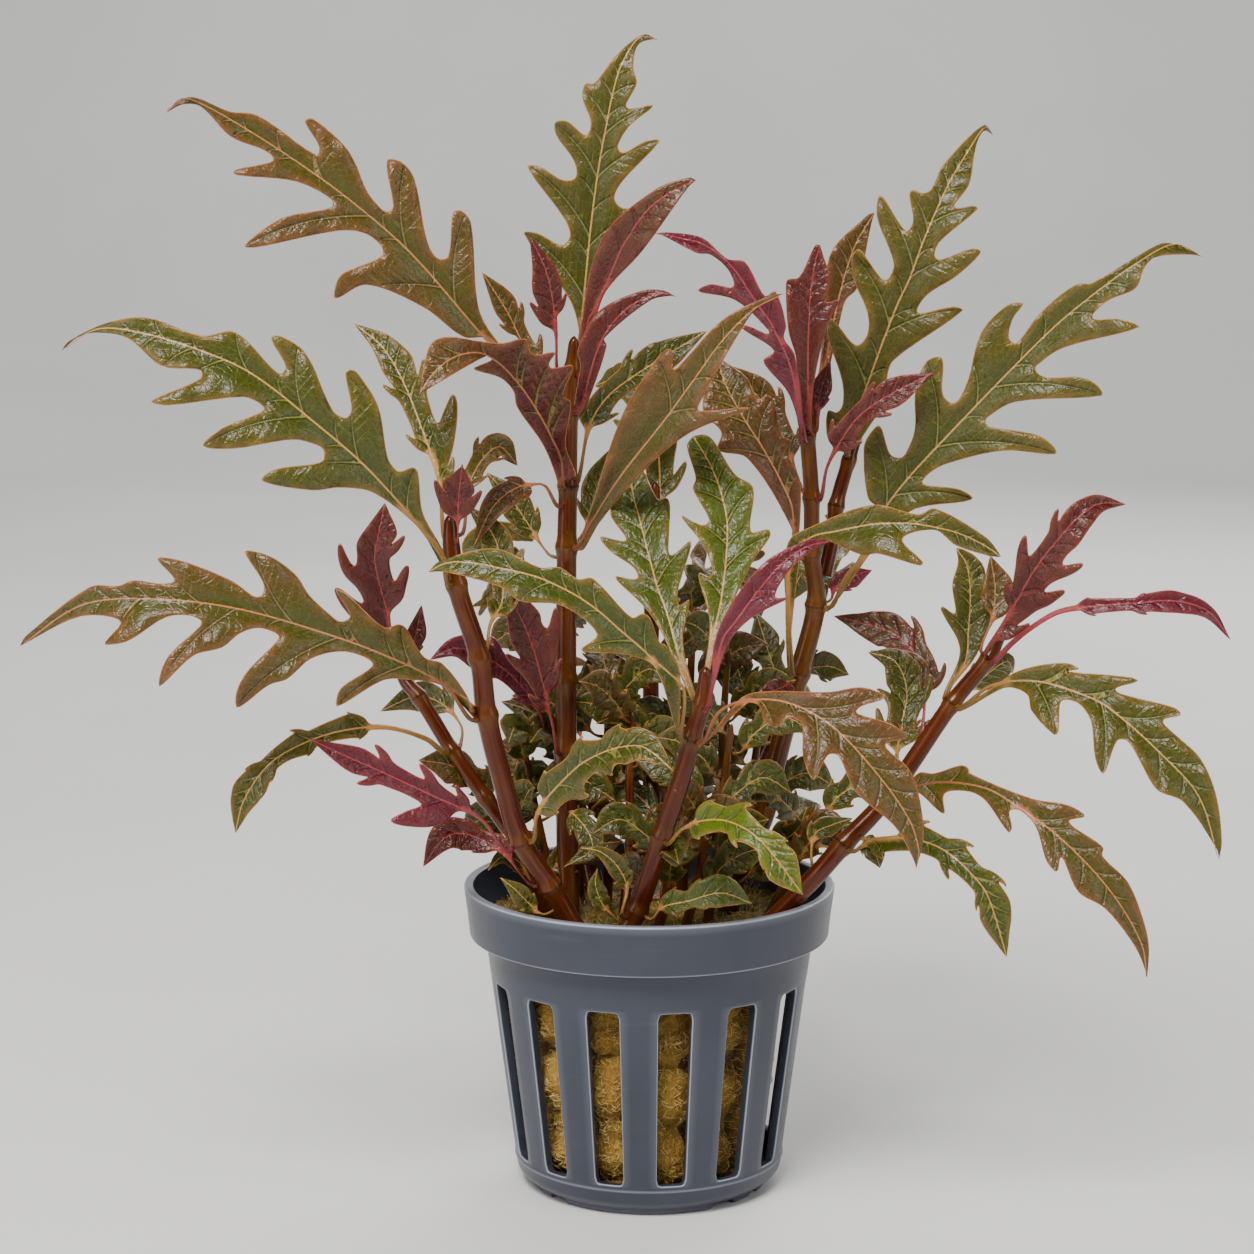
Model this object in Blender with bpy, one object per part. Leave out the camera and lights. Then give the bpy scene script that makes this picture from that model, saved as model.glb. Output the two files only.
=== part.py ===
"""A potted bunch of hygrophila pinnatifida: slotted pot, rockwool plug, stems and lobed leaves."""
import math

import bmesh
import bpy
from mathutils import Vector
from mathutils.geometry import delaunay_2d_cdt

MM = 0.001
GAP = 0.3

# Pot: outer radii and heights in millimetres, the foot standing on z = 0
POT_COLUMNS = 14
POT_TURN = math.radians(8.8)
SLOT_WIDTH = math.radians(12.0)
SLOT_LOW = 5.1
SLOT_HIGH = 31.7
FOOT_RADIUS = 17.8
BODY_LOW_RADIUS = 19.8
BODY_HIGH_RADIUS = 24.4
BAND_LOW = 37.9
BAND_RADIUS = 26.7
RIM_RADIUS = 27.5
POT_HEIGHT = 45.4
WALL = 1.4
LEDGE_HEIGHT = 38.5

# Rockwool plug: its flat top lies just under the rim
PLUG_TOP = 40.0
PLUG_COLUMNS = 22
PLUG_PROFILE = [
    (1.8, 12.6), (4.5, 14.2), (7.5, 14.4), (10.8, 13.4), (13.5, 15.0), (16.8, 15.9),
    (19.8, 15.7), (22.5, 15.0), (25.2, 16.4), (28.5, 16.7), (32.5, 17.9), (36.5, 20.0), (38.6, 20.9),
]
PLUG_LIP = 24.8

# Stems
STEM_SIDES = 7
NODE_SWELL = 1.22

# Leaves
VEIN_SLOPE = 1.35
PETIOLE_HALF_WIDTH = 0.7
HALF_THICKNESS = 0.45
TIP_HALF_WIDTH = 2.8
RIM_HALF_THICKNESS = 0.15
RIB_STEP = 5.0
FOLD = math.radians(12.0)
LEAN = 0.35
FACE = Vector((0.0, -1.0, LEAN)).normalized()

# Outlines are (x, z) as seen on the plane y = 0 from this place in front of the pot
EYE = Vector((-3.3, -432.0, 150.0))

FINISHES = {
    "pot_plastic": ((0.155, 0.172, 0.202), 0.42),
    "rockwool": ((0.300, 0.145, 0.030), 0.95),
    "stem": ((0.150, 0.040, 0.018), 0.38),
    "leaf_green": ((0.090, 0.115, 0.016), 0.34),
    "leaf_bronze": ((0.150, 0.080, 0.020), 0.34),
    "leaf_red": ((0.115, 0.014, 0.022), 0.36),
    "leaf_magenta": ((0.260, 0.022, 0.090), 0.36),
}

# Each row is x, z, depth y, radius, and whether a leaf pair grows there
STEMS = {
    "stem_left_front": [
        (-10.0, 36.5, -15.5, 1.5, 0), (-14.6, 44.5, -16.5, 1.5, 1), (-19.0, 51.5, -18.0, 1.5, 1),
        (-21.8, 61.0, -20.0, 1.45, 0), (-24.0, 70.5, -21.0, 1.45, 1), (-25.0, 79.0, -22.0, 1.4, 1),
        (-28.3, 90.0, -23.0, 1.35, 1), (-29.0, 96.0, -23.0, 1.2, 0), (-29.1, 99.0, -23.0, 0.9, 0)],
    "stem_left": [
        (-13.5, 38.5, -6.5, 1.2, 0), (-20.5, 52.5, -5.0, 1.15, 0), (-24.2, 58.0, -4.0, 1.15, 1),
        (-29.0, 65.0, -2.0, 1.1, 1), (-33.9, 73.2, 0.0, 1.1, 1), (-35.8, 75.5, 1.0, 1.05, 0),
        (-37.5, 80.5, 3.0, 0.95, 0), (-38.2, 83.0, 4.0, 0.8, 0)],
    "stem_centre": [
        (-12.0, 40.0, 0.0, 1.65, 0), (-12.2, 53.0, 1.5, 1.6, 0), (-12.3, 65.0, 2.0, 1.6, 1),
        (-12.3, 75.6, 2.5, 1.55, 1), (-12.1, 95.5, 3.0, 1.45, 1), (-11.9, 104.5, 3.0, 1.35, 1),
        (-11.7, 115.0, 2.5, 1.3, 1), (-11.2, 121.5, 1.5, 1.1, 1), (-11.0, 125.0, 1.0, 0.8, 0)],
    "stem_front": [
        (-4.5, 36.0, -19.0, 1.45, 0), (-1.8, 41.0, -19.0, 1.45, 1), (1.9, 52.3, -22.0, 1.4, 1),
        (5.1, 62.3, -24.0, 1.35, 0), (6.3, 67.2, -25.0, 1.3, 1), (7.8, 72.3, -26.0, 1.2, 1),
        (8.2, 76.5, -26.5, 0.9, 0)],
    "stem_right_centre": [
        (11.6, 40.0, 4.0, 1.6, 0), (12.8, 46.0, 4.0, 1.6, 0), (16.9, 55.2, 4.0, 1.6, 0),
        (18.1, 61.2, 4.0, 1.6, 1), (22.0, 76.7, 4.0, 1.5, 1), (24.4, 87.0, 4.0, 1.4, 1),
        (23.7, 94.5, 1.5, 1.2, 1), (23.6, 102.7, 0.0, 1.15, 1), (22.9, 112.0, -1.0, 1.1, 1),
        (22.6, 117.5, -1.0, 0.8, 0)],
    "stem_right_centre_branch": [
        (25.6, 91.2, 7.0, 1.1, 0), (26.8, 97.3, 8.5, 1.1, 0), (27.2, 101.5, 9.5, 1.1, 1),
        (29.0, 108.2, 10.5, 1.0, 1), (30.3, 112.0, 11.5, 0.75, 0)],
    "stem_right": [
        (17.0, 38.0, -11.5, 1.4, 0), (25.0, 46.5, -15.0, 1.4, 0), (28.8, 51.0, -15.0, 1.4, 1),
        (33.9, 56.5, -14.0, 1.3, 0), (37.2, 61.0, -13.5, 1.3, 1), (44.6, 72.3, -12.0, 1.2, 1),
        (49.8, 78.9, -12.0, 1.1, 1), (51.4, 82.0, -12.0, 0.8, 0)],
    "stem_back": [
        (0.4, 41.5, 12.0, 1.3, 0), (0.5, 60.0, 13.0, 1.3, 1), (0.2, 78.0, 14.0, 1.2, 1),
        (0.6, 95.0, 15.0, 1.1, 1), (0.8, 104.0, 15.5, 0.75, 0)],
    "stem_back_left": [
        (-8.0, 42.0, 15.0, 1.3, 0), (-10.5, 56.0, 21.0, 1.25, 1), (-14.5, 70.0, 27.0, 1.15, 1),
        (-18.5, 84.0, 31.0, 1.05, 1), (-19.5, 89.0, 32.0, 0.75, 0)],
    "stem_back_right": [
        (9.0, 42.0, 15.0, 1.3, 0), (13.5, 56.0, 20.0, 1.25, 1), (19.0, 70.0, 25.0, 1.15, 1),
        (24.0, 84.0, 29.0, 1.05, 1), (25.5, 89.0, 30.0, 0.75, 0)],
}

# Each leaf: stem, finish, midrib from stem to tip as (x, z, depth y). A leaf without an outline of
# its own adds the lobes on either side as (percent of the midrib at the lobe tip, reach from the
# midrib) and how deep the notches between them are
LEAVES = {
    "leaf_left_large": ("stem_left_front", "leaf_green", [
        (-28.3, 90.3, -23), (-30.5, 94.2, -26), (-40.4, 106.3, -32), (-49.0, 114.0, -35), (-58.0, 121.0, -36),
        (-66.0, 124.5, -36), (-74.0, 126.8, -35), (-80.0, 127.2, -33), (-85.2, 124.0, -30)]),
    "leaf_left_upright": ("stem_left_front", "leaf_green", [
        (-28.9, 96.5, -23), (-30.7, 105.3, -20), (-33, 112.5, -18), (-35.6, 119.3, -16), (-38.6, 124.5, -14),
        (-42.7, 128.0, -12)],
        [(48, 2.6), (70, 3.0)], [(34, 3.0), (56, 6.2), (72, 4.2)], 0.5),
    "leaf_left_arching": ("stem_left_front", "leaf_bronze", [
        (-24.1, 70.5, -21), (-30.0, 74.8, -26), (-39.0, 79.5, -31), (-50.0, 83.5, -36), (-61.0, 86.5, -39),
        (-72.0, 87.8, -40), (-83.0, 87.0, -38), (-92.5, 80.8, -34)]),
    "leaf_centre_low": ("stem_left_front", "leaf_green", [
        (-19.0, 51.5, -18), (-16.5, 56.0, -24), (-11.0, 62.4, -30), (-7.3, 64.7, -34), (-3.6, 65.8, -37),
        (-0.6, 65.6, -39), (3.6, 62.1, -41)],
        [(39, 3.0), (61, 3.5), (78, 3.4)], [(31, 2.8), (50, 4.6), (73, 4.0)], 0.6),
    "leaf_left_magenta": ("stem_left_front", "leaf_magenta", [
        (-19.0, 51.2, -18), (-24.8, 54.7, -22), (-32.8, 58.7, -26), (-39.2, 61.8, -28), (-45.8, 64.8, -30),
        (-50.2, 67.0, -31)],
        [(58, 6.2), (77, 3.2)], [(40, 2.8), (57, 3.6), (76, 3.4)], 0.45),
    "leaf_left_low": ("stem_left_front", "leaf_red", [
        (-14.8, 45.2, -16.5), (-21.5, 49.5, -15), (-24.8, 51.7, -14), (-28.1, 52.7, -14), (-30.6, 51.8, -15),
        (-33.6, 47.6, -16)],
        [(56, 2.4)], [(46, 2.6), (66, 2.4)], 0.6),
    "leaf_left_apex": ("stem_left_front", "leaf_red", [
        (-28.9, 96.2, -23), (-27.9, 102.0, -27), (-27.3, 107.4, -28)],
        [(81, 3.8)], [(77, 3.4)], 0.5),
    "leaf_centre_left_dark": ("stem_centre", "leaf_bronze", [
        (-11.9, 101.2, 3), (-15.2, 104.4, -2), (-17.3, 104.7, -5), (-20.2, 103.7, -8), (-23.0, 101.1, -10),
        (-25.8, 95.3, -12)],
        [(55, 2.4)], [(57, 2.2)], 0.7),
    "leaf_centre_red": ("stem_centre", "leaf_red", [
        (-12.4, 65.2, 2), (-14.4, 69.8, -3), (-15.7, 75.3, -5), (-17.4, 81.4, -6), (-19.7, 86.5, -7),
        (-22.5, 89.9, -8)],
        [(43, 2.6), (66, 4.2)], [(56, 3.6), (77, 5.4)], 0.5),
    "leaf_centre_left_long": ("stem_centre", "leaf_magenta", [
        (-12.3, 66.5, 2), (-16.1, 70.8, 4), (-18.6, 74.6, 4), (-21.7, 77.6, 2), (-24.9, 79.5, -1),
        (-28.6, 80.5, -3), (-32.3, 78.8, -4)],
        [(37, 2.4), (66, 3.2)], [(42, 2.6), (69, 3.2)], 0.6),
    "leaf_left_narrow": ("stem_left", "leaf_green", [
        (-29.0, 65.0, -2), (-33.0, 67.0, -6), (-39.0, 68.7, -11), (-46.0, 68.0, -16), (-51.6, 66.0, -19),
        (-56.4, 62.9, -22), (-60.0, 57.7, -23), (-61.4, 52.7, -23)],
        [(43, 1.8), (63, 2.2), (79, 2.2)], [(45, 2.6), (64, 2.6), (81, 2.2)], 0.7),
    "leaf_left_red": ("stem_left", "leaf_red", [
        (-36.6, 77.5, 2), (-37.4, 81.0, 0), (-38.5, 86.0, -1), (-39.6, 90.3, -2), (-40.2, 94.0, -3),
        (-39.5, 97.7, -4), (-38.6, 102.0, -4)],
        [(56, 6.6), (73, 5.4)], [(61, 4.8), (85, 4.0)], 0.5),
    "leaf_top_left": ("stem_centre", "leaf_bronze", [
        (-11.7, 114.8, 2.5), (-15.9, 118.0, -2), (-23.8, 125.9, -5), (-34.4, 138.1, -7), (-43.1, 145.7, -9),
        (-50.7, 151.2, -10), (-58.5, 156.2, -12), (-64.3, 159.4, -14), (-67, 160, -17), (-69.2, 158, -20)]),
    "leaf_top_left_small": ("stem_centre", "leaf_bronze", [
        (-11.7, 115.5, 2.5), (-18.9, 126.2, 7), (-20.5, 129.5, 7), (-24.2, 135.4, 7)],
        [(68, 2.0)], [(51, 3.0), (73, 2.6)], 0.6),
    "leaf_top": ("stem_centre", "leaf_green", [
        (-11.2, 121.0, 1.5), (-10.1, 126.0, 5), (-9.4, 133.1, 6), (-8.6, 141.1, 6), (-7.6, 148.8, 5),
        (-6.4, 155.6, 4), (-4.7, 163.2, 4), (-2.9, 167.0, 5), (-1.3, 168.7, 7), (1.3, 168.2, 11)]),
    "leaf_top_young_right": ("stem_centre", "leaf_red", [
        (-11.2, 121, 1.5), (-9.1, 127.8, -1.8), (-7.8, 130.7, -2.8), (-6.5, 133.3, -3.8),
        (-5.3, 136, -5), (-4.2, 138.6, -6.2), (-2.7, 141.1, -7.6), (-0.7, 143.9, -9),
        (1.7, 146, -10), (4.3, 147.5, -10), (6.6, 148.5, -10)]),
    "leaf_top_young_left": ("stem_centre", "leaf_red", [
        (-11.3, 120.5, 1.5), (-13.6, 127.7, -2), (-14.8, 135.0, -3), (-17.3, 140.6, -3)],
        [(59, 3.4)], [(61, 2.2)], 0.6),
    "leaf_top_young_low": ("stem_centre", "leaf_red", [
        (-11.7, 115.6, 2.5), (-9.7, 116.7, -1.5), (-8.7, 120.6, -4), (-7.6, 124.2, -5),
        (-6.3, 126.8, -5.4), (-4.6, 129, -5.6), (-2.6, 130.7, -5.8), (-0.3, 131.8, -6),
        (2, 132.4, -6), (3.9, 131.8, -6)]),
    "leaf_folded": ("stem_centre", "leaf_bronze", [
        (-11.9, 104.5, 3), (-12.8, 108, -0.8), (-14.1, 111.2, -4.5), (-15.8, 114.5, -7.4),
        (-17.8, 117.7, -10.2), (-20, 120.5, -13.4), (-22.1, 122.5, -16.4), (-24.6, 123.8, -19.8),
        (-27.5, 123.5, -22.7), (-29.9, 122.2, -25.1), (-31.8, 120.3, -26), (-33.5, 117.7, -27)]),
    "leaf_centre_upright": ("stem_centre", "leaf_bronze", [
        (-12, 95.6, 3), (-8.7, 98.7, -1.7), (-6.5, 102.4, -6.1), (-4.3, 105.8, -9.5),
        (-2.1, 108.7, -11.3), (0.3, 111.7, -13.2), (2.7, 114.8, -14.7), (5, 118, -16),
        (7.3, 121.2, -17.1), (9.7, 124.6, -17.5), (12.5, 127.8, -18), (15.5, 130.4, -18),
        (19.4, 132.3, -18)]),
    "leaf_centre_arching": ("stem_front", "leaf_green", [
        (6.3, 67.2, -25), (5.1, 74.3, -31.5), (2.7, 77, -33.5), (0.8, 78.6, -34.6),
        (-1.4, 80.7, -35.6), (-4.3, 83.2, -36.7), (-7.3, 85.9, -37.8), (-10.2, 88, -38),
        (-13.1, 89.6, -38), (-16, 90.9, -38), (-19, 91.8, -37.9), (-21.9, 92.4, -37.2),
        (-24.8, 93, -36.6), (-27.7, 93.3, -36), (-29.9, 93.1, -35.6), (-32.4, 91.8, -35)]),
    "leaf_front_red": ("stem_front", "leaf_magenta", [
        (7.8, 72.3, -26), (10.7, 81.7, -30.7), (12.7, 84.6, -31.9), (14.7, 87.4, -32.6),
        (16.9, 90.3, -33), (19.1, 92.8, -33), (21.3, 94.6, -32.4), (23.7, 95.8, -31.8),
        (26.9, 96.4, -31)]),
    "leaf_front_green_left": ("stem_front", "leaf_green", [
        (7.7, 71.8, -26), (4, 80.5, -18.9), (3.2, 83.5, -17.1), (2.3, 86.5, -15.5),
        (1.2, 89.4, -13.6), (0.2, 93.1, -10.4), (-0.7, 96.5, -8.1), (-1.5, 99.8, -6),
        (-2.3, 102.7, -4), (-2.7, 105.6, -1.8), (-2.6, 108.5, 0)]),
    "leaf_front_green_right": ("stem_front", "leaf_green", [
        (7.9, 72.5, -26), (9, 81.4, -19.7), (9.8, 84.4, -18.2), (10.5, 87.7, -16.2),
        (11, 91.8, -13.6), (11.3, 95.8, -11.2), (11.3, 99.2, -9.8), (10.7, 102.4, -8.5),
        (9.8, 105.3, -7.2), (8.5, 108.2, -6.2), (6.3, 111.7, -5)]),
    "leaf_right_low_bronze": ("stem_front", "leaf_bronze", [
        (6.3, 67.2, -25), (10.3, 71.0, -30), (15.0, 72.8, -34), (20.7, 72.3, -38), (26.9, 68.9, -41),
        (33.2, 62.3, -43), (38.4, 55.0, -44), (40.0, 50.2, -44), (39.7, 47.3, -43)]),
    "leaf_front_bright": ("stem_front", "leaf_green", [
        (1.9, 52.3, -22), (4.7, 53.2, -28), (7.1, 54.4, -32), (10.6, 54.7, -36), (14.0, 53.5, -40),
        (17.0, 51.1, -42), (22.9, 43.3, -44)],
        [(45, 3.0), (63, 3.6), (80, 3.0)], [(38, 2.8), (68, 3.2), (83, 2.6)], 0.6),
    "leaf_front_rim": ("stem_front", "leaf_green", [
        (-1.8, 41.0, -19), (1.9, 41.4, -22), (5.9, 42.4, -24), (10.7, 43.6, -25), (15.3, 42.0, -23)],
        [(40, 2.4), (62, 2.6)], [(37, 2.0), (61, 2.0)], 0.7),
    "leaf_right_red_upright": ("stem_right_centre", "leaf_red", [
        (22.9, 112.5, -1), (23, 117, -3.4), (22.9, 121.3, -3.8), (22.9, 125.7, -4.2),
        (23, 128.5, -4.4), (23.1, 131.4, -4.4), (23.4, 134.3, -4.2), (23.8, 136.9, -4.1),
        (24.5, 139.3, -4)]),
    "leaf_right_grey": ("stem_right_centre", "leaf_magenta", [
        (22.9, 111, -1), (22.3, 113, -5.2), (21.4, 117, -7), (20.8, 120.2, -7.8), (19.9, 123.1, -8.6),
        (18.7, 125.7, -9.2), (17.4, 128.2, -9.9), (15.6, 130.7, -10.6), (13.7, 133.6, -11.3),
        (12, 136, -11.6), (9.8, 138.1, -12.5), (7.2, 139.6, -13.2), (4.3, 140.3, -13.5),
        (2.2, 140.7, -13.8), (0.6, 140.9, -14)]),
    "leaf_right_brown_back": ("stem_right_centre", "leaf_bronze", [
        (23, 112, -1), (24.4, 117.7, 2.7), (25.5, 122.8, 5.3), (26.3, 127.1, 7), (27.2, 131.4, 7.7),
        (28.3, 135.7, 7.8), (29.9, 140, 7.4), (32.3, 143.9, 7)]),
    "leaf_right_brown_left": ("stem_right_centre", "leaf_bronze", [
        (23.7, 94.5, 1.5), (20.8, 101.2, -1.5), (19.1, 105.2, -2), (17.5, 108.2, -2),
        (15.9, 110.9, -2), (14.3, 113.3, -1.7), (12.5, 116.3, -0.8), (10.9, 119.4, 0.1),
        (9.7, 123.3, 2)]),
    "leaf_right_tall": ("stem_right_centre_branch", "leaf_green", [
        (29.0, 108.4, 10.5), (30.0, 114.5, 7), (31.6, 119.4, 5), (33.6, 125.1, 3), (35.7, 130.7, 2),
        (37.4, 134.4, 1), (39.4, 140.0, 0), (41.4, 144.8, 0), (43.0, 148.3, 1), (45.1, 151.9, 3),
        (47.9, 156.0, 6), (49.2, 154.8, 9)]),
    "leaf_far_right": ("stem_right_centre", "leaf_green", [
        (24.4, 87.2, 4), (28.6, 90.9, 0), (31.5, 94.6, -2), (34.2, 100.9, -4), (37.9, 105.9, -6),
        (43.2, 111.7, -9), (50.9, 119.9, -12), (58.4, 127.5, -14), (64.1, 132.3, -16), (70.0, 136.6, -17),
        (75.4, 139.4, -15), (79.7, 137.6, -12)]),
    "leaf_right_red_fold": ("stem_right_centre", "leaf_red", [
        (23.6, 102.9, 0), (25.8, 107.1, -5), (27.6, 110.7, -8), (30.2, 114.4, -10), (34.1, 117.3, -12),
        (41.3, 121.0, -13)],
        [(50, 2.8), (74, 2.8)], [(50, 2.8), (74, 2.8)], 0.6),
    "leaf_right_arching": ("stem_right_centre", "leaf_green", [
        (22, 76.7, 4), (20.4, 90.6, -10.4), (21.3, 94.6, -13.5), (23.7, 97, -16.2),
        (27.1, 97.8, -18.5), (30, 98.4, -19.8), (32.9, 98.9, -21), (35.8, 99, -21.5),
        (38.7, 98.9, -22), (41.7, 98.4, -22), (44.6, 97.7, -21.6), (47.5, 96.5, -20.9),
        (49.8, 95.2, -20.4), (51.4, 94, -20)]),
    "leaf_far_right_red": ("stem_right", "leaf_red", [
        (49.9, 79.2, -12), (53.0, 86.0, -15), (56.5, 92.4, -18), (60.8, 98.0, -20), (62.9, 100.2, -20),
        (65.5, 101.8, -19), (69.5, 101.8, -17)],
        [(38, 2.8), (57, 4.2), (73, 3.0)], [(26, 3.4), (48, 5.5), (63, 5.3)], 0.5),
    "leaf_far_right_thin": ("stem_right", "leaf_magenta", [
        (49.8, 78.8, -12), (53.2, 81.2, -16), (56.7, 84.0, -20), (60.3, 86.0, -22), (65.9, 86.8, -24),
        (71.3, 87.2, -25), (76.9, 87.5, -25), (81.8, 86.0, -25), (85.4, 81.7, -24)],
        [(48, 1.4), (66, 1.4)], [(50, 1.6), (66, 2.0)], 0.75),
    "leaf_right_green_upright": ("stem_right", "leaf_green", [
        (44.6, 72.4, -12), (46.5, 78.8, -7.2), (46.8, 83.2, -5.7), (47, 86.9, -4.8),
        (46.9, 89.9, -4.2), (46.3, 93.1, -4), (44.8, 95.3, -4)]),
    "leaf_far_right_drooping": ("stem_right", "leaf_green", [
        (44.6, 72.2, -12), (50.3, 74.9, -17), (56.9, 75.6, -21), (64.3, 73.4, -25), (68.0, 71.4, -27),
        (75.6, 64.7, -30), (81.4, 58.2, -32), (84.6, 48.6, -32)]),
    "leaf_right_drooping": ("stem_right", "leaf_bronze", [
        (37.2, 61.0, -13.5), (42.4, 60.4, -17), (46.7, 60.2, -21), (50.4, 59.3, -24), (54.0, 57.1, -27),
        (61.2, 51.8, -31), (68.7, 43.8, -33), (73.5, 35.7, -33), (74.4, 30.0, -32)]),
    "leaf_right_low": ("stem_right", "leaf_green", [
        (28.8, 51.0, -15), (32.6, 51.6, -18), (36.2, 52.0, -21), (40.5, 51.5, -24), (44.1, 49.9, -27),
        (47.7, 46.7, -29), (50.3, 43.3, -30), (53.4, 33.8, -30)],
        [(40, 3.2), (58, 3.2), (74, 3.2)], [(23, 3.2), (60, 3.2), (78, 2.6)], 0.7),
    "leaf_right_back_wide": ("stem_right", "leaf_magenta", [
        (41.0, 66.8, -12.5), (40.5, 72.0, -3), (40.0, 78.0, 4), (36.0, 82.5, 8), (30.0, 84.5, 11),
        (27.0, 85.3, 12)],
        [(49, 3.4), (70, 3.8)], [(49, 3.4), (70, 3.8)], 0.6),
    "leaf_back_high": ("stem_back", "leaf_green", [
        (0.6, 95.0, 15), (1.5, 103.0, 22), (1.0, 111.0, 28), (-1.0, 117.0, 34), (-4.0, 120.0, 41),
        (-8.0, 119.0, 48)],
        [(34, 4.0), (56, 5.4), (76, 4.6)], [(34, 4.0), (56, 5.4), (76, 4.6)], 0.45),
    "leaf_back_middle": ("stem_back", "leaf_bronze", [
        (0.3, 78, 14), (4, 84, 22), (8, 89, 32), (12, 91, 42), (15, 89, 51), (16, 84, 58)],
        [(34, 5.0), (56, 6.6), (76, 5.4)], [(34, 5.0), (56, 6.6), (76, 5.4)], 0.4),
    "leaf_back_left_arching": ("stem_back_left", "leaf_green", [
        (-18.5, 84.0, 31), (-21.5, 90.0, 38), (-23.0, 93.5, 47), (-22.0, 92.0, 56), (-20.0, 87.0, 63),
        (-18.0, 80.0, 67)],
        [(36, 5.2), (56, 6.8), (76, 5.4)], [(34, 5.0), (56, 6.8), (76, 5.4)], 0.4),
    "leaf_back_left_low": ("stem_back_left", "leaf_bronze", [
        (-14.5, 70.0, 27), (-15.0, 74.0, 36), (-14.0, 75.5, 45), (-12.0, 73.0, 54), (-10.0, 67.0, 60)],
        [(38, 4.4), (62, 5.2)], [(38, 4.4), (62, 5.2)], 0.45),
    "leaf_back_right_arching": ("stem_back_right", "leaf_green", [
        (24.0, 84.0, 29), (25.0, 91.0, 37), (25.0, 94.5, 46), (23.0, 93.0, 55), (20.0, 87.0, 61)],
        [(36, 4.8), (60, 6.2), (80, 4.4)], [(36, 4.8), (60, 6.2), (80, 4.4)], 0.4),
    "leaf_back_right_low": ("stem_back_right", "leaf_green", [
        (19.0, 70.0, 25), (21.0, 73.0, 35), (21.0, 73.0, 45), (18.0, 69.0, 53), (15.0, 62.0, 57)],
        [(38, 4.4), (62, 5.2)], [(38, 4.4), (62, 5.2)], 0.45),
}

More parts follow.
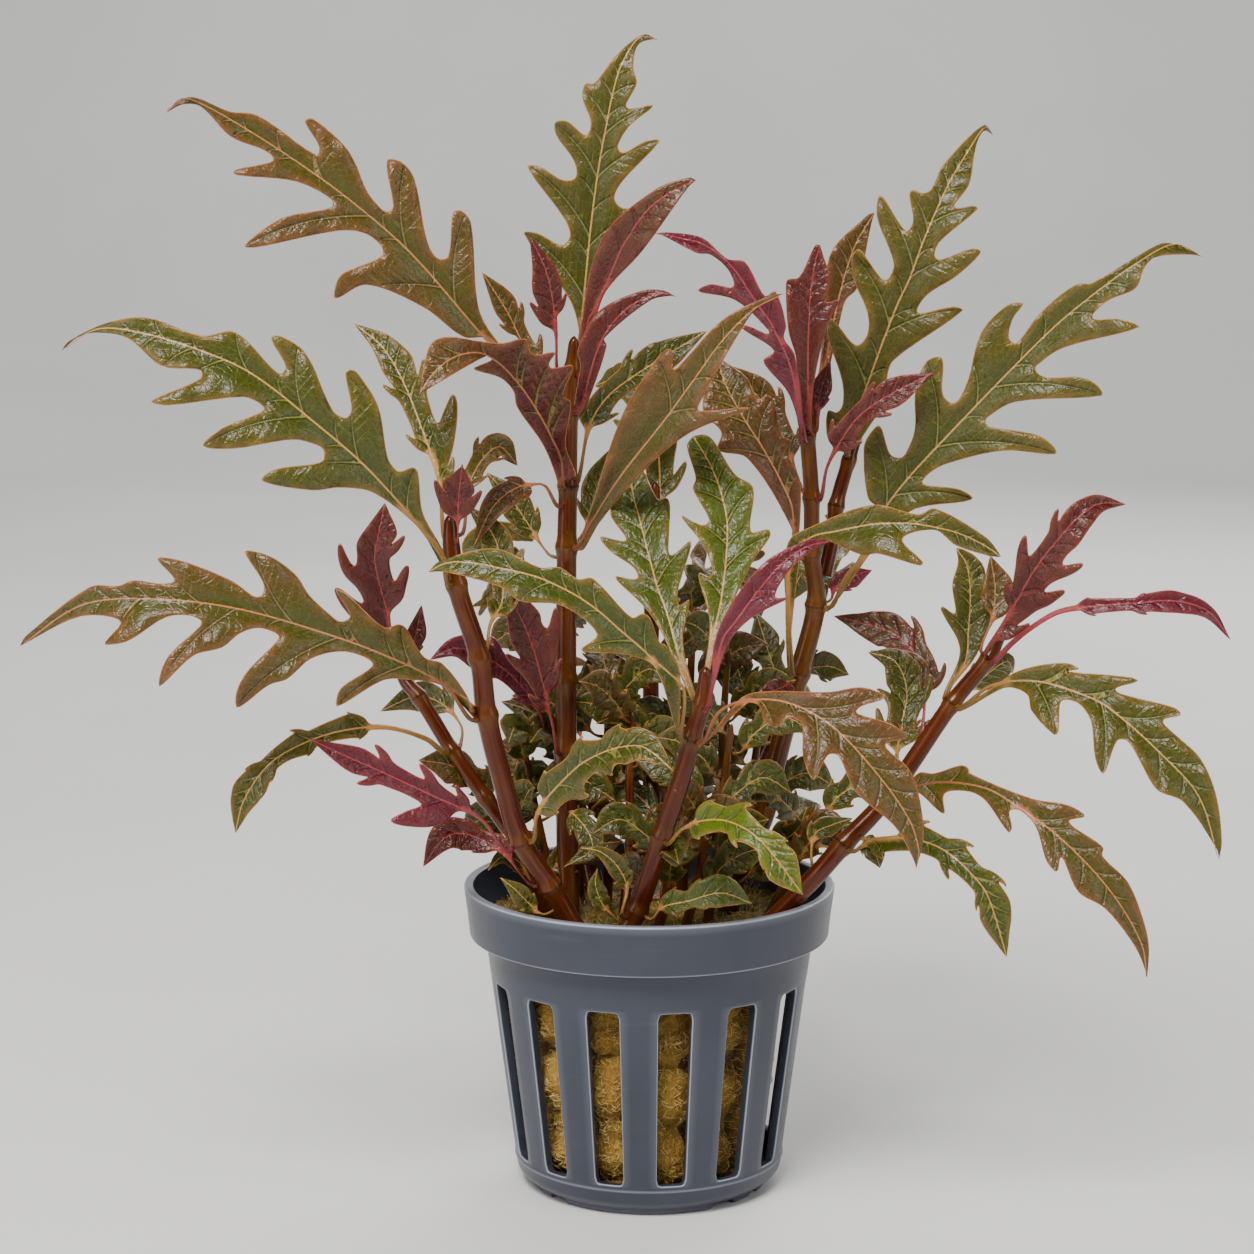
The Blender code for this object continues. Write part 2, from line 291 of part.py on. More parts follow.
# Outlines from stalk to tip as (x, z): the side left of the midrib, then the side right of it
OUTLINES = {
    "leaf_top_left": (
        [(-23.1, 125.7), (-27, 126.1), (-32.6, 130.3), (-40.9, 133.6), (-45.4, 131.6), (-45.2, 134),
         (-44.2, 135.3), (-38.6, 137.7), (-38.8, 139.3), (-41.2, 141), (-44.9, 141.3), (-58.3, 138.9),
         (-53, 143.1), (-45.7, 144.7), (-45.9, 145.9), (-50.8, 148.3), (-59.1, 149.2), (-59.8, 149.6),
         (-59.1, 150.1), (-54, 151.3), (-55, 152.6), (-60.1, 154.7), (-64.2, 158.9), (-66.8, 159.2),
         (-69.3, 158.1)],
        [(-22.8, 126.5), (-24.8, 130.7), (-25.7, 142.4), (-27.1, 144.2), (-28.3, 143.9), (-29.1, 137.6),
         (-30.7, 137.5), (-32.1, 140.1), (-33.8, 148.8), (-35.6, 151.1), (-37.7, 151.3), (-36.9, 144.8),
         (-37.5, 144.1), (-38.4, 144.3), (-40.5, 146.9), (-43.1, 152.6), (-48.1, 157.2), (-49.4, 156.9),
         (-47.4, 153.3), (-47.8, 152.1), (-56.1, 157.7), (-60.3, 158.3), (-65.6, 160.3), (-68.8, 158.7)]),
    "leaf_left_large": (
        [(-29.3, 93.1), (-33.7, 98.3), (-40.2, 103.4), (-45.1, 104.2), (-49.2, 103.8), (-56.5, 105.2),
         (-54.6, 106.9), (-47.8, 108), (-47.4, 109.6), (-48.4, 110.4), (-51.9, 111.2), (-60.4, 109.9),
         (-65, 110.3), (-62.1, 112.9), (-56, 115.5), (-56.5, 116.4), (-59, 117.4), (-70, 116.2),
         (-72.3, 116.8), (-65.1, 120.1), (-65.1, 121.3), (-70.7, 121.9), (-75.5, 125.9), (-79.6, 126.7),
         (-82.4, 126.2), (-85.2, 124)],
        [(-29.9, 94.2), (-33.1, 100.6), (-33.7, 106.3), (-34.4, 107.2), (-36.3, 106.6), (-37.1, 107),
         (-38.1, 108.6), (-39.4, 116.1), (-42.3, 120.9), (-43.3, 121.4), (-44.1, 120.9), (-43.3, 115.7),
         (-44.1, 114.4), (-46, 115.5), (-49.8, 123.8), (-53.5, 126.3), (-54.8, 125.9), (-52.7, 121.8),
         (-53.7, 120.8), (-59.9, 126.8), (-64.8, 126.3), (-72.6, 128.9), (-78.2, 128.2), (-84, 125.5)]),
    "leaf_left_arching": (
        [(-25.5, 71.7), (-31, 75.1), (-35.4, 75.8), (-39.2, 75.7), (-46, 71.8), (-46, 73.5),
         (-45.1, 74.9), (-40.7, 78), (-42.2, 79.3), (-45.5, 80), (-49.8, 78.9), (-53.3, 75.9), (-56, 75),
         (-60.7, 71.6), (-60.9, 73.7), (-59.4, 76.8), (-54.4, 82), (-55, 82.8), (-57.5, 83.5),
         (-60.1, 82.7), (-62.8, 80.6), (-67, 79.4), (-72.1, 74.8), (-71.9, 76.9), (-70.5, 79.6),
         (-66, 83.8), (-65.8, 84.6), (-67.9, 85.4), (-71.1, 85), (-76.5, 81.6), (-79.3, 81),
         (-80.1, 81.2), (-77.6, 84.5), (-83.5, 85.2), (-92.5, 80.8)],
        [(-26.7, 73.2), (-30.4, 78.2), (-33.1, 79.2), (-35.7, 83.5), (-36.8, 84.1), (-38.9, 83.6),
         (-44.4, 88.6), (-46, 89.2), (-43.9, 85.3), (-45.1, 84.5), (-46.2, 85), (-49.8, 88.4),
         (-51.7, 91.4), (-54.6, 93.7), (-57.8, 94.9), (-59.2, 94.8), (-56.6, 90.2), (-56.7, 88.5),
         (-57.8, 88.2), (-61.2, 90.6), (-68.5, 93.5), (-72, 93.8), (-69.5, 90.6), (-71.4, 90.1),
         (-75.6, 90.6), (-77.7, 89.8), (-82, 89.6), (-91.6, 82.3)]),
    "leaf_top": (
        [(-10.1, 125.4), (-11.5, 131.3), (-18.2, 141), (-16.2, 141), (-12.7, 139.3), (-11.5, 140.6),
         (-12.3, 143), (-17.6, 150.4), (-15.8, 150.5), (-12.6, 148.6), (-10.7, 148.9), (-10.9, 151.2),
         (-13.4, 154.8), (-13.6, 156.7), (-11.9, 156.9), (-9.2, 154.9), (-8.5, 156.7), (-9.7, 160.3),
         (-9.2, 162.2), (-8, 162.2), (-4.7, 166.3), (-0.8, 169.1), (1.2, 168.4)],
        [(-9.5, 125.9), (-7.9, 134), (-5.5, 138.3), (-0.9, 144), (-1.4, 144.6), (-4, 144.6), (-5.1, 146),
         (-3.9, 148.4), (1.4, 154.1), (-0.6, 154.1), (-3.3, 152.6), (-4.2, 152.5), (-4.6, 153.4),
         (-2.9, 156.2), (0.5, 159.1), (-3.4, 158.8), (-1.9, 162.2), (-2.4, 164.5), (-1.7, 167.6),
         (0.7, 168.4)]),
    "leaf_right_tall": (
        [(28.4, 110), (26.1, 111), (25.6, 113.1), (25.9, 115.5), (27.2, 115.2), (28, 116.5),
         (27.8, 119.9), (25.6, 126.7), (26.2, 128.8), (29.8, 124.9), (31.4, 126.4), (31.4, 129.6),
         (29.3, 134.6), (29.1, 137.7), (29.9, 138.7), (30.5, 138.4), (33.5, 134.4), (34.4, 134.5),
         (35.1, 136.7), (32.6, 143.4), (33.1, 146.4), (36.8, 141.3), (37.8, 142.7), (37.2, 146.6),
         (37.8, 147.2), (39, 146.7), (40.3, 147.2), (42, 150.7), (47.8, 156.4), (49, 155.1)],
        [(30, 110.3), (33.7, 115.5), (37.7, 118.7), (34.8, 119.4), (34.4, 120.1), (35.3, 122.7),
         (45.2, 129.9), (43.8, 130.5), (38.9, 129.5), (38.6, 130.1), (40.1, 132.2), (44.3, 134.9),
         (47.7, 138.3), (46.4, 138.8), (41.7, 137.2), (41, 137.8), (41.7, 139.7), (47.1, 144.4),
         (46.7, 144.9), (43.7, 144.7), (45.8, 147.9), (46.7, 153.4), (47.8, 155.5)]),
    "leaf_far_right": (
        [(33.6, 100.6), (31.8, 102.7), (31.1, 109.7), (31.7, 111.7), (33.4, 113.3), (35, 109.1),
         (36.6, 108.6), (37.4, 109.6), (38.5, 112.7), (38.5, 118.4), (40, 122.5), (42.3, 123.1),
         (42.5, 117.9), (43.9, 116.5), (44.9, 117.2), (46.1, 119.9), (47.9, 126.7), (51.6, 130.7),
         (53.9, 130.9), (52.5, 128.8), (51.9, 126), (53, 125.2), (56.3, 129.5), (61.3, 133.6),
         (63.9, 134), (73.2, 139.4), (75.5, 139.5), (79.6, 137.6)],
        [(37.3, 100.3), (47.1, 102.5), (45.2, 104), (39.8, 104.8), (40.6, 106.2), (43.3, 107.7),
         (51.5, 109.6), (59.1, 109.1), (58.6, 110.4), (56.1, 112), (49.5, 113.1), (48.8, 113.6),
         (49, 114.4), (53.1, 116.7), (65.6, 117.6), (65, 119), (62.6, 120.3), (57.4, 120.3),
         (55.9, 121.2), (56, 121.9), (59.8, 124.5), (70.7, 127.5), (67.6, 128.7), (64.7, 128.6),
         (63.9, 128.9), (64.2, 129.6), (66.3, 131.4), (70.1, 133.1), (71.2, 135.9), (72.7, 137.5),
         (77.9, 137.9)]),
    "leaf_far_right_drooping": (
        [(51.6, 75.5), (53.9, 77), (57.4, 78), (61.5, 78.3), (63.2, 77.4), (61.6, 77.1), (70.9, 76.2),
         (71.9, 75.6), (68.6, 74.5), (69.4, 73.8), (77.3, 71.7), (78.4, 70.6), (75.8, 69.8), (76.1, 69),
         (81.3, 64.2), (83.9, 58.6), (85, 51.6), (84.4, 48.4)],
        [(51.8, 74.4), (53.5, 74.6), (55.7, 73.5), (56.3, 71.2), (59.8, 67.5), (60.4, 68.2), (60.5, 72.2),
         (61.1, 72.8), (63.3, 72.2), (65.1, 69.6), (65.9, 63.9), (67.2, 61.7), (69.1, 66.7), (70.7, 66.5),
         (74.3, 60.3), (75.5, 59), (79.1, 57.4), (84.3, 50.2)]),
    "leaf_right_low_bronze": (
        [(13.6, 73.2), (17.6, 74.1), (26.4, 74), (31, 74.7), (34, 73.9), (34.6, 73), (31.2, 71.8),
         (30.5, 70.9), (35.6, 69.2), (38.1, 67.2), (34.8, 66.1), (38.5, 62.3), (40.1, 57.7), (40.7, 51.9),
         (39.7, 47.1)],
        [(14.5, 72.3), (16.2, 71.8), (16.8, 69.9), (18.6, 68.6), (20.6, 70.1), (22.4, 69.3), (22.7, 64.3),
         (24.3, 60.8), (26.4, 64.5), (27.9, 64.4), (30.5, 59), (36.4, 53.7), (39.3, 48.6)]),
    "leaf_right_drooping": (
        [(37.8, 59.6), (39.9, 61.9), (42.1, 61.8), (46, 63), (47.2, 62.6), (47.4, 61.8), (56.7, 58),
         (62.1, 57), (64.6, 55.3), (62.2, 54.5), (67.4, 50.6), (67.3, 49.3), (71.2, 45.3), (73.7, 39.4),
         (74.6, 35.3), (74.5, 29.9)],
        [(38.3, 58.5), (39.6, 59), (43.7, 55.6), (43.7, 58.7), (47.3, 59), (49.7, 57.7), (53.3, 52.8),
         (53.8, 53.5), (53.4, 56.1), (55, 56.1), (57.3, 53.7), (59, 48.5), (60.6, 46.8), (61.2, 49.1),
         (63.8, 43.8), (67.9, 41.2), (72.6, 35.2), (74.4, 30.9)]),
    "leaf_top_young_right": (
        [(-10.1, 126.4), (-6.9, 140.3), (0.9, 147.3), (5.7, 148.9)],
        [(-7.5, 129.7), (-6, 133.1), (-1.1, 138.4), (5.5, 147.5)]),
    "leaf_top_young_low": (
        [(-11, 115.8), (-10.1, 122), (-10.5, 124.2), (-7.5, 129.7), (-1.4, 132.7), (2, 132.8)],
        [(-9.1, 116.3), (-6.2, 124.8), (-6.6, 125.9), (0, 131.3), (2.9, 132)]),
    "leaf_folded": (
        [(-13.5, 105.3), (-15.5, 110.4), (-19.3, 116), (-19.8, 118.3), (-21.7, 120.2), (-25.6, 121.5),
         (-22.7, 122.9), (-23.1, 123.6), (-31.9, 118.7)],
        [(-10.7, 105.6), (-12.2, 110.4), (-11.4, 116.7), (-12.6, 117.6), (-11.1, 121.9), (-14.2, 121.6),
         (-14.6, 122.2), (-13.7, 123.9), (-17, 123.6), (-17.9, 125.8), (-21.7, 125.2), (-30.9, 125.8),
         (-33.2, 119.9)]),
    "leaf_right_red_upright": (
        [(21.7, 112.6), (21.2, 122.8), (20, 127.1), (19.6, 133.6), (19.9, 134.4), (21.5, 134.7),
         (23.8, 139.3)],
        [(23.6, 112.6), (23.9, 119.9), (25.7, 127.8), (27.3, 131.4), (25.3, 131.1), (26, 134.3),
         (24.8, 138.3)]),
    "leaf_right_grey": (
        [(21.8, 112.6), (20, 118.1), (16.4, 122.6), (18, 124.1), (13.2, 127.4), (13.9, 127.8),
         (17.1, 126.5), (17.2, 127), (12.3, 131.4), (6.9, 132.7), (8.7, 133.7), (12, 133.3),
         (11.3, 135.7), (8.7, 137.9), (6.8, 138.1), (1.7, 140.7)],
        [(22.3, 113.3), (21, 123.5), (19.4, 125.9), (19.7, 127.8), (18.1, 132.7), (16.6, 132),
         (13.7, 136.9), (11.2, 137.3), (7.6, 140.3), (2.6, 141.1)]),
    "leaf_right_brown_back": (
        [(22.7, 114.1), (24.6, 122), (25.8, 137.6), (31.3, 143.6)],
        [(24.7, 114.8), (27.5, 128.5), (28.3, 131.4), (29.9, 133.1), (31.9, 142.6)]),
    "leaf_centre_upright": (
        [(-10.2, 96.2), (-4.2, 114.4), (0.9, 122.9), (2.6, 124.4), (3.4, 123.8), (3.2, 121.6),
         (3.9, 121.6), (10.4, 128.5), (17.3, 132.1)],
        [(-9.6, 95.1), (-7.2, 99.2), (-0.7, 106.8), (6, 112.3), (14.6, 115.8), (7.3, 115.4), (7, 116),
         (13.2, 127.1), (15.5, 130.3), (18.1, 131.8)]),
    "leaf_right_brown_left": (
        [(20.5, 98.7), (14.2, 108.5), (9.9, 109.7), (10.4, 112.3), (8, 114.8), (7.7, 117), (9, 121.6)],
        [(22, 99.5), (21.9, 105.3), (20.4, 108.7), (20.5, 111), (19.2, 111.9), (17.9, 117), (17.1, 117.7),
         (15.6, 117.1), (14.1, 120.2), (10.5, 122.8)]),
    "leaf_front_green_left": (
        [(2.3, 81.7), (-0.4, 86.2), (-5.1, 91.1), (-1.8, 90.8), (-2.3, 92.4), (-5.8, 94.9), (-7.2, 97),
         (-3.4, 96.5), (-5.8, 100.6), (-3.4, 106.1)],
        [(4.9, 81.7), (5.9, 87.7), (4.3, 86.9), (4.2, 89.1), (6.1, 96.4), (3.3, 94.3), (2.8, 94.8),
         (3, 101.4), (2.5, 102.8), (1.2, 102.5), (-1.4, 107.8)]),
    "leaf_front_green_right": (
        [(8.7, 81.7), (8.7, 85.4), (7.1, 91.7), (8.9, 91.1), (9, 92.8), (7.8, 95.8), (4.6, 100.1),
         (7.8, 98.7), (8.7, 99.5), (6.3, 104), (6.7, 105.6), (5.4, 110.4)],
        [(10.1, 82), (15.1, 93.3), (17.6, 97), (17.4, 98.1), (14.8, 97.8), (15.1, 104.2), (12.4, 106.2),
         (9.2, 111.2), (7.9, 112)]),
    "leaf_centre_arching": (
        [(0.8, 77.6), (-3.2, 79.5), (-10.1, 80.2), (-7.7, 82.6), (-12.8, 86.8), (-19, 87.5),
         (-21.9, 89.6), (-29.9, 91.8)],
        [(4.5, 77), (2.4, 81), (1.5, 81.4), (0.1, 85), (-1, 85.7), (-2.6, 85.1), (-8.3, 90.9),
         (-10.5, 90.8), (-13.1, 92.5), (-16, 92.5), (-22.6, 95.3), (-30.7, 93.4)]),
    "leaf_right_arching": (
        [(19.9, 94.6), (20.5, 96.7), (22, 97.8), (32.4, 101.7), (39.2, 100.3), (41.6, 101.2), (49, 97.1),
         (50.9, 94.9)],
        [(22, 94.3), (22.7, 96.4), (25.6, 96.5), (31.1, 94.3), (33.4, 94.5), (39.7, 92.7), (40, 93.3),
         (36.9, 96.7), (41.7, 98), (44.6, 95.8), (49.5, 94.2)]),
    "leaf_right_green_upright": (
        [(45.6, 80.2), (42.7, 86.2), (42.9, 86.8), (44.8, 85.7), (44.3, 89.9), (45.1, 93.3)],
        [(48.1, 79.5), (50.5, 86.5), (49.3, 86.3), (49.1, 92.1), (47.6, 94.2), (45.5, 95.3)]),
    "leaf_front_red": (
        [(9.8, 82.5), (16.2, 92.7), (22.9, 96.5), (24.9, 96.7)],
        [(11.5, 81), (15, 85), (20.6, 88.1), (18.4, 88.1), (20.3, 91.8), (23.2, 94.6), (26.1, 96.1)]),
}


def clear_scene():
    for obj in list(bpy.data.objects):
        bpy.data.objects.remove(obj, do_unlink=True)


def finish(name):
    """The material of one kind of surface."""
    material = bpy.data.materials.get(name)
    if material is None:
        colour, roughness = FINISHES[name]
        material = bpy.data.materials.new(name)
        material.use_nodes = True
        shader = material.node_tree.nodes["Principled BSDF"]
        shader.inputs["Base Color"].default_value = (*colour, 1.0)
        shader.inputs["Roughness"].default_value = roughness
        shader.inputs["Metallic"].default_value = 0.0
        material.diffuse_color = (*colour, 1.0)
    return material


def add_object(name, points, faces, material, smooth=True):
    """A mesh object from points in millimetres."""
    mesh = bpy.data.meshes.new(name)
    mesh.from_pydata([Vector(p) * MM for p in points], [], faces)
    mesh.polygons.foreach_set("use_smooth", [smooth] * len(mesh.polygons))
    mesh.materials.append(finish(material))
    mesh.update()
    obj = bpy.data.objects.new(name, mesh)
    bpy.context.scene.collection.objects.link(obj)
    return obj


def seen(x, z, y):
    """The point at depth y that lies behind the outline point (x, z)."""
    return EYE + (Vector((x, 0.0, z)) - EYE) * ((y - EYE.y) / -EYE.y)


def smooth_path(rows, steps):
    """Points on a curve through the rows, with even parameter steps between them."""
    rows = [Vector(row) for row in rows]
    ends = [rows[0] * 2 - rows[1]] + rows + [rows[-1] * 2 - rows[-2]]
    path = []
    for before, start, end, after in zip(ends, ends[1:], ends[2:], ends[3:]):
        reach = (end - start).length
        out = (end - before) * reach / max((end - start).length + (start - before).length, 1e-6)
        into = (after - start) * reach / max((after - end).length + (end - start).length, 1e-6)
        for k in range(steps):
            t = k / steps
            path.append(start * (2 * t**3 - 3 * t**2 + 1) + out * (t**3 - 2 * t**2 + t)
                        + end * (3 * t**2 - 2 * t**3) + into * (t**3 - t**2))
    path.append(rows[-1])
    return path


# Pot

def pot_profile():
    """Outer then inner wall as (radius, height, kind of ring), from the foot up and back down."""
    def body(z):
        return BODY_LOW_RADIUS + (BODY_HIGH_RADIUS - BODY_LOW_RADIUS) * (z - 2.5) / (BAND_LOW - 2.5)
    return [
        (FOOT_RADIUS - 0.5, 0.0), (FOOT_RADIUS, 0.4), (FOOT_RADIUS + 1.2, 1.0), (BODY_LOW_RADIUS, 2.5),
        (body(SLOT_LOW), SLOT_LOW), (body(SLOT_HIGH), SLOT_HIGH), (BODY_HIGH_RADIUS, BAND_LOW),
        (BAND_RADIUS - 0.3, BAND_LOW), (BAND_RADIUS, BAND_LOW + 0.4), (RIM_RADIUS, POT_HEIGHT - 0.5),
        (RIM_RADIUS - 0.4, POT_HEIGHT), (RIM_RADIUS - WALL + 0.4, POT_HEIGHT),
        (RIM_RADIUS - WALL, POT_HEIGHT - 0.5), (BAND_RADIUS - WALL, LEDGE_HEIGHT),
        (BODY_HIGH_RADIUS - WALL, LEDGE_HEIGHT), (body(SLOT_HIGH) - WALL, SLOT_HIGH),
        (body(SLOT_LOW) - WALL, SLOT_LOW), (BODY_LOW_RADIUS - WALL, WALL),
    ]


def make_pot():
    """One closed shell: rings of columns, with the slot columns left open between the slot heights."""
    profile = pot_profile()
    pitch = 2 * math.pi / POT_COLUMNS
    angles = []
    for k in range(POT_COLUMNS):
        middle = POT_TURN + k * pitch
        angles += [middle - SLOT_WIDTH / 2, middle + SLOT_WIDTH / 2]
    count = len(angles)
    points = [(r * math.sin(a), -r * math.cos(a), z) for r, z in profile for a in angles]
    low_out, high_out, high_in, low_in = 4, 5, 15, 16
    faces = []
    for ring in range(len(profile) - 1):
        for k in range(count):
            slot = k % 2 == 0 and ring in (low_out, high_in)
            if not slot:
                n = (k + 1) % count
                faces.append((ring * count + k, ring * count + n,
                              (ring + 1) * count + n, (ring + 1) * count + k))
    for k in range(0, count, 2):
        n = k + 1
        for a, b in ((low_out, low_in), (high_in, high_out)):
            faces.append((a * count + k, a * count + n, b * count + n, b * count + k))
        faces.append((low_out * count + k, low_in * count + k, high_in * count + k, high_out * count + k))
        faces.append((low_out * count + n, high_out * count + n, high_in * count + n, low_in * count + n))
    faces.append(tuple(reversed(range(count))))
    last = (len(profile) - 1) * count
    faces.append(tuple(range(last, last + count)))
    pot = add_object("pot", points, faces, "pot_plastic")
    sharpen(pot, 35.0)
    cut_foot_notches(pot)
    return pot


def sharpen(obj, degrees):
    """Keep edges crisp where the faces meet at more than the given angle."""
    shape = bmesh.new()
    shape.from_mesh(obj.data)
    for edge in shape.edges:
        if len(edge.link_faces) == 2 and edge.calc_face_angle() > math.radians(degrees):
            edge.smooth = False
    shape.to_mesh(obj.data)
    shape.free()


def cut_foot_notches(pot):
    """Shallow drain notches under the edge of the foot, the same in front and behind."""
    notches = [(-78.0, 5.0), (-48.5, 11.0), (38.0, 12.0), (60.0, 5.0)]
    points, faces = [], []
    for middle, width in notches + [(m + 180.0, w) for m, w in notches]:
        start = len(points)
        for z in (-1.0, 0.9):
            for angle, radius in ((-0.5, 14.5), (0.5, 14.5), (0.5, 21.0), (-0.5, 21.0)):
                a = math.radians(middle + width * angle)
                points.append((radius * math.sin(a), -radius * math.cos(a), z))
        for quad in ((3, 2, 1, 0), (4, 5, 6, 7), (0, 1, 5, 4), (1, 2, 6, 5), (2, 3, 7, 6), (3, 0, 4, 7)):
            faces.append(tuple(start + i for i in reversed(quad)))
    cutter = add_object("foot_notch_cutter", points, faces, "pot_plastic", smooth=False)
    cutter.hide_render = True
    cutter.display_type = "WIRE"
    cutter.parent = pot
    cut = pot.modifiers.new("foot notches", "BOOLEAN")
    cut.operation = "DIFFERENCE"
    cut.solver = "EXACT"
    cut.object = cutter


# Rockwool

def make_rockwool():
    """A lumpy plug whose lip lies on the pot's inner ledge."""
    rings = []
    for row, (z, radius) in enumerate(PLUG_PROFILE):
        ring = []
        for k in range(PLUG_COLUMNS):
            a = 2 * math.pi * k / PLUG_COLUMNS
            lump = 0.5 * math.sin(6 * a + 1.9 * row) + 0.4 * math.sin(11 * a - 1.1 * row)
            r = radius + lump * (1.0 if row < 10 else 0.4) - 0.8 * math.sin(a)
            ring.append((r * math.sin(a), -r * math.cos(a), z))
        rings.append(ring)
    for z, radius in ((LEDGE_HEIGHT + GAP + 0.1, PLUG_LIP), (PLUG_TOP, PLUG_LIP)):
        rings.append([(radius * math.sin(2 * math.pi * k / PLUG_COLUMNS),
                       -radius * math.cos(2 * math.pi * k / PLUG_COLUMNS), z) for k in range(PLUG_COLUMNS)])
    points = [p for ring in rings for p in ring]
    faces = []
    for ring in range(len(rings) - 1):
        for k in range(PLUG_COLUMNS):
            n = (k + 1) % PLUG_COLUMNS
            a = ring * PLUG_COLUMNS
            b = a + PLUG_COLUMNS
            faces.append((a + k, a + n, b + n, b + k))
    faces.append(tuple(reversed(range(PLUG_COLUMNS))))
    faces.append(tuple(range(len(points) - PLUG_COLUMNS, len(points))))
    plug = add_object("rockwool", points, faces, "rockwool")
    sharpen(plug, 50.0)
    return plug


# Stems

def stem_rings(rows):
    """Centre and radius of each ring: two between rows, and a swelling at every leaf node."""
    path = smooth_path([(x, z, y, r) for x, z, y, r, node in rows], 2)
    rings = []
    for k, (x, z, y, r) in enumerate(path):
        row = rows[k // 2]
        node = row[4] if k % 2 == 0 else 0
        rings.append((seen(x, z, y), r, node))
    return rings


def make_stem(name, rows):
    rings = stem_rings(rows)
    points, faces = [], []
    for k, (centre, radius, node) in enumerate(rings):
        along = rings[min(k + 1, len(rings) - 1)][0] - rings[max(k - 1, 0)][0]
        along.normalize()
        if k == 0 and name != "stem_right_centre_branch":
            centre = Vector((centre.x, centre.y, PLUG_TOP + GAP))
            along = Vector((0.0, 0.0, 1.0))
        side = along.cross(Vector((0.0, 1.0, 0.0))).normalized()
        up = along.cross(side)
        swell = NODE_SWELL if node else 1.0
        for s in range(STEM_SIDES):
            a = 2 * math.pi * s / STEM_SIDES
            points.append(centre + (side * math.cos(a) + up * math.sin(a)) * radius * swell)
    tip = rings[-1][0] + (rings[-1][0] - rings[-2][0]).normalized() * 0.8
    points.append(tip)
    for k in range(len(rings) - 1):
        for s in range(STEM_SIDES):
            n = (s + 1) % STEM_SIDES
            a = k * STEM_SIDES
            b = a + STEM_SIDES
            faces.append((a + s, a + n, b + n, b + s))
    last = (len(rings) - 1) * STEM_SIDES
    faces += [(last + s, last + (s + 1) % STEM_SIDES, len(points) - 1) for s in range(STEM_SIDES)]
    faces.append(tuple(reversed(range(STEM_SIDES))))
    return add_object(name, points, faces, "stem")


# Leaves

def leave_stem(stem, rib):
    """Midrib rows that start just clear of the stem, square to its bark."""
    rings = stem_rings(STEMS[stem])
    near = seen(*rib[0])
    centre, radius, node = min(rings, key=lambda ring: (ring[0] - near).length)
    k = rings.index((centre, radius, node))
    along = (rings[min(k + 1, len(rings) - 1)][0] - rings[max(k - 1, 0)][0]).normalized()
    out = seen(*rib[1]) - centre
    out = (out - along * out.dot(along)).normalized()
    rows = []
    for reach in (radius * NODE_SWELL + GAP + 0.15, radius * NODE_SWELL + 1.3):
        point = centre + out * reach + along * 0.25 * (reach - radius)
        scale = -EYE.y / (point.y - EYE.y)
        flat = EYE + (point - EYE) * scale
        rows.append((flat.x, flat.z, point.y))
    return rows + list(rib[1:])


def blade_edge(length, lobes, notch):
    """One side of the outline as (distance along the midrib, distance out from it)."""
    half = PETIOLE_HALF_WIDTH
    first = lobes[0][0] * length / 100 - 1.5 * lobes[0][1] if lobes else 0.3 * length
    edge = [(0.0, half), (max(first, 0.07 * length), half)]
    for k, (percent, reach) in enumerate(lobes):
        tip = percent * length / 100
        beyond = lobes[k + 1][1] if k + 1 < len(lobes) else reach
        depth = max(notch * min(reach, beyond), 1.3)
        start, low = edge[-1]
        span = max(tip - start, 0.5)
        edge.append((max(tip - 0.9 * reach, start + 0.2 * span), 0.68 * reach))
        edge.append((max(tip - 0.35 * reach, start + 0.6 * span), 0.94 * reach))
        edge.append((tip, reach))
        back = min(0.5 * reach, 0.85 * VEIN_SLOPE * (reach - PETIOLE_HALF_WIDTH) * (1 - depth / reach))
        edge.append((max(tip - back, start + 0.4 * span), depth))
    start = edge[-1][0]
    wide = max(min(TIP_HALF_WIDTH, edge[-1][1] * 1.3), 1.4)
    for share, width in ((0.2, 1.0), (0.55, 0.62)):
        edge.append((start + (length - start) * share, wide * width))
    return edge


def feet_of(edge):
    """Where the vein to each outline point leaves the midrib."""
    feet = []
    for s, w in edge:
        foot = max(s - VEIN_SLOPE * (w - PETIOLE_HALF_WIDTH), 0.0)
        feet.append(max(foot, feet[-1] + 0.05) if feet else foot)
    return feet


def midrib_frames(rows):
    """Fine midrib as (length so far, place, direction out to the left, upper normal, scale)."""
    path = smooth_path(rows, 8)
    places = [seen(*p) for p in path]
    frames = []
    length = 0.0
    for k, place in enumerate(places):
        if k:
            length += (place - places[k - 1]).length
        along = (places[min(k + 1, len(places) - 1)] - places[max(k - 1, 0)]).normalized()
        left = FACE.cross(along).normalized()
        frames.append((length, place, left, along.cross(left), (path[k].z - EYE.y) / -EYE.y))
    return frames


def frame_at(frames, s):
    """The midrib frame at length s."""
    k = 1
    while k < len(frames) - 1 and frames[k][0] < s:
        k += 1
    a, b = frames[k - 1], frames[k]
    t = min(max((s - a[0]) / max(b[0] - a[0], 1e-6), 0.0), 1.0)
    place = a[1].lerp(b[1], t)
    left = a[2].lerp(b[2], t).normalized()
    normal = a[3].lerp(b[3], t).normalized()
    return place, left, normal, a[4] + (b[4] - a[4]) * t


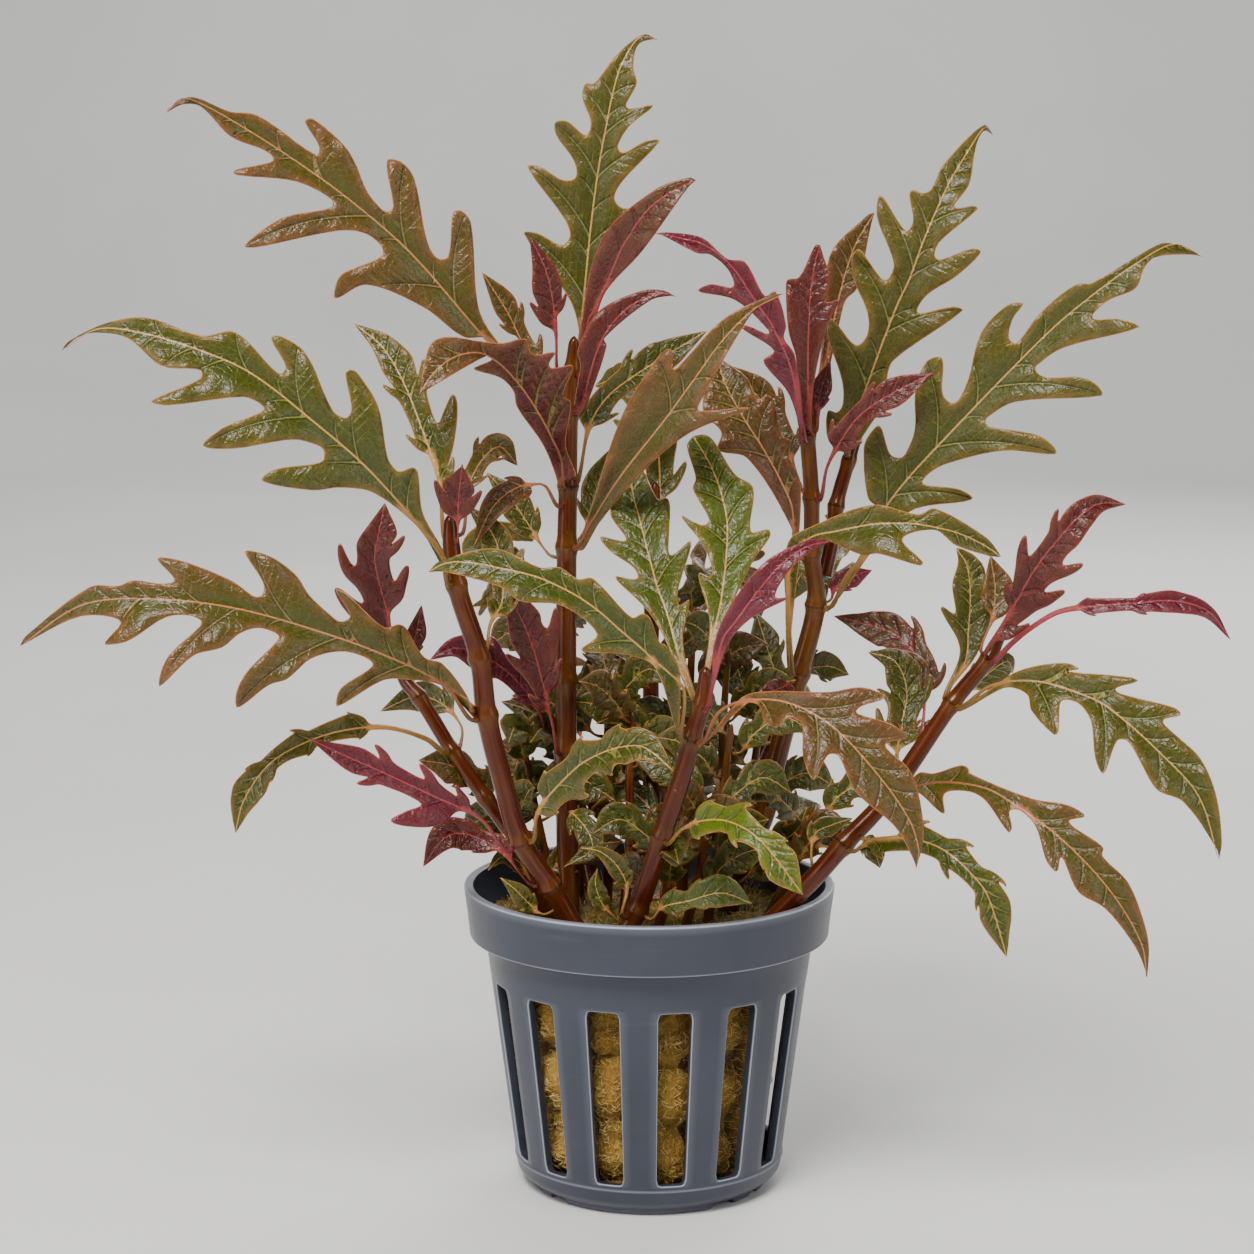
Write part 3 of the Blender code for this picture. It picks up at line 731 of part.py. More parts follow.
def make_lobed_leaf(name, stem, material, rib, left_lobes, right_lobes, notch):
    """A closed blade, thick along the midrib and thin at its edge."""
    frames = midrib_frames(leave_stem(stem, rib))
    length = frames[-1][0]
    edges = [blade_edge(length, lobes, notch) for lobes in (left_lobes, right_lobes)]
    feet = [feet_of(edge) for edge in edges]

    stations = [0.0]
    for foot in sorted(feet[0][1:] + feet[1][1:]):
        if foot - stations[-1] > 0.045 * length and foot < 0.95 * length:
            stations.append(foot)

    points = []
    for s in stations:
        place, left, normal, scale = frame_at(frames, s)
        thick = HALF_THICKNESS * (1.0 - 0.45 * s / length)
        points += [place + normal * thick, place - normal * thick]
    rims = []
    for edge, sign in zip(edges, (1.0, -1.0)):
        rim = []
        for s, w in edge:
            place, left, normal, scale = frame_at(frames, min(s, length))
            rim.append(len(points))
            points.append(place + (left * sign * math.cos(FOLD) + normal * math.sin(FOLD)) * w * scale)
        rims.append(rim)
    tip = len(points)
    points.append(frames[-1][1])

    faces = [(0, rims[0][0], 1, rims[1][0])]
    for rim, foot, sign in zip(rims, feet, (1, -1)):
        for upper in (0, 1):
            flip = (sign < 0) != (upper == 1)
            faces += zip_faces([2 * k + upper for k in range(len(stations))], stations, rim, foot, tip, flip)
    return add_object(name, points, faces, material)


def zip_faces(rib, stations, rim, feet, tip, flip):
    """Triangles between the midrib and one edge, in the order that the veins take."""
    faces = []
    i = j = 0
    while i < len(rib) - 1 or j < len(rim) - 1:
        rib_next = stations[i + 1] if i < len(rib) - 1 else math.inf
        rim_next = feet[j + 1] if j < len(rim) - 1 else math.inf
        if rib_next <= rim_next:
            faces.append((rib[i], rib[i + 1], rim[j]))
            i += 1
        else:
            faces.append((rib[i], rim[j + 1], rim[j]))
            j += 1
    faces.append((rib[-1], tip, rim[-1]))
    return [tuple(reversed(face)) for face in faces] if flip else faces


def blade_depth(path, x, z):
    """Depth of a blade behind an outline point: it leans back and folds up from the nearest midrib."""
    foot, reach = path[0], math.inf
    for a, b in zip(path, path[1:]):
        ahead = Vector((b.x - a.x, b.y - a.y))
        share = Vector((x - a.x, z - a.y)).dot(ahead) / max(ahead.length_squared, 1e-9)
        near = a.lerp(b, min(max(share, 0.0), 1.0))
        away = math.hypot(x - near.x, z - near.y)
        if away < reach:
            foot, reach = near, away
    return foot.z + LEAN * (z - foot.y) - math.tan(FOLD) * reach


def outline_loop(path, left_side, right_side):
    """The closed outline from the stalk up the left side, round the tip and down the right side."""
    base, tip = path[0].xy, path[-1].xy
    ahead = (path[1].xy - base).normalized()
    across = Vector((-ahead.y, ahead.x)) * PETIOLE_HALF_WIDTH
    left = [Vector(p) for p in left_side if (Vector(p) - tip).length > 0.5]
    right = [Vector(p) for p in right_side if (Vector(p) - tip).length > 0.5]
    return [base + across] + left + [tip] + right[::-1] + [base - across, base]


def make_outlined_leaf(name, stem, material, rib, left_side, right_side):
    """A closed blade cut to its outline: front and back faces with a thin rim between them."""
    path = smooth_path(leave_stem(stem, rib), 8)
    loop = outline_loop(path, left_side, right_side)
    tip = loop.index(path[-1].xy)
    stations = [path[0]]
    for place in path[1:-1]:
        if (place - stations[-1]).length > RIB_STEP and (place - path[-1]).length > 0.6 * RIB_STEP:
            stations.append(place)
    flat = loop + [place.xy for place in stations[1:]]
    spine = [len(loop) - 1] + list(range(len(loop), len(flat))) + [tip]
    edges = list(zip(spine, spine[1:]))
    flat, _, faces, _, _, _ = delaunay_2d_cdt(flat, edges, [tuple(range(len(loop)))], 1, 0.001)

    sides = {(a, b) for face in faces for a, b in zip(face, face[1:] + face[:1])}
    rim = [(a, b) for a, b in sides if (b, a) not in sides]
    on_rim = {a for a, b in rim}
    points = []
    for k, (x, z) in enumerate(flat):
        half = RIM_HALF_THICKNESS if k in on_rim else HALF_THICKNESS
        depth = blade_depth(path, x, z)
        points += [seen(x, z, depth - half), seen(x, z, depth + half)]
    shell = [tuple(2 * k for k in face) for face in faces]
    shell += [tuple(2 * k + 1 for k in reversed(face)) for face in faces]
    shell += [(2 * b, 2 * a, 2 * a + 1, 2 * b + 1) for a, b in sorted(rim)]
    leaf = add_object(name, points, shell, material)
    sharpen(leaf, 50.0)
    return leaf


def main():
    clear_scene()
    make_pot()
    make_rockwool()
    for name, rows in STEMS.items():
        make_stem(name, rows)
    for name, (stem, material, rib, *shape) in LEAVES.items():
        if name in OUTLINES:
            make_outlined_leaf(name, stem, material, rib, *OUTLINES[name])
        else:
            make_lobed_leaf(name, stem, material, rib, *shape)


main()
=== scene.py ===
"""Looks of the potted hygrophila pinnatifida: wet lobed leaves, stems, slotted pot and rockwool."""

import math

import bmesh
import bpy
import numpy as np
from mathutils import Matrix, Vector
from mathutils.geometry import delaunay_2d_cdt


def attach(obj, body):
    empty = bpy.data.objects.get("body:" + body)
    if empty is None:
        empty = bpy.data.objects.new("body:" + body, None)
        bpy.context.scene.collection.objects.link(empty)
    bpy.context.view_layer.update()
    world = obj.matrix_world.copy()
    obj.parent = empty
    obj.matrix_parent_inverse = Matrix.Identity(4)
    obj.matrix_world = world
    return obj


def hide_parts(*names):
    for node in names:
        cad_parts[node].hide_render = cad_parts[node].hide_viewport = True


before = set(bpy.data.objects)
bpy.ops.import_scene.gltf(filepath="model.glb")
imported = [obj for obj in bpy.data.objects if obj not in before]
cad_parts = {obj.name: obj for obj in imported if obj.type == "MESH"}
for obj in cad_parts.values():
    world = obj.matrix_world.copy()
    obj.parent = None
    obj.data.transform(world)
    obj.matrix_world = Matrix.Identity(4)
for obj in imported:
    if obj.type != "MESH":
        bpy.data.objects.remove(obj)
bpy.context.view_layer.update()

MM = 0.001

# Pot: outer radii and heights in millimetres, the foot standing on z = 0
POT_COLUMNS = 14
POT_TURN = math.radians(8.8)
SLOT_WIDTH = math.radians(12.0)
SLOT_LOW = 5.1
SLOT_HIGH = 31.7
FOOT_RADIUS = 17.8
BODY_LOW_RADIUS = 19.8
BODY_HIGH_RADIUS = 24.4
BAND_LOW = 37.9
BAND_RADIUS = 26.7
RIM_RADIUS = 27.5
POT_HEIGHT = 45.4
WALL = 1.4
LEDGE_HEIGHT = 38.5

# Rockwool plug: its flat top lies just under the rim
PLUG_TOP = 40.0
PLUG_PROFILE = [
    (1.8, 12.6), (4.5, 14.2), (7.5, 14.4), (10.8, 13.4), (13.5, 15.0), (16.8, 15.9),
    (19.8, 15.7), (22.5, 15.0), (25.2, 16.4), (28.5, 16.7), (32.5, 17.9), (36.5, 20.0), (38.6, 20.9),
]
PLUG_LIP = 24.8

# Leaves
VEIN_SLOPE = 0.87
STALK_HALF_WIDTH = 0.5
TIP_HALF_WIDTH = 2.8
LEAN = 0.35
FACE = Vector((0.0, -1.0, LEAN)).normalized()

# Outlines are (x, z) as seen on the plane y = 0 from this place in front of the pot
EYE = Vector((-3.3, -432.0, 150.0))

# How far a stem's or a leaf's colour leans to its amber or bronze side
STEM_TONES = {"stem_centre": 0.35, "stem_right_centre": 0.45, "stem_back": 0.3}
LEAF_TONES = {
    "leaf_left_large": 0.25, "leaf_left_upright": 0.3, "leaf_centre_low": 0.1, "leaf_left_narrow": 0.55,
    "leaf_top": 0.45, "leaf_right_tall": 0.6, "leaf_far_right": 0.45, "leaf_front_bright": -0.9,
    "leaf_left_arching": 0.1, "leaf_top_left": 0.2, "leaf_folded": 0.9, "leaf_centre_upright": 0.3,
    "leaf_top_young_right": 1.15, "leaf_right_back_wide": 1.3, "leaf_right_low_bronze": 0.3,
    "leaf_centre_arching": -0.15, "leaf_front_green_right": -0.45, "leaf_front_green_left": -0.3,
    "leaf_front_rim": -0.3, "leaf_right_low": -0.2, "leaf_right_drooping": 0.2,
}

# How red a leaf is from its stalk to its middle
LEAF_BLUSH = {
    "leaf_folded": 0.95, "leaf_top_young_right": 0.6, "leaf_right_brown_left": 0.55,
    "leaf_right_brown_back": 0.5, "leaf_centre_left_dark": 0.6, "leaf_right_low_bronze": 0.25,
}

# Each row is x, z, depth y, radius, and whether a leaf pair grows there
STEMS = {
    "stem_left_front": [
        (-10.0, 36.5, -15.5, 1.5, 0), (-14.6, 44.5, -16.5, 1.5, 1), (-19.0, 51.5, -18.0, 1.5, 1),
        (-21.8, 61.0, -20.0, 1.45, 0), (-24.0, 70.5, -21.0, 1.45, 1), (-25.0, 79.0, -22.0, 1.4, 1),
        (-28.3, 90.0, -23.0, 1.35, 1), (-29.0, 96.0, -23.0, 1.2, 0), (-29.1, 99.0, -23.0, 0.9, 0)],
    "stem_left": [
        (-13.5, 38.5, -6.5, 1.2, 0), (-20.5, 52.5, -5.0, 1.15, 0), (-24.2, 58.0, -4.0, 1.15, 1),
        (-29.0, 65.0, -2.0, 1.1, 1), (-33.9, 73.2, 0.0, 1.1, 1), (-35.8, 75.5, 1.0, 1.05, 0),
        (-37.5, 80.5, 3.0, 0.95, 0), (-38.2, 83.0, 4.0, 0.8, 0)],
    "stem_centre": [
        (-12.0, 40.0, 0.0, 1.65, 0), (-12.2, 53.0, 1.5, 1.6, 0), (-12.3, 65.0, 2.0, 1.6, 1),
        (-12.3, 75.6, 2.5, 1.55, 1), (-12.1, 95.5, 3.0, 1.45, 1), (-11.9, 104.5, 3.0, 1.35, 1),
        (-11.7, 115.0, 2.5, 1.3, 1), (-11.2, 121.5, 1.5, 1.1, 1), (-11.0, 125.0, 1.0, 0.8, 0)],
    "stem_front": [
        (-4.5, 36.0, -19.0, 1.45, 0), (-1.8, 41.0, -19.0, 1.45, 1), (1.9, 52.3, -22.0, 1.4, 1),
        (5.1, 62.3, -24.0, 1.35, 0), (6.3, 67.2, -25.0, 1.3, 1), (7.8, 72.3, -26.0, 1.2, 1),
        (8.2, 76.5, -26.5, 0.9, 0)],
    "stem_right_centre": [
        (11.6, 40.0, 4.0, 1.6, 0), (12.8, 46.0, 4.0, 1.6, 0), (16.9, 55.2, 4.0, 1.6, 0),
        (18.1, 61.2, 4.0, 1.6, 1), (22.0, 76.7, 4.0, 1.5, 1), (24.4, 87.0, 4.0, 1.4, 1),
        (23.7, 94.5, 1.5, 1.2, 1), (23.6, 102.7, 0.0, 1.15, 1), (22.9, 112.0, -1.0, 1.1, 1),
        (22.6, 117.5, -1.0, 0.8, 0)],
    "stem_right_centre_branch": [
        (25.6, 91.2, 7.0, 1.1, 0), (26.8, 97.3, 8.5, 1.1, 0), (27.2, 101.5, 9.5, 1.1, 1),
        (29.0, 108.2, 10.5, 1.0, 1), (30.3, 112.0, 11.5, 0.75, 0)],
    "stem_right": [
        (17.0, 38.0, -11.5, 1.4, 0), (25.0, 46.5, -15.0, 1.4, 0), (28.8, 51.0, -15.0, 1.4, 1),
        (33.9, 56.5, -14.0, 1.3, 0), (37.2, 61.0, -13.5, 1.3, 1), (44.6, 72.3, -12.0, 1.2, 1),
        (49.8, 78.9, -12.0, 1.1, 1), (51.4, 82.0, -12.0, 0.8, 0)],
    "stem_back": [
        (0.4, 41.5, 12.0, 1.3, 0), (0.5, 60.0, 13.0, 1.3, 1), (0.2, 78.0, 14.0, 1.2, 1),
        (0.6, 95.0, 15.0, 1.1, 1), (0.8, 104.0, 15.5, 0.75, 0)],
    "stem_back_left": [
        (-8.0, 42.0, 15.0, 1.3, 0), (-10.5, 56.0, 21.0, 1.25, 1), (-14.5, 70.0, 27.0, 1.15, 1),
        (-18.5, 84.0, 31.0, 1.05, 1), (-19.5, 89.0, 32.0, 0.75, 0)],
    "stem_back_right": [
        (9.0, 42.0, 15.0, 1.3, 0), (13.5, 56.0, 20.0, 1.25, 1), (19.0, 70.0, 25.0, 1.15, 1),
        (24.0, 84.0, 29.0, 1.05, 1), (25.5, 89.0, 30.0, 0.75, 0)],
}

# Each leaf: stem, finish, midrib from stem to tip as (x, z, depth y). A leaf without an outline of
# its own adds the lobes on either side as (percent of the midrib at the lobe tip, reach from the
# midrib) and how deep the notches between them are
LEAVES = {
    "leaf_left_large": ("stem_left_front", "leaf_green", [
        (-28.3, 90.3, -23), (-30.5, 94.2, -26), (-40.4, 106.3, -32), (-49.0, 114.0, -35), (-58.0, 121.0, -36),
        (-66.0, 124.5, -36), (-74.0, 126.8, -35), (-80.0, 127.2, -33), (-85.2, 124.0, -30)]),
    "leaf_left_upright": ("stem_left_front", "leaf_green", [
        (-28.9, 96.5, -23), (-30.7, 105.3, -20), (-33, 112.5, -18), (-35.6, 119.3, -16), (-38.6, 124.5, -14),
        (-42.7, 128.0, -12)],
        [(48, 2.6), (70, 3.0)], [(34, 3.0), (56, 6.2), (72, 4.2)], 0.5),
    "leaf_left_arching": ("stem_left_front", "leaf_bronze", [
        (-24.1, 70.5, -21), (-30.0, 74.8, -26), (-39.0, 79.5, -31), (-50.0, 83.5, -36), (-61.0, 86.5, -39),
        (-72.0, 87.8, -40), (-83.0, 87.0, -38), (-92.5, 80.8, -34)]),
    "leaf_centre_low": ("stem_left_front", "leaf_green", [
        (-19.0, 51.5, -18), (-16.5, 56.0, -24), (-11.0, 62.4, -30), (-7.3, 64.7, -34), (-3.6, 65.8, -37),
        (-0.6, 65.6, -39), (3.6, 62.1, -41)],
        [(39, 3.0), (61, 3.5), (78, 3.4)], [(31, 2.8), (50, 4.6), (73, 4.0)], 0.86),
    "leaf_left_magenta": ("stem_left_front", "leaf_magenta", [
        (-19.0, 51.2, -18), (-24.8, 54.7, -22), (-32.8, 58.7, -26), (-39.2, 61.8, -28), (-45.8, 64.8, -30),
        (-50.2, 67.0, -31)],
        [(58, 6.2), (77, 3.2)], [(40, 2.8), (57, 3.6), (76, 3.4)], 0.45),
    "leaf_left_low": ("stem_left_front", "leaf_red", [
        (-14.8, 45.2, -16.5), (-21.5, 49.5, -15), (-24.8, 51.7, -14), (-28.1, 52.7, -14), (-30.6, 51.8, -15),
        (-33.6, 47.6, -16)],
        [(56, 2.4)], [(46, 2.6), (66, 2.4)], 0.86),
    "leaf_left_apex": ("stem_left_front", "leaf_red", [
        (-28.9, 96.2, -23), (-27.9, 102.0, -27), (-27.3, 107.4, -28)],
        [(81, 3.8)], [(77, 3.4)], 0.5),
    "leaf_centre_left_dark": ("stem_centre", "leaf_bronze", [
        (-11.9, 101.2, 3), (-15.2, 104.4, -2), (-17.3, 104.7, -5), (-20.2, 103.7, -8), (-23.0, 101.1, -10),
        (-25.8, 95.3, -12)],
        [(55, 2.4)], [(57, 2.2)], 0.7),
    "leaf_centre_red": ("stem_centre", "leaf_red", [
        (-12.4, 65.2, 2), (-14.4, 69.8, -3), (-15.7, 75.3, -5), (-17.4, 81.4, -6), (-19.7, 86.5, -7),
        (-22.5, 89.9, -8)],
        [(43, 2.6), (66, 4.2)], [(56, 3.6), (77, 5.4)], 0.5),
    "leaf_centre_left_long": ("stem_centre", "leaf_magenta", [
        (-12.3, 66.5, 2), (-16.1, 70.8, 4), (-18.6, 74.6, 4), (-21.7, 77.6, 2), (-24.9, 79.5, -1),
        (-28.6, 80.5, -3), (-32.3, 78.8, -4)],
        [(37, 2.4), (66, 3.2)], [(42, 2.6), (69, 3.2)], 0.6),
    "leaf_left_narrow": ("stem_left", "leaf_green", [
        (-29.0, 65.0, -2), (-33.0, 67.0, -6), (-39.0, 68.7, -11), (-46.0, 68.0, -16), (-51.6, 66.0, -19),
        (-56.4, 62.9, -22), (-60.0, 57.7, -23), (-61.4, 52.7, -23)],
        [(43, 1.8), (63, 2.2), (79, 2.2)], [(45, 2.6), (64, 2.6), (81, 2.2)], 0.86),
    "leaf_left_red": ("stem_left", "leaf_red", [
        (-36.6, 77.5, 2), (-37.4, 81.0, 0), (-38.5, 86.0, -1), (-39.6, 90.3, -2), (-40.2, 94.0, -3),
        (-39.5, 97.7, -4), (-38.6, 102.0, -4)],
        [(56, 6.6), (73, 5.4)], [(61, 4.8), (85, 4.0)], 0.5),
    "leaf_top_left": ("stem_centre", "leaf_bronze", [
        (-11.7, 114.8, 2.5), (-15.9, 118.0, -2), (-23.8, 125.9, -5), (-34.4, 138.1, -7), (-43.1, 145.7, -9),
        (-50.7, 151.2, -10), (-58.5, 156.2, -12), (-64.3, 159.4, -14), (-67, 160, -17), (-69.2, 158, -20)]),
    "leaf_top_left_small": ("stem_centre", "leaf_bronze", [
        (-11.7, 115.5, 2.5), (-18.9, 126.2, 7), (-20.5, 129.5, 7), (-24.2, 135.4, 7)],
        [(68, 2.0)], [(51, 3.0), (73, 2.6)], 0.6),
    "leaf_top": ("stem_centre", "leaf_green", [
        (-11.2, 121.0, 1.5), (-10.1, 126.0, 5), (-9.4, 133.1, 6), (-8.6, 141.1, 6), (-7.6, 148.8, 5),
        (-6.4, 155.6, 4), (-4.7, 163.2, 4), (-2.9, 167.0, 5), (-1.3, 168.7, 7), (1.3, 168.2, 11)]),
    "leaf_top_young_right": ("stem_centre", "leaf_red", [
        (-11.2, 121, 1.5), (-9.1, 127.8, -1.8), (-7.8, 130.7, -2.8), (-6.5, 133.3, -3.8),
        (-5.3, 136, -5), (-4.2, 138.6, -6.2), (-2.7, 141.1, -7.6), (-0.7, 143.9, -9),
        (1.7, 146, -10), (4.3, 147.5, -10), (6.6, 148.5, -10)]),
    "leaf_top_young_left": ("stem_centre", "leaf_red", [
        (-11.3, 120.5, 1.5), (-13.6, 127.7, -2), (-14.8, 135.0, -3), (-17.3, 140.6, -3)],
        [(59, 3.4)], [(61, 2.2)], 0.6),
    "leaf_top_young_low": ("stem_centre", "leaf_red", [
        (-11.7, 115.6, 2.5), (-9.7, 116.7, -1.5), (-8.7, 120.6, -4), (-7.6, 124.2, -5),
        (-6.3, 126.8, -5.4), (-4.6, 129, -5.6), (-2.6, 130.7, -5.8), (-0.3, 131.8, -6),
        (2, 132.4, -6), (3.9, 131.8, -6)]),
    "leaf_folded": ("stem_centre", "leaf_bronze", [
        (-11.9, 104.5, 3), (-12.8, 108, -0.8), (-14.1, 111.2, -4.5), (-15.8, 114.5, -7.4),
        (-17.8, 117.7, -10.2), (-20, 120.5, -13.4), (-22.1, 122.5, -16.4), (-24.6, 123.8, -19.8),
        (-27.5, 123.5, -22.7), (-29.9, 122.2, -25.1), (-31.8, 120.3, -26), (-33.5, 117.7, -27)]),
    "leaf_centre_upright": ("stem_centre", "leaf_bronze", [
        (-12, 95.6, 3), (-8.7, 98.7, -1.7), (-6.5, 102.4, -6.1), (-4.3, 105.8, -9.5),
        (-2.1, 108.7, -11.3), (0.3, 111.7, -13.2), (2.7, 114.8, -14.7), (5, 118, -16),
        (7.3, 121.2, -17.1), (9.7, 124.6, -17.5), (12.5, 127.8, -18), (15.5, 130.4, -18),
        (19.4, 132.3, -18)]),
    "leaf_centre_arching": ("stem_front", "leaf_green", [
        (6.3, 67.2, -25), (5.1, 74.3, -31.5), (2.7, 77, -33.5), (0.8, 78.6, -34.6),
        (-1.4, 80.7, -35.6), (-4.3, 83.2, -36.7), (-7.3, 85.9, -37.8), (-10.2, 88, -38),
        (-13.1, 89.6, -38), (-16, 90.9, -38), (-19, 91.8, -37.9), (-21.9, 92.4, -37.2),
        (-24.8, 93, -36.6), (-27.7, 93.3, -36), (-29.9, 93.1, -35.6), (-32.4, 91.8, -35)]),
    "leaf_front_red": ("stem_front", "leaf_magenta", [
        (7.8, 72.3, -26), (10.7, 81.7, -30.7), (12.7, 84.6, -31.9), (14.7, 87.4, -32.6),
        (16.9, 90.3, -33), (19.1, 92.8, -33), (21.3, 94.6, -32.4), (23.7, 95.8, -31.8),
        (26.9, 96.4, -31)]),
    "leaf_front_green_left": ("stem_front", "leaf_green", [
        (7.7, 71.8, -26), (4, 80.5, -18.9), (3.2, 83.5, -17.1), (2.3, 86.5, -15.5),
        (1.2, 89.4, -13.6), (0.2, 93.1, -10.4), (-0.7, 96.5, -8.1), (-1.5, 99.8, -6),
        (-2.3, 102.7, -4), (-2.7, 105.6, -1.8), (-2.6, 108.5, 0)]),
    "leaf_front_green_right": ("stem_front", "leaf_green", [
        (7.9, 72.5, -26), (9, 81.4, -19.7), (9.8, 84.4, -18.2), (10.5, 87.7, -16.2),
        (11, 91.8, -13.6), (11.3, 95.8, -11.2), (11.3, 99.2, -9.8), (10.7, 102.4, -8.5),
        (9.8, 105.3, -7.2), (8.5, 108.2, -6.2), (6.3, 111.7, -5)]),
    "leaf_right_low_bronze": ("stem_front", "leaf_bronze", [
        (6.3, 67.2, -25), (10.3, 71.0, -30), (15.0, 72.8, -34), (20.7, 72.3, -38), (26.9, 68.9, -41),
        (33.2, 62.3, -43), (38.4, 55.0, -44), (40.0, 50.2, -44), (39.7, 47.3, -43)]),
    "leaf_front_bright": ("stem_front", "leaf_green", [
        (1.9, 52.3, -22), (4.7, 53.2, -28), (7.1, 54.4, -32), (10.6, 54.7, -36), (14.0, 53.5, -40),
        (17.0, 51.1, -42), (22.9, 43.3, -44)],
        [(45, 3.0), (63, 3.6), (80, 3.0)], [(38, 2.8), (68, 3.2), (83, 2.6)], 0.86),
    "leaf_front_rim": ("stem_front", "leaf_green", [
        (-1.8, 41.0, -19), (1.9, 41.4, -22), (5.9, 42.4, -24), (10.7, 43.6, -25), (15.3, 42.0, -23)],
        [(40, 2.4), (62, 2.6)], [(37, 2.0), (61, 2.0)], 0.86),
    "leaf_right_red_upright": ("stem_right_centre", "leaf_red", [
        (22.9, 112.5, -1), (23, 117, -3.4), (22.9, 121.3, -3.8), (22.9, 125.7, -4.2),
        (23, 128.5, -4.4), (23.1, 131.4, -4.4), (23.4, 134.3, -4.2), (23.8, 136.9, -4.1),
        (24.5, 139.3, -4)]),
    "leaf_right_grey": ("stem_right_centre", "leaf_magenta", [
        (22.9, 111, -1), (22.3, 113, -5.2), (21.4, 117, -7), (20.8, 120.2, -7.8), (19.9, 123.1, -8.6),
        (18.7, 125.7, -9.2), (17.4, 128.2, -9.9), (15.6, 130.7, -10.6), (13.7, 133.6, -11.3),
        (12, 136, -11.6), (9.8, 138.1, -12.5), (7.2, 139.6, -13.2), (4.3, 140.3, -13.5),
        (2.2, 140.7, -13.8), (0.6, 140.9, -14)]),
    "leaf_right_brown_back": ("stem_right_centre", "leaf_bronze", [
        (23, 112, -1), (24.4, 117.7, 2.7), (25.5, 122.8, 5.3), (26.3, 127.1, 7), (27.2, 131.4, 7.7),
        (28.3, 135.7, 7.8), (29.9, 140, 7.4), (32.3, 143.9, 7)]),
    "leaf_right_brown_left": ("stem_right_centre", "leaf_bronze", [
        (23.7, 94.5, 1.5), (20.8, 101.2, -1.5), (19.1, 105.2, -2), (17.5, 108.2, -2),
        (15.9, 110.9, -2), (14.3, 113.3, -1.7), (12.5, 116.3, -0.8), (10.9, 119.4, 0.1),
        (9.7, 123.3, 2)]),
    "leaf_right_tall": ("stem_right_centre_branch", "leaf_green", [
        (29.0, 108.4, 10.5), (30.0, 114.5, 7), (31.6, 119.4, 5), (33.6, 125.1, 3), (35.7, 130.7, 2),
        (37.4, 134.4, 1), (39.4, 140.0, 0), (41.4, 144.8, 0), (43.0, 148.3, 1), (45.1, 151.9, 3),
        (47.9, 156.0, 6), (49.2, 154.8, 9)]),
    "leaf_far_right": ("stem_right_centre", "leaf_green", [
        (24.4, 87.2, 4), (28.6, 90.9, 0), (31.5, 94.6, -2), (34.2, 100.9, -4), (37.9, 105.9, -6),
        (43.2, 111.7, -9), (50.9, 119.9, -12), (58.4, 127.5, -14), (64.1, 132.3, -16), (70.0, 136.6, -17),
        (75.4, 139.4, -15), (79.7, 137.6, -12)]),
    "leaf_right_red_fold": ("stem_right_centre", "leaf_red", [
        (23.6, 102.9, 0), (25.8, 107.1, -5), (27.6, 110.7, -8), (30.2, 114.4, -10), (34.1, 117.3, -12),
        (41.3, 121.0, -13)],
        [(50, 2.8), (74, 2.8)], [(50, 2.8), (74, 2.8)], 0.6),
    "leaf_right_arching": ("stem_right_centre", "leaf_green", [
        (22, 76.7, 4), (20.4, 90.6, -10.4), (21.3, 94.6, -13.5), (23.7, 97, -16.2),
        (27.1, 97.8, -18.5), (30, 98.4, -19.8), (32.9, 98.9, -21), (35.8, 99, -21.5),
        (38.7, 98.9, -22), (41.7, 98.4, -22), (44.6, 97.7, -21.6), (47.5, 96.5, -20.9),
        (49.8, 95.2, -20.4), (51.4, 94, -20)]),
    "leaf_far_right_red": ("stem_right", "leaf_red", [
        (49.9, 79.2, -12), (53.0, 86.0, -15), (56.5, 92.4, -18), (60.8, 98.0, -20), (62.9, 100.2, -20),
        (65.5, 101.8, -19), (69.5, 101.8, -17)],
        [(38, 2.8), (57, 4.2), (73, 3.0)], [(26, 3.4), (48, 5.5), (63, 5.3)], 0.5),
    "leaf_far_right_thin": ("stem_right", "leaf_magenta", [
        (49.8, 78.8, -12), (53.2, 81.2, -16), (56.7, 84.0, -20), (60.3, 86.0, -22), (65.9, 86.8, -24),
        (71.3, 87.2, -25), (76.9, 87.5, -25), (81.8, 86.0, -25), (85.4, 81.7, -24)],
        [(48, 1.4), (66, 1.4)], [(50, 1.6), (66, 2.0)], 0.75),
    "leaf_right_green_upright": ("stem_right", "leaf_green", [
        (44.6, 72.4, -12), (46.5, 78.8, -7.2), (46.8, 83.2, -5.7), (47, 86.9, -4.8),
        (46.9, 89.9, -4.2), (46.3, 93.1, -4), (44.8, 95.3, -4)]),
    "leaf_far_right_drooping": ("stem_right", "leaf_green", [
        (44.6, 72.2, -12), (50.3, 74.9, -17), (56.9, 75.6, -21), (64.3, 73.4, -25), (68.0, 71.4, -27),
        (75.6, 64.7, -30), (81.4, 58.2, -32), (84.6, 48.6, -32)]),
    "leaf_right_drooping": ("stem_right", "leaf_bronze", [
        (37.2, 61.0, -13.5), (42.4, 60.4, -17), (46.7, 60.2, -21), (50.4, 59.3, -24), (54.0, 57.1, -27),
        (61.2, 51.8, -31), (68.7, 43.8, -33), (73.5, 35.7, -33), (74.4, 30.0, -32)]),
    "leaf_right_low": ("stem_right", "leaf_green", [
        (28.8, 51.0, -15), (32.6, 51.6, -18), (36.2, 52.0, -21), (40.5, 51.5, -24), (44.1, 49.9, -27),
        (47.7, 46.7, -29), (50.3, 43.3, -30), (53.4, 33.8, -30)],
        [(40, 3.2), (58, 3.2), (74, 3.2)], [(23, 3.2), (60, 3.2), (78, 2.6)], 0.7),
    "leaf_right_back_wide": ("stem_right", "leaf_magenta", [
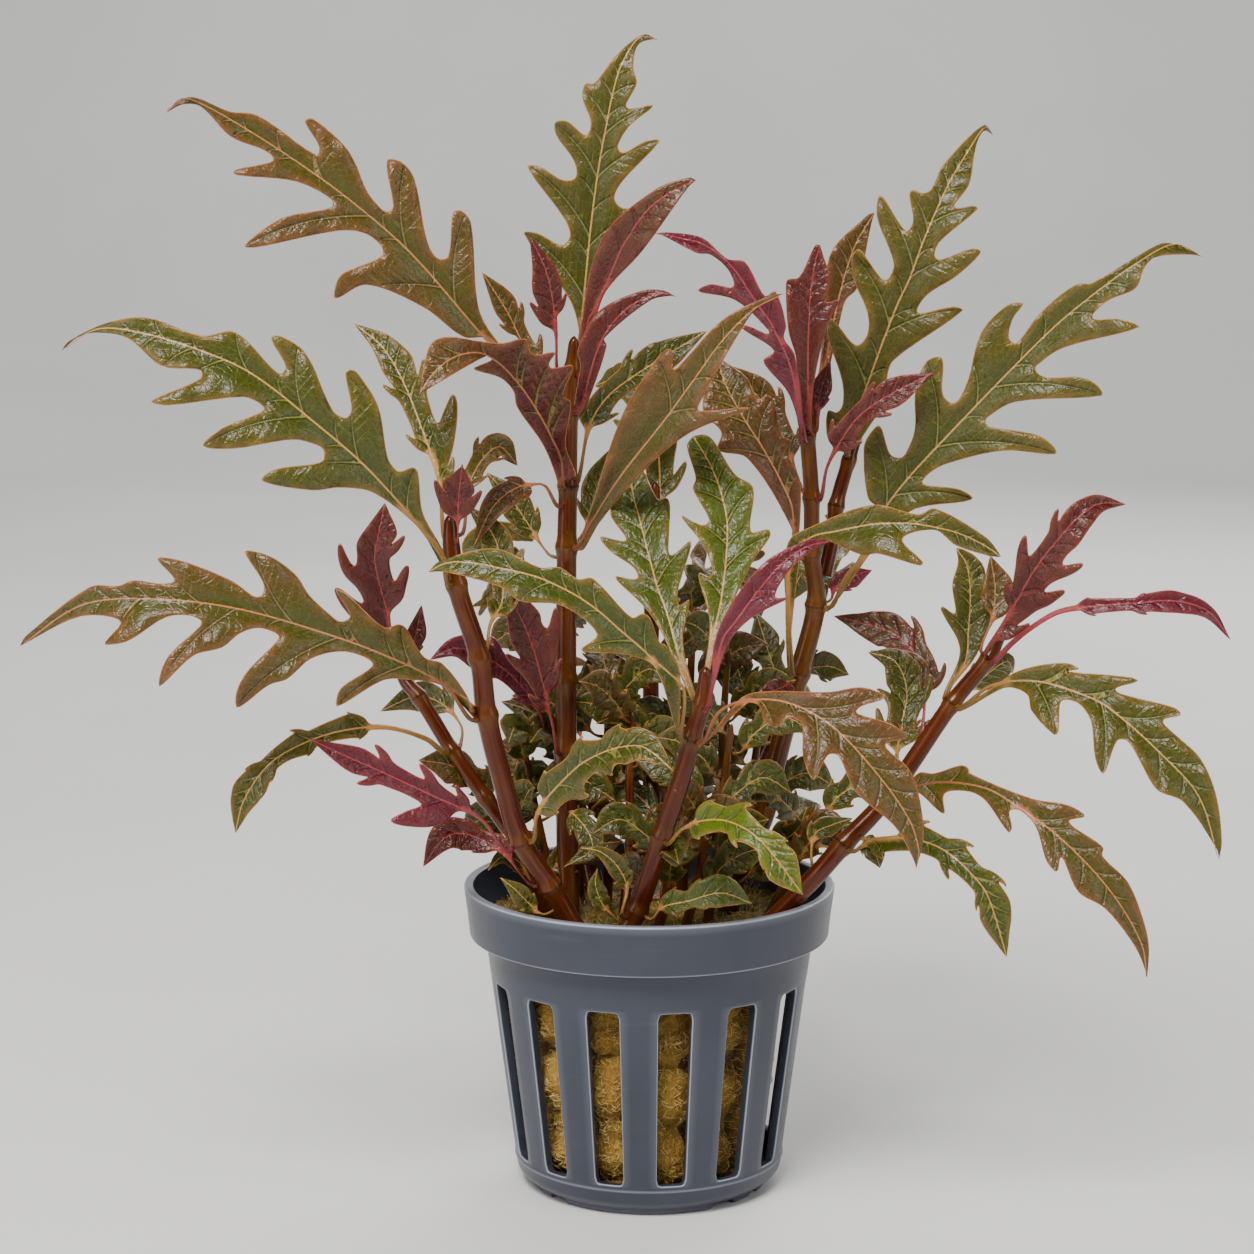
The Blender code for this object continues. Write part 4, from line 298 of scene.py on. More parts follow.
        (41.0, 66.8, -12.5), (40.5, 72.0, -3), (40.0, 78.0, 4), (36.0, 82.5, 8), (30.0, 84.5, 11),
        (27.0, 85.3, 12)],
        [(49, 3.4), (70, 3.8)], [(49, 3.4), (70, 3.8)], 0.6),
    "leaf_back_high": ("stem_back", "leaf_green", [
        (0.6, 95.0, 15), (1.5, 103.0, 22), (1.0, 111.0, 28), (-1.0, 117.0, 34), (-4.0, 120.0, 41),
        (-8.0, 119.0, 48)],
        [(34, 4.0), (56, 5.4), (76, 4.6)], [(34, 4.0), (56, 5.4), (76, 4.6)], 0.45),
    "leaf_back_middle": ("stem_back", "leaf_bronze", [
        (0.3, 78, 14), (4, 84, 22), (8, 89, 32), (12, 91, 42), (15, 89, 51), (16, 84, 58)],
        [(34, 5.0), (56, 6.6), (76, 5.4)], [(34, 5.0), (56, 6.6), (76, 5.4)], 0.4),
    "leaf_back_left_arching": ("stem_back_left", "leaf_green", [
        (-18.5, 84.0, 31), (-21.5, 90.0, 38), (-23.0, 93.5, 47), (-22.0, 92.0, 56), (-20.0, 87.0, 63),
        (-18.0, 80.0, 67)],
        [(36, 5.2), (56, 6.8), (76, 5.4)], [(34, 5.0), (56, 6.8), (76, 5.4)], 0.4),
    "leaf_back_left_low": ("stem_back_left", "leaf_bronze", [
        (-14.5, 70.0, 27), (-15.0, 74.0, 36), (-14.0, 75.5, 45), (-12.0, 73.0, 54), (-10.0, 67.0, 60)],
        [(38, 4.4), (62, 5.2)], [(38, 4.4), (62, 5.2)], 0.45),
    "leaf_back_right_arching": ("stem_back_right", "leaf_green", [
        (24.0, 84.0, 29), (25.0, 91.0, 37), (25.0, 94.5, 46), (23.0, 93.0, 55), (20.0, 87.0, 61)],
        [(36, 4.8), (60, 6.2), (80, 4.4)], [(36, 4.8), (60, 6.2), (80, 4.4)], 0.4),
    "leaf_back_right_low": ("stem_back_right", "leaf_green", [
        (19.0, 70.0, 25), (21.0, 73.0, 35), (21.0, 73.0, 45), (18.0, 69.0, 53), (15.0, 62.0, 57)],
        [(38, 4.4), (62, 5.2)], [(38, 4.4), (62, 5.2)], 0.45),
}

# Outlines from stalk to tip as (x, z): the side left of the midrib, then the side right of it
OUTLINES = {
    "leaf_top_left": (
        [(-23.1, 125.7), (-27, 126.1), (-32.6, 130.3), (-40.9, 133.6), (-45.4, 131.6), (-45.2, 134),
         (-44.2, 135.3), (-38.6, 137.7), (-38.8, 139.3), (-41.2, 141), (-44.9, 141.3), (-58.3, 138.9),
         (-53, 143.1), (-45.7, 144.7), (-45.9, 145.9), (-50.8, 148.3), (-59.1, 149.2), (-59.8, 149.6),
         (-59.1, 150.1), (-54, 151.3), (-55, 152.6), (-60.1, 154.7), (-64.2, 158.9), (-66.8, 159.2),
         (-69.3, 158.1)],
        [(-22.8, 126.5), (-24.8, 130.7), (-25.7, 142.4), (-27.1, 144.2), (-28.3, 143.9), (-29.1, 137.6),
         (-30.7, 137.5), (-32.1, 140.1), (-33.8, 148.8), (-35.6, 151.1), (-37.7, 151.3), (-36.9, 144.8),
         (-37.5, 144.1), (-38.4, 144.3), (-40.5, 146.9), (-43.1, 152.6), (-48.1, 157.2), (-49.4, 156.9),
         (-47.4, 153.3), (-47.8, 152.1), (-56.1, 157.7), (-60.3, 158.3), (-65.6, 160.3), (-68.8, 158.7)]),
    "leaf_left_large": (
        [(-29.3, 93.1), (-33.7, 98.3), (-40.2, 103.4), (-45.1, 104.2), (-49.2, 103.8), (-56.5, 105.2),
         (-54.6, 106.9), (-47.8, 108), (-47.4, 109.6), (-48.4, 110.4), (-51.9, 111.2), (-60.4, 109.9),
         (-65, 110.3), (-62.1, 112.9), (-56, 115.5), (-56.5, 116.4), (-59, 117.4), (-70, 116.2),
         (-72.3, 116.8), (-65.1, 120.1), (-65.1, 121.3), (-70.7, 121.9), (-75.5, 125.9), (-79.6, 126.7),
         (-82.4, 126.2), (-85.2, 124)],
        [(-29.9, 94.2), (-33.1, 100.6), (-33.7, 106.3), (-34.4, 107.2), (-36.3, 106.6), (-37.1, 107),
         (-38.1, 108.6), (-39.4, 116.1), (-42.3, 120.9), (-43.3, 121.4), (-44.1, 120.9), (-43.3, 115.7),
         (-44.1, 114.4), (-46, 115.5), (-49.8, 123.8), (-53.5, 126.3), (-54.8, 125.9), (-52.7, 121.8),
         (-53.7, 120.8), (-59.9, 126.8), (-64.8, 126.3), (-72.6, 128.9), (-78.2, 128.2), (-84, 125.5)]),
    "leaf_left_arching": (
        [(-25.5, 71.7), (-31, 75.1), (-35.4, 75.8), (-39.2, 75.7), (-46, 71.8), (-46, 73.5),
         (-45.1, 74.9), (-40.7, 78), (-42.2, 79.3), (-45.5, 80), (-49.8, 78.9), (-53.3, 75.9), (-56, 75),
         (-60.7, 71.6), (-60.9, 73.7), (-59.4, 76.8), (-54.4, 82), (-55, 82.8), (-57.5, 83.5),
         (-60.1, 82.7), (-62.8, 80.6), (-67, 79.4), (-72.1, 74.8), (-71.9, 76.9), (-70.5, 79.6),
         (-66, 83.8), (-65.8, 84.6), (-67.9, 85.4), (-71.1, 85), (-76.5, 81.6), (-79.3, 81),
         (-80.1, 81.2), (-77.6, 84.5), (-83.5, 85.2), (-92.5, 80.8)],
        [(-26.7, 73.2), (-30.4, 78.2), (-33.1, 79.2), (-35.7, 83.5), (-36.8, 84.1), (-38.9, 83.6),
         (-44.4, 88.6), (-46, 89.2), (-43.9, 85.3), (-45.1, 84.5), (-46.2, 85), (-49.8, 88.4),
         (-51.7, 91.4), (-54.6, 93.7), (-57.8, 94.9), (-59.2, 94.8), (-56.6, 90.2), (-56.7, 88.5),
         (-57.8, 88.2), (-61.2, 90.6), (-68.5, 93.5), (-72, 93.8), (-69.5, 90.6), (-71.4, 90.1),
         (-75.6, 90.6), (-77.7, 89.8), (-82, 89.6), (-91.6, 82.3)]),
    "leaf_top": (
        [(-10.1, 125.4), (-11.5, 131.3), (-18.2, 141), (-16.2, 141), (-12.7, 139.3), (-11.5, 140.6),
         (-12.3, 143), (-17.6, 150.4), (-15.8, 150.5), (-12.6, 148.6), (-10.7, 148.9), (-10.9, 151.2),
         (-13.4, 154.8), (-13.6, 156.7), (-11.9, 156.9), (-9.2, 154.9), (-8.5, 156.7), (-9.7, 160.3),
         (-9.2, 162.2), (-8, 162.2), (-4.7, 166.3), (-0.8, 169.1), (1.2, 168.4)],
        [(-9.5, 125.9), (-7.9, 134), (-5.5, 138.3), (-0.9, 144), (-1.4, 144.6), (-4, 144.6), (-5.1, 146),
         (-3.9, 148.4), (1.4, 154.1), (-0.6, 154.1), (-3.3, 152.6), (-4.2, 152.5), (-4.6, 153.4),
         (-2.9, 156.2), (0.5, 159.1), (-3.4, 158.8), (-1.9, 162.2), (-2.4, 164.5), (-1.7, 167.6),
         (0.7, 168.4)]),
    "leaf_right_tall": (
        [(28.4, 110), (26.1, 111), (25.6, 113.1), (25.9, 115.5), (27.2, 115.2), (28, 116.5),
         (27.8, 119.9), (25.6, 126.7), (26.2, 128.8), (29.8, 124.9), (31.4, 126.4), (31.4, 129.6),
         (29.3, 134.6), (29.1, 137.7), (29.9, 138.7), (30.5, 138.4), (33.5, 134.4), (34.4, 134.5),
         (35.1, 136.7), (32.6, 143.4), (33.1, 146.4), (36.8, 141.3), (37.8, 142.7), (37.2, 146.6),
         (37.8, 147.2), (39, 146.7), (40.3, 147.2), (42, 150.7), (47.8, 156.4), (49, 155.1)],
        [(30, 110.3), (33.7, 115.5), (37.7, 118.7), (34.8, 119.4), (34.4, 120.1), (35.3, 122.7),
         (45.2, 129.9), (43.8, 130.5), (38.9, 129.5), (38.6, 130.1), (40.1, 132.2), (44.3, 134.9),
         (47.7, 138.3), (46.4, 138.8), (41.7, 137.2), (41, 137.8), (41.7, 139.7), (47.1, 144.4),
         (46.7, 144.9), (43.7, 144.7), (45.8, 147.9), (46.7, 153.4), (47.8, 155.5)]),
    "leaf_far_right": (
        [(33.6, 100.6), (31.8, 102.7), (31.1, 109.7), (31.7, 111.7), (33.4, 113.3), (35, 109.1),
         (36.6, 108.6), (37.4, 109.6), (38.5, 112.7), (38.5, 118.4), (40, 122.5), (42.3, 123.1),
         (42.5, 117.9), (43.9, 116.5), (44.9, 117.2), (46.1, 119.9), (47.9, 126.7), (51.6, 130.7),
         (53.9, 130.9), (52.5, 128.8), (51.9, 126), (53, 125.2), (56.3, 129.5), (61.3, 133.6),
         (63.9, 134), (73.2, 139.4), (75.5, 139.5), (79.6, 137.6)],
        [(37.3, 100.3), (47.1, 102.5), (45.2, 104), (39.8, 104.8), (40.6, 106.2), (43.3, 107.7),
         (51.5, 109.6), (59.1, 109.1), (58.6, 110.4), (56.1, 112), (49.5, 113.1), (48.8, 113.6),
         (49, 114.4), (53.1, 116.7), (65.6, 117.6), (65, 119), (62.6, 120.3), (57.4, 120.3),
         (55.9, 121.2), (56, 121.9), (59.8, 124.5), (70.7, 127.5), (67.6, 128.7), (64.7, 128.6),
         (63.9, 128.9), (64.2, 129.6), (66.3, 131.4), (70.1, 133.1), (71.2, 135.9), (72.7, 137.5),
         (77.9, 137.9)]),
    "leaf_far_right_drooping": (
        [(51.6, 75.5), (53.9, 77), (57.4, 78), (61.5, 78.3), (63.2, 77.4), (61.6, 77.1), (70.9, 76.2),
         (71.9, 75.6), (68.6, 74.5), (69.4, 73.8), (77.3, 71.7), (78.4, 70.6), (75.8, 69.8), (76.1, 69),
         (81.3, 64.2), (83.9, 58.6), (85, 51.6), (84.4, 48.4)],
        [(51.8, 74.4), (53.5, 74.6), (55.7, 73.5), (56.3, 71.2), (59.8, 67.5), (60.4, 68.2), (60.5, 72.2),
         (61.1, 72.8), (63.3, 72.2), (65.1, 69.6), (65.9, 63.9), (67.2, 61.7), (69.1, 66.7), (70.7, 66.5),
         (74.3, 60.3), (75.5, 59), (79.1, 57.4), (84.3, 50.2)]),
    "leaf_right_low_bronze": (
        [(13.6, 73.2), (17.6, 74.1), (26.4, 74), (31, 74.7), (34, 73.9), (34.6, 73), (31.2, 71.8),
         (30.5, 70.9), (35.6, 69.2), (38.1, 67.2), (34.8, 66.1), (38.5, 62.3), (40.1, 57.7), (40.7, 51.9),
         (39.7, 47.1)],
        [(14.5, 72.3), (16.2, 71.8), (16.8, 69.9), (18.6, 68.6), (20.6, 70.1), (22.4, 69.3), (22.7, 64.3),
         (24.3, 60.8), (26.4, 64.5), (27.9, 64.4), (30.5, 59), (36.4, 53.7), (39.3, 48.6)]),
    "leaf_right_drooping": (
        [(37.8, 59.6), (39.9, 61.9), (42.1, 61.8), (46, 63), (47.2, 62.6), (47.4, 61.8), (56.7, 58),
         (62.1, 57), (64.6, 55.3), (62.2, 54.5), (67.4, 50.6), (67.3, 49.3), (71.2, 45.3), (73.7, 39.4),
         (74.6, 35.3), (74.5, 29.9)],
        [(38.3, 58.5), (39.6, 59), (43.7, 55.6), (43.7, 58.7), (47.3, 59), (49.7, 57.7), (53.3, 52.8),
         (53.8, 53.5), (53.4, 56.1), (55, 56.1), (57.3, 53.7), (59, 48.5), (60.6, 46.8), (61.2, 49.1),
         (63.8, 43.8), (67.9, 41.2), (72.6, 35.2), (74.4, 30.9)]),
    "leaf_top_young_right": (
        [(-10.1, 126.4), (-6.9, 140.3), (0.9, 147.3), (5.7, 148.9)],
        [(-7.5, 129.7), (-6, 133.1), (-1.1, 138.4), (5.5, 147.5)]),
    "leaf_top_young_low": (
        [(-11, 115.8), (-10.1, 122), (-10.5, 124.2), (-7.5, 129.7), (-1.4, 132.7), (2, 132.8)],
        [(-9.1, 116.3), (-6.2, 124.8), (-6.6, 125.9), (0, 131.3), (2.9, 132)]),
    "leaf_folded": (
        [(-13.5, 105.3), (-15.5, 110.4), (-19.3, 116), (-19.8, 118.3), (-21.7, 120.2), (-25.6, 121.5),
         (-22.7, 122.9), (-23.1, 123.6), (-31.9, 118.7)],
        [(-10.7, 105.6), (-12.2, 110.4), (-11.4, 116.7), (-12.6, 117.6), (-11.1, 121.9), (-14.2, 121.6),
         (-14.6, 122.2), (-13.7, 123.9), (-17, 123.6), (-17.9, 125.8), (-21.7, 125.2), (-30.9, 125.8),
         (-33.2, 119.9)]),
    "leaf_right_red_upright": (
        [(21.7, 112.6), (21.2, 122.8), (20, 127.1), (19.6, 133.6), (19.9, 134.4), (21.5, 134.7),
         (23.8, 139.3)],
        [(23.6, 112.6), (23.9, 119.9), (25.7, 127.8), (27.3, 131.4), (25.3, 131.1), (26, 134.3),
         (24.8, 138.3)]),
    "leaf_right_grey": (
        [(21.8, 112.6), (20, 118.1), (16.4, 122.6), (18, 124.1), (13.2, 127.4), (13.9, 127.8),
         (17.1, 126.5), (17.2, 127), (12.3, 131.4), (6.9, 132.7), (8.7, 133.7), (12, 133.3),
         (11.3, 135.7), (8.7, 137.9), (6.8, 138.1), (1.7, 140.7)],
        [(22.3, 113.3), (21, 123.5), (19.4, 125.9), (19.7, 127.8), (18.1, 132.7), (16.6, 132),
         (13.7, 136.9), (11.2, 137.3), (7.6, 140.3), (2.6, 141.1)]),
    "leaf_right_brown_back": (
        [(22.7, 114.1), (24.6, 122), (25.8, 137.6), (31.3, 143.6)],
        [(24.7, 114.8), (27.5, 128.5), (28.3, 131.4), (29.9, 133.1), (31.9, 142.6)]),
    "leaf_centre_upright": (
        [(-10.2, 96.2), (-4.2, 114.4), (0.9, 122.9), (2.6, 124.4), (3.4, 123.8), (3.2, 121.6),
         (3.9, 121.6), (10.4, 128.5), (17.3, 132.1)],
        [(-9.6, 95.1), (-7.2, 99.2), (-0.7, 106.8), (6, 112.3), (14.6, 115.8), (7.3, 115.4), (7, 116),
         (13.2, 127.1), (15.5, 130.3), (18.1, 131.8)]),
    "leaf_right_brown_left": (
        [(20.5, 98.7), (14.2, 108.5), (9.9, 109.7), (10.4, 112.3), (8, 114.8), (7.7, 117), (9, 121.6)],
        [(22, 99.5), (21.9, 105.3), (20.4, 108.7), (20.5, 111), (19.2, 111.9), (17.9, 117), (17.1, 117.7),
         (15.6, 117.1), (14.1, 120.2), (10.5, 122.8)]),
    "leaf_front_green_left": (
        [(2.3, 81.7), (-0.4, 86.2), (-5.1, 91.1), (-1.8, 90.8), (-2.3, 92.4), (-5.8, 94.9), (-7.2, 97),
         (-3.4, 96.5), (-5.8, 100.6), (-3.4, 106.1)],
        [(4.9, 81.7), (5.9, 87.7), (4.3, 86.9), (4.2, 89.1), (6.1, 96.4), (3.3, 94.3), (2.8, 94.8),
         (3, 101.4), (2.5, 102.8), (1.2, 102.5), (-1.4, 107.8)]),
    "leaf_front_green_right": (
        [(8.7, 81.7), (8.7, 85.4), (7.1, 91.7), (8.9, 91.1), (9, 92.8), (7.8, 95.8), (4.6, 100.1),
         (7.8, 98.7), (8.7, 99.5), (6.3, 104), (6.7, 105.6), (5.4, 110.4)],
        [(10.1, 82), (15.1, 93.3), (17.6, 97), (17.4, 98.1), (14.8, 97.8), (15.1, 104.2), (12.4, 106.2),
         (9.2, 111.2), (7.9, 112)]),
    "leaf_centre_arching": (
        [(0.8, 77.6), (-3.2, 79.5), (-10.1, 80.2), (-7.7, 82.6), (-12.8, 86.8), (-19, 87.5),
         (-21.9, 89.6), (-29.9, 91.8)],
        [(4.5, 77), (2.4, 81), (1.5, 81.4), (0.1, 85), (-1, 85.7), (-2.6, 85.1), (-8.3, 90.9),
         (-10.5, 90.8), (-13.1, 92.5), (-16, 92.5), (-22.6, 95.3), (-30.7, 93.4)]),
    "leaf_right_arching": (
        [(19.9, 94.6), (20.5, 96.7), (22, 97.8), (32.4, 101.7), (39.2, 100.3), (41.6, 101.2), (49, 97.1),
         (50.9, 94.9)],
        [(22, 94.3), (22.7, 96.4), (25.6, 96.5), (31.1, 94.3), (33.4, 94.5), (39.7, 92.7), (40, 93.3),
         (36.9, 96.7), (41.7, 98), (44.6, 95.8), (49.5, 94.2)]),
    "leaf_right_green_upright": (
        [(45.6, 80.2), (42.7, 86.2), (42.9, 86.8), (44.8, 85.7), (44.3, 89.9), (45.1, 93.3)],
        [(48.1, 79.5), (50.5, 86.5), (49.3, 86.3), (49.1, 92.1), (47.6, 94.2), (45.5, 95.3)]),
    "leaf_front_red": (
        [(9.8, 82.5), (16.2, 92.7), (22.9, 96.5), (24.9, 96.7)],
        [(11.5, 81), (15, 85), (20.6, 88.1), (18.4, 88.1), (20.3, 91.8), (23.2, 94.6), (26.1, 96.1)]),
}


# Small leaves and shoots too slight for a solid of their own, laid out like LEAVES
SMALL_LEAVES = {
    "leaf_left_back_green": ("stem_left", "leaf_green", [
        (-29.0, 65.2, -2), (-27.8, 69.0, 4), (-30.9, 72.4, 7), (-34.5, 73.2, 9), (-39.7, 71.1, 9)],
        [(60, 2.6)], [(58, 2.6)], 0.7),
    "leaf_left_red_small": ("stem_left", "leaf_red", [
        (-35.8, 75.5, 1), (-34.9, 79.5, 4), (-34.1, 83.2, 5), (-33.4, 87.0, 6)],
        [(50, 1.6)], [(55, 1.6)], 0.7),
    "leaf_left_hidden": ("stem_left_front", "leaf_green", [
        (-25.0, 79.0, -22), (-23.4, 83.9, -17), (-21.5, 88.0, -13), (-22.5, 96.5, -10),
        (-26.6, 101.7, -8)],
        [(40, 2.4), (64, 3.0)], [(42, 2.4), (66, 3.0)], 0.6),
    "leaf_left_apex_brown": ("stem_left_front", "leaf_bronze", [
        (-28.6, 97.0, -23), (-26.5, 103.9, -20), (-24.4, 108.2, -16), (-21.8, 110.1, -12),
        (-19.2, 107.4, -8)],
        [(46, 2.2), (68, 2.8)], [(46, 2.2), (68, 2.4)], 0.6),
    "leaf_centre_left_grey": ("stem_centre", "leaf_green", [
        (-12.1, 94.5, 3), (-17.5, 98.5, 6), (-20.2, 102.5, 7), (-23.8, 106.5, 8)],
        [(50, 2.6)], [(52, 2.6)], 0.7),
    "leaf_centre_left_green": ("stem_centre", "leaf_green", [
        (-12.3, 65.0, 2), (-14.5, 68.0, 7), (-17.5, 71.0, 10), (-21.9, 72.6, 12)],
        [(50, 2.4)], [(52, 2.4)], 0.7),
    "leaf_centre_back": ("stem_centre", "leaf_green", [
        (-11.9, 104.6, 3), (-8.8, 113.0, 8), (-6.1, 117.4, 11), (-1.4, 121.0, 14), (8.3, 127.0, 17)],
        [(40, 3.0), (68, 3.4)], [(42, 3.0), (70, 3.0)], 0.6),
    "leaf_centre_back_low": ("stem_centre", "leaf_green", [
        (-12.1, 95.5, 3), (-9.0, 99.0, 9), (-7.0, 106.0, 13), (-4.5, 111.0, 14)],
        [(50, 2.6)], [(52, 2.6)], 0.7),
    "leaf_right_inner": ("stem_right", "leaf_bronze", [
        (37.2, 61.0, -13.5), (37.3, 68.9, -5), (38.1, 72.8, -2), (38.6, 77.0, 1), (32.4, 80.2, 4)],
        [(44, 2.6), (68, 3.0)], [(44, 2.6), (68, 3.2)], 0.6),
    "leaf_right_base": ("stem_right", "leaf_green", [
        (25.0, 46.5, -15), (24.6, 52.6, -11), (27.2, 54.0, -8), (30.2, 55.0, -6)],
        [(50, 1.8)], [(52, 1.8)], 0.7),
    "leaf_far_right_young": ("stem_right", "leaf_bronze", [
        (49.7, 79.0, -12), (50.2, 84.7, -8), (50.6, 89.1, -6), (49.8, 94.3, -5)],
        [(62, 2.0)], [(66, 3.0)], 0.7),
    "leaf_right_green_behind": ("stem_right", "leaf_green", [
        (44.6, 72.3, -12), (49.0, 76.0, -5), (52.5, 78.5, -1), (53.5, 76.8, 2)],
        [(50, 2.6)], [(52, 2.6)], 0.7),
    "leaf_right_small_red": ("stem_right_centre", "leaf_red", [
        (23.0, 112.5, -1), (24.5, 117.0, 2), (25.6, 121.0, 3), (26.2, 122.6, 3)],
        [(55, 1.6)], [(55, 1.6)], 0.7),
    "leaf_right_middle_back": ("stem_right_centre", "leaf_bronze", [
        (23.6, 102.7, 0), (19.4, 111.4, 7), (16.0, 117.0, 9), (10.9, 122.2, 9)],
        [(46, 2.8), (70, 3.0)], [(46, 2.8), (70, 3.4)], 0.6),
    "leaf_base_left_front": ("stem_front", "leaf_green", [
        (-3.0, 40.0, -19.5), (-3.3, 44.5, -23), (-5.0, 48.0, -25), (-7.5, 50.0, -26), (-10.2, 50.5, -26)],
        [(52, 1.8)], [(54, 1.6)], 0.7),
    "leaf_base_left_middle": ("stem_front", "leaf_green", [
        (-4.0, 39.0, -19), (-7.0, 42.0, -21), (-8.0, 45.0, -21.5), (-7.7, 47.4, -21)],
        [(55, 1.5)], [(55, 1.5)], 0.7),
    "leaf_base_hanging": ("stem_centre", "leaf_green", [
        (-12.2, 56.0, 1.5), (-11.4, 55.8, -5), (-9.0, 52.8, -8), (-8.6, 50.2, -9), (-12.8, 47.5, -10)],
        [(50, 2.4)], [(52, 2.6)], 0.6),
    "leaf_base_left_low": ("stem_left_front", "leaf_green", [
        (-13.0, 42.0, -16), (-17.5, 41.6, -18), (-20.0, 44.2, -19), (-22.2, 46.0, -19)],
        [(50, 1.7)], [(54, 1.7)], 0.7),
    "leaf_base_left_upright": ("stem_left", "leaf_green", [
        (-17.0, 46.0, -6), (-19.5, 48.5, -10), (-22.0, 49.0, -12), (-24.0, 47.0, -13)],
        [(50, 1.7)], [(54, 1.7)], 0.7),
    "leaf_base_right_wide": ("stem_right_centre", "leaf_green", [
        (12.8, 46.0, 4), (16.5, 48.0, -4), (19.0, 48.5, -9), (22.0, 46.5, -12)],
        [(48, 2.0), (70, 2.0)], [(50, 2.0), (72, 2.0)], 0.7),
    "leaf_inner_green_left": ("stem_centre", "leaf_green", [
        (-12.7, 66.5, 2), (-14.9, 70.4, 8), (-17.9, 72.5, 12), (-21.3, 72.3, 14)],
        [(50, 2.6)], [(52, 2.4)], 0.7),
    "leaf_inner_centre_dark": ("stem_back_left", "leaf_green", [
        (-14.5, 69.9, 27), (-10.5, 72.8, 21), (-7.6, 74.6, 17), (-4.8, 75.2, 15)],
        [(48, 2.8), (70, 2.6)], [(50, 2.6), (72, 2.4)], 0.6),
    "leaf_inner_centre_low": ("stem_back", "leaf_green", [
        (0.5, 60.0, 13), (-1.4, 62.6, 8), (-3.7, 65.0, 5), (-6.4, 66.2, 3)],
        [(50, 2.8)], [(52, 2.6)], 0.7),
    "leaf_inner_centre_middle": ("stem_back", "leaf_green", [
        (0.4, 67.5, 13.5), (-2.0, 69.8, 8), (-4.6, 70.5, 5), (-7.9, 69.2, 3)],
        [(50, 2.6)], [(52, 2.6)], 0.7),
    "leaf_inner_centre_high": ("stem_back", "leaf_bronze", [
        (0.2, 78.0, 14), (2.7, 79.9, 10), (6.0, 81.7, 7), (7.4, 85.0, 6)],
        [(50, 2.4)], [(52, 2.4)], 0.7),
    "leaf_inner_back_high": ("stem_back", "leaf_green", [
        (0.4, 72.8, 14), (-1.4, 78.5, 20), (-4.0, 81.7, 24), (-7.6, 82.3, 26)],
        [(45, 3.2), (68, 3.0)], [(47, 3.2), (70, 3.0)], 0.55),
    "leaf_inner_right_upright": ("stem_right_centre", "leaf_green", [
        (20.7, 71.6, 4), (18.8, 75.8, 10), (17.4, 80.2, 14), (15.6, 85.9, 17)],
        [(45, 3.0), (68, 3.0)], [(47, 3.0), (70, 2.8)], 0.6),
    "leaf_inner_right_wide": ("stem_back_right", "leaf_green", [
        (19.0, 69.9, 25), (15.1, 72.8, 22), (13.0, 77.6, 20), (13.9, 82.3, 20)],
        [(45, 3.6), (68, 3.4)], [(47, 3.4), (70, 3.2)], 0.55),
    "leaf_inner_right_red": ("stem_right_centre", "leaf_red", [
        (21.7, 75.2, 4), (20.1, 74.9, -1), (17.8, 74.0, -3), (14.8, 72.5, -4)],
        [(50, 1.8)], [(52, 1.6)], 0.7),
    "leaf_inner_right_green": ("stem_right_centre", "leaf_green", [
        (21.9, 76.4, 4), (24.2, 77.6, 8), (26.8, 77.7, 10), (29.4, 76.5, 11)],
        [(48, 2.6)], [(52, 2.6)], 0.7),
    "leaf_magenta_tip": ("stem_right_centre", "leaf_magenta", [
        (24.6, 87.2, 4), (27.2, 89.4, 6), (29.8, 91.1, 7), (32.6, 92.1, 8)],
        [(55, 1.8)], [(58, 1.8)], 0.7),
    "leaf_inner_far_green": ("stem_right", "leaf_green", [
        (37.8, 62.0, -13), (36.8, 67.5, -6), (37.9, 74.0, -2), (36.1, 78.5, 0), (32.1, 79.9, 2)],
        [(44, 4.2), (66, 4.4)], [(46, 4.2), (68, 4.0)], 0.5),
    "leaf_low_right_upright": ("stem_right_centre", "leaf_green", [
        (17.6, 57.7, 4), (20.1, 52.0, 2), (22.1, 53.5, 1), (23.4, 56.8, 1)],
        [(50, 2.2)], [(54, 2.2)], 0.65),
    "leaf_low_right_narrow": ("stem_right", "leaf_green", [
        (27.1, 49.3, -15), (25.1, 50.9, -10), (27.4, 53.2, -6), (30.7, 54.4, -4)],
        [(50, 2.0)], [(54, 2.0)], 0.7),
    "leaf_base_right_small": ("stem_right", "leaf_green", [
        (30.7, 52.9, -15), (32.5, 51.2, -17), (33.7, 49.3, -18), (34.3, 47.4, -18)],
        [(55, 1.8)], [(55, 1.8)], 0.7),
    "leaf_inner_low_centre": ("stem_centre", "leaf_green", [
        (-12.3, 57.7, 2), (-9.7, 59.3, 7), (-7.3, 57.7, 9), (-5.4, 54.4, 10)],
        [(50, 2.6)], [(52, 2.6)], 0.7),
    "leaf_inner_back_centre": ("stem_back", "leaf_green", [
        (0.4, 51.7, 12.5), (2.8, 57.7, 18), (5.7, 61.4, 22), (8.7, 64.1, 24)],
        [(45, 3.2), (68, 3.0)], [(47, 3.2), (70, 3.0)], 0.55),
    "leaf_inner_back_right": ("stem_back_right", "leaf_green", [
        (14.2, 57.7, 20), (10.8, 61.1, 18), (7.8, 63.0, 16), (5.7, 66.5, 15)],
        [(45, 3.0), (68, 3.0)], [(47, 3.0), (70, 3.0)], 0.55),
    "leaf_inner_back_left": ("stem_back_left", "leaf_green", [
        (-10.6, 55.9, 21), (-7.3, 60.5, 24), (-3.7, 63.5, 26), (-0.2, 66.2, 27)],
        [(45, 3.2), (68, 3.0)], [(47, 3.2), (70, 3.0)], 0.55),
    "leaf_inner_low_back": ("stem_back_right", "leaf_green", [
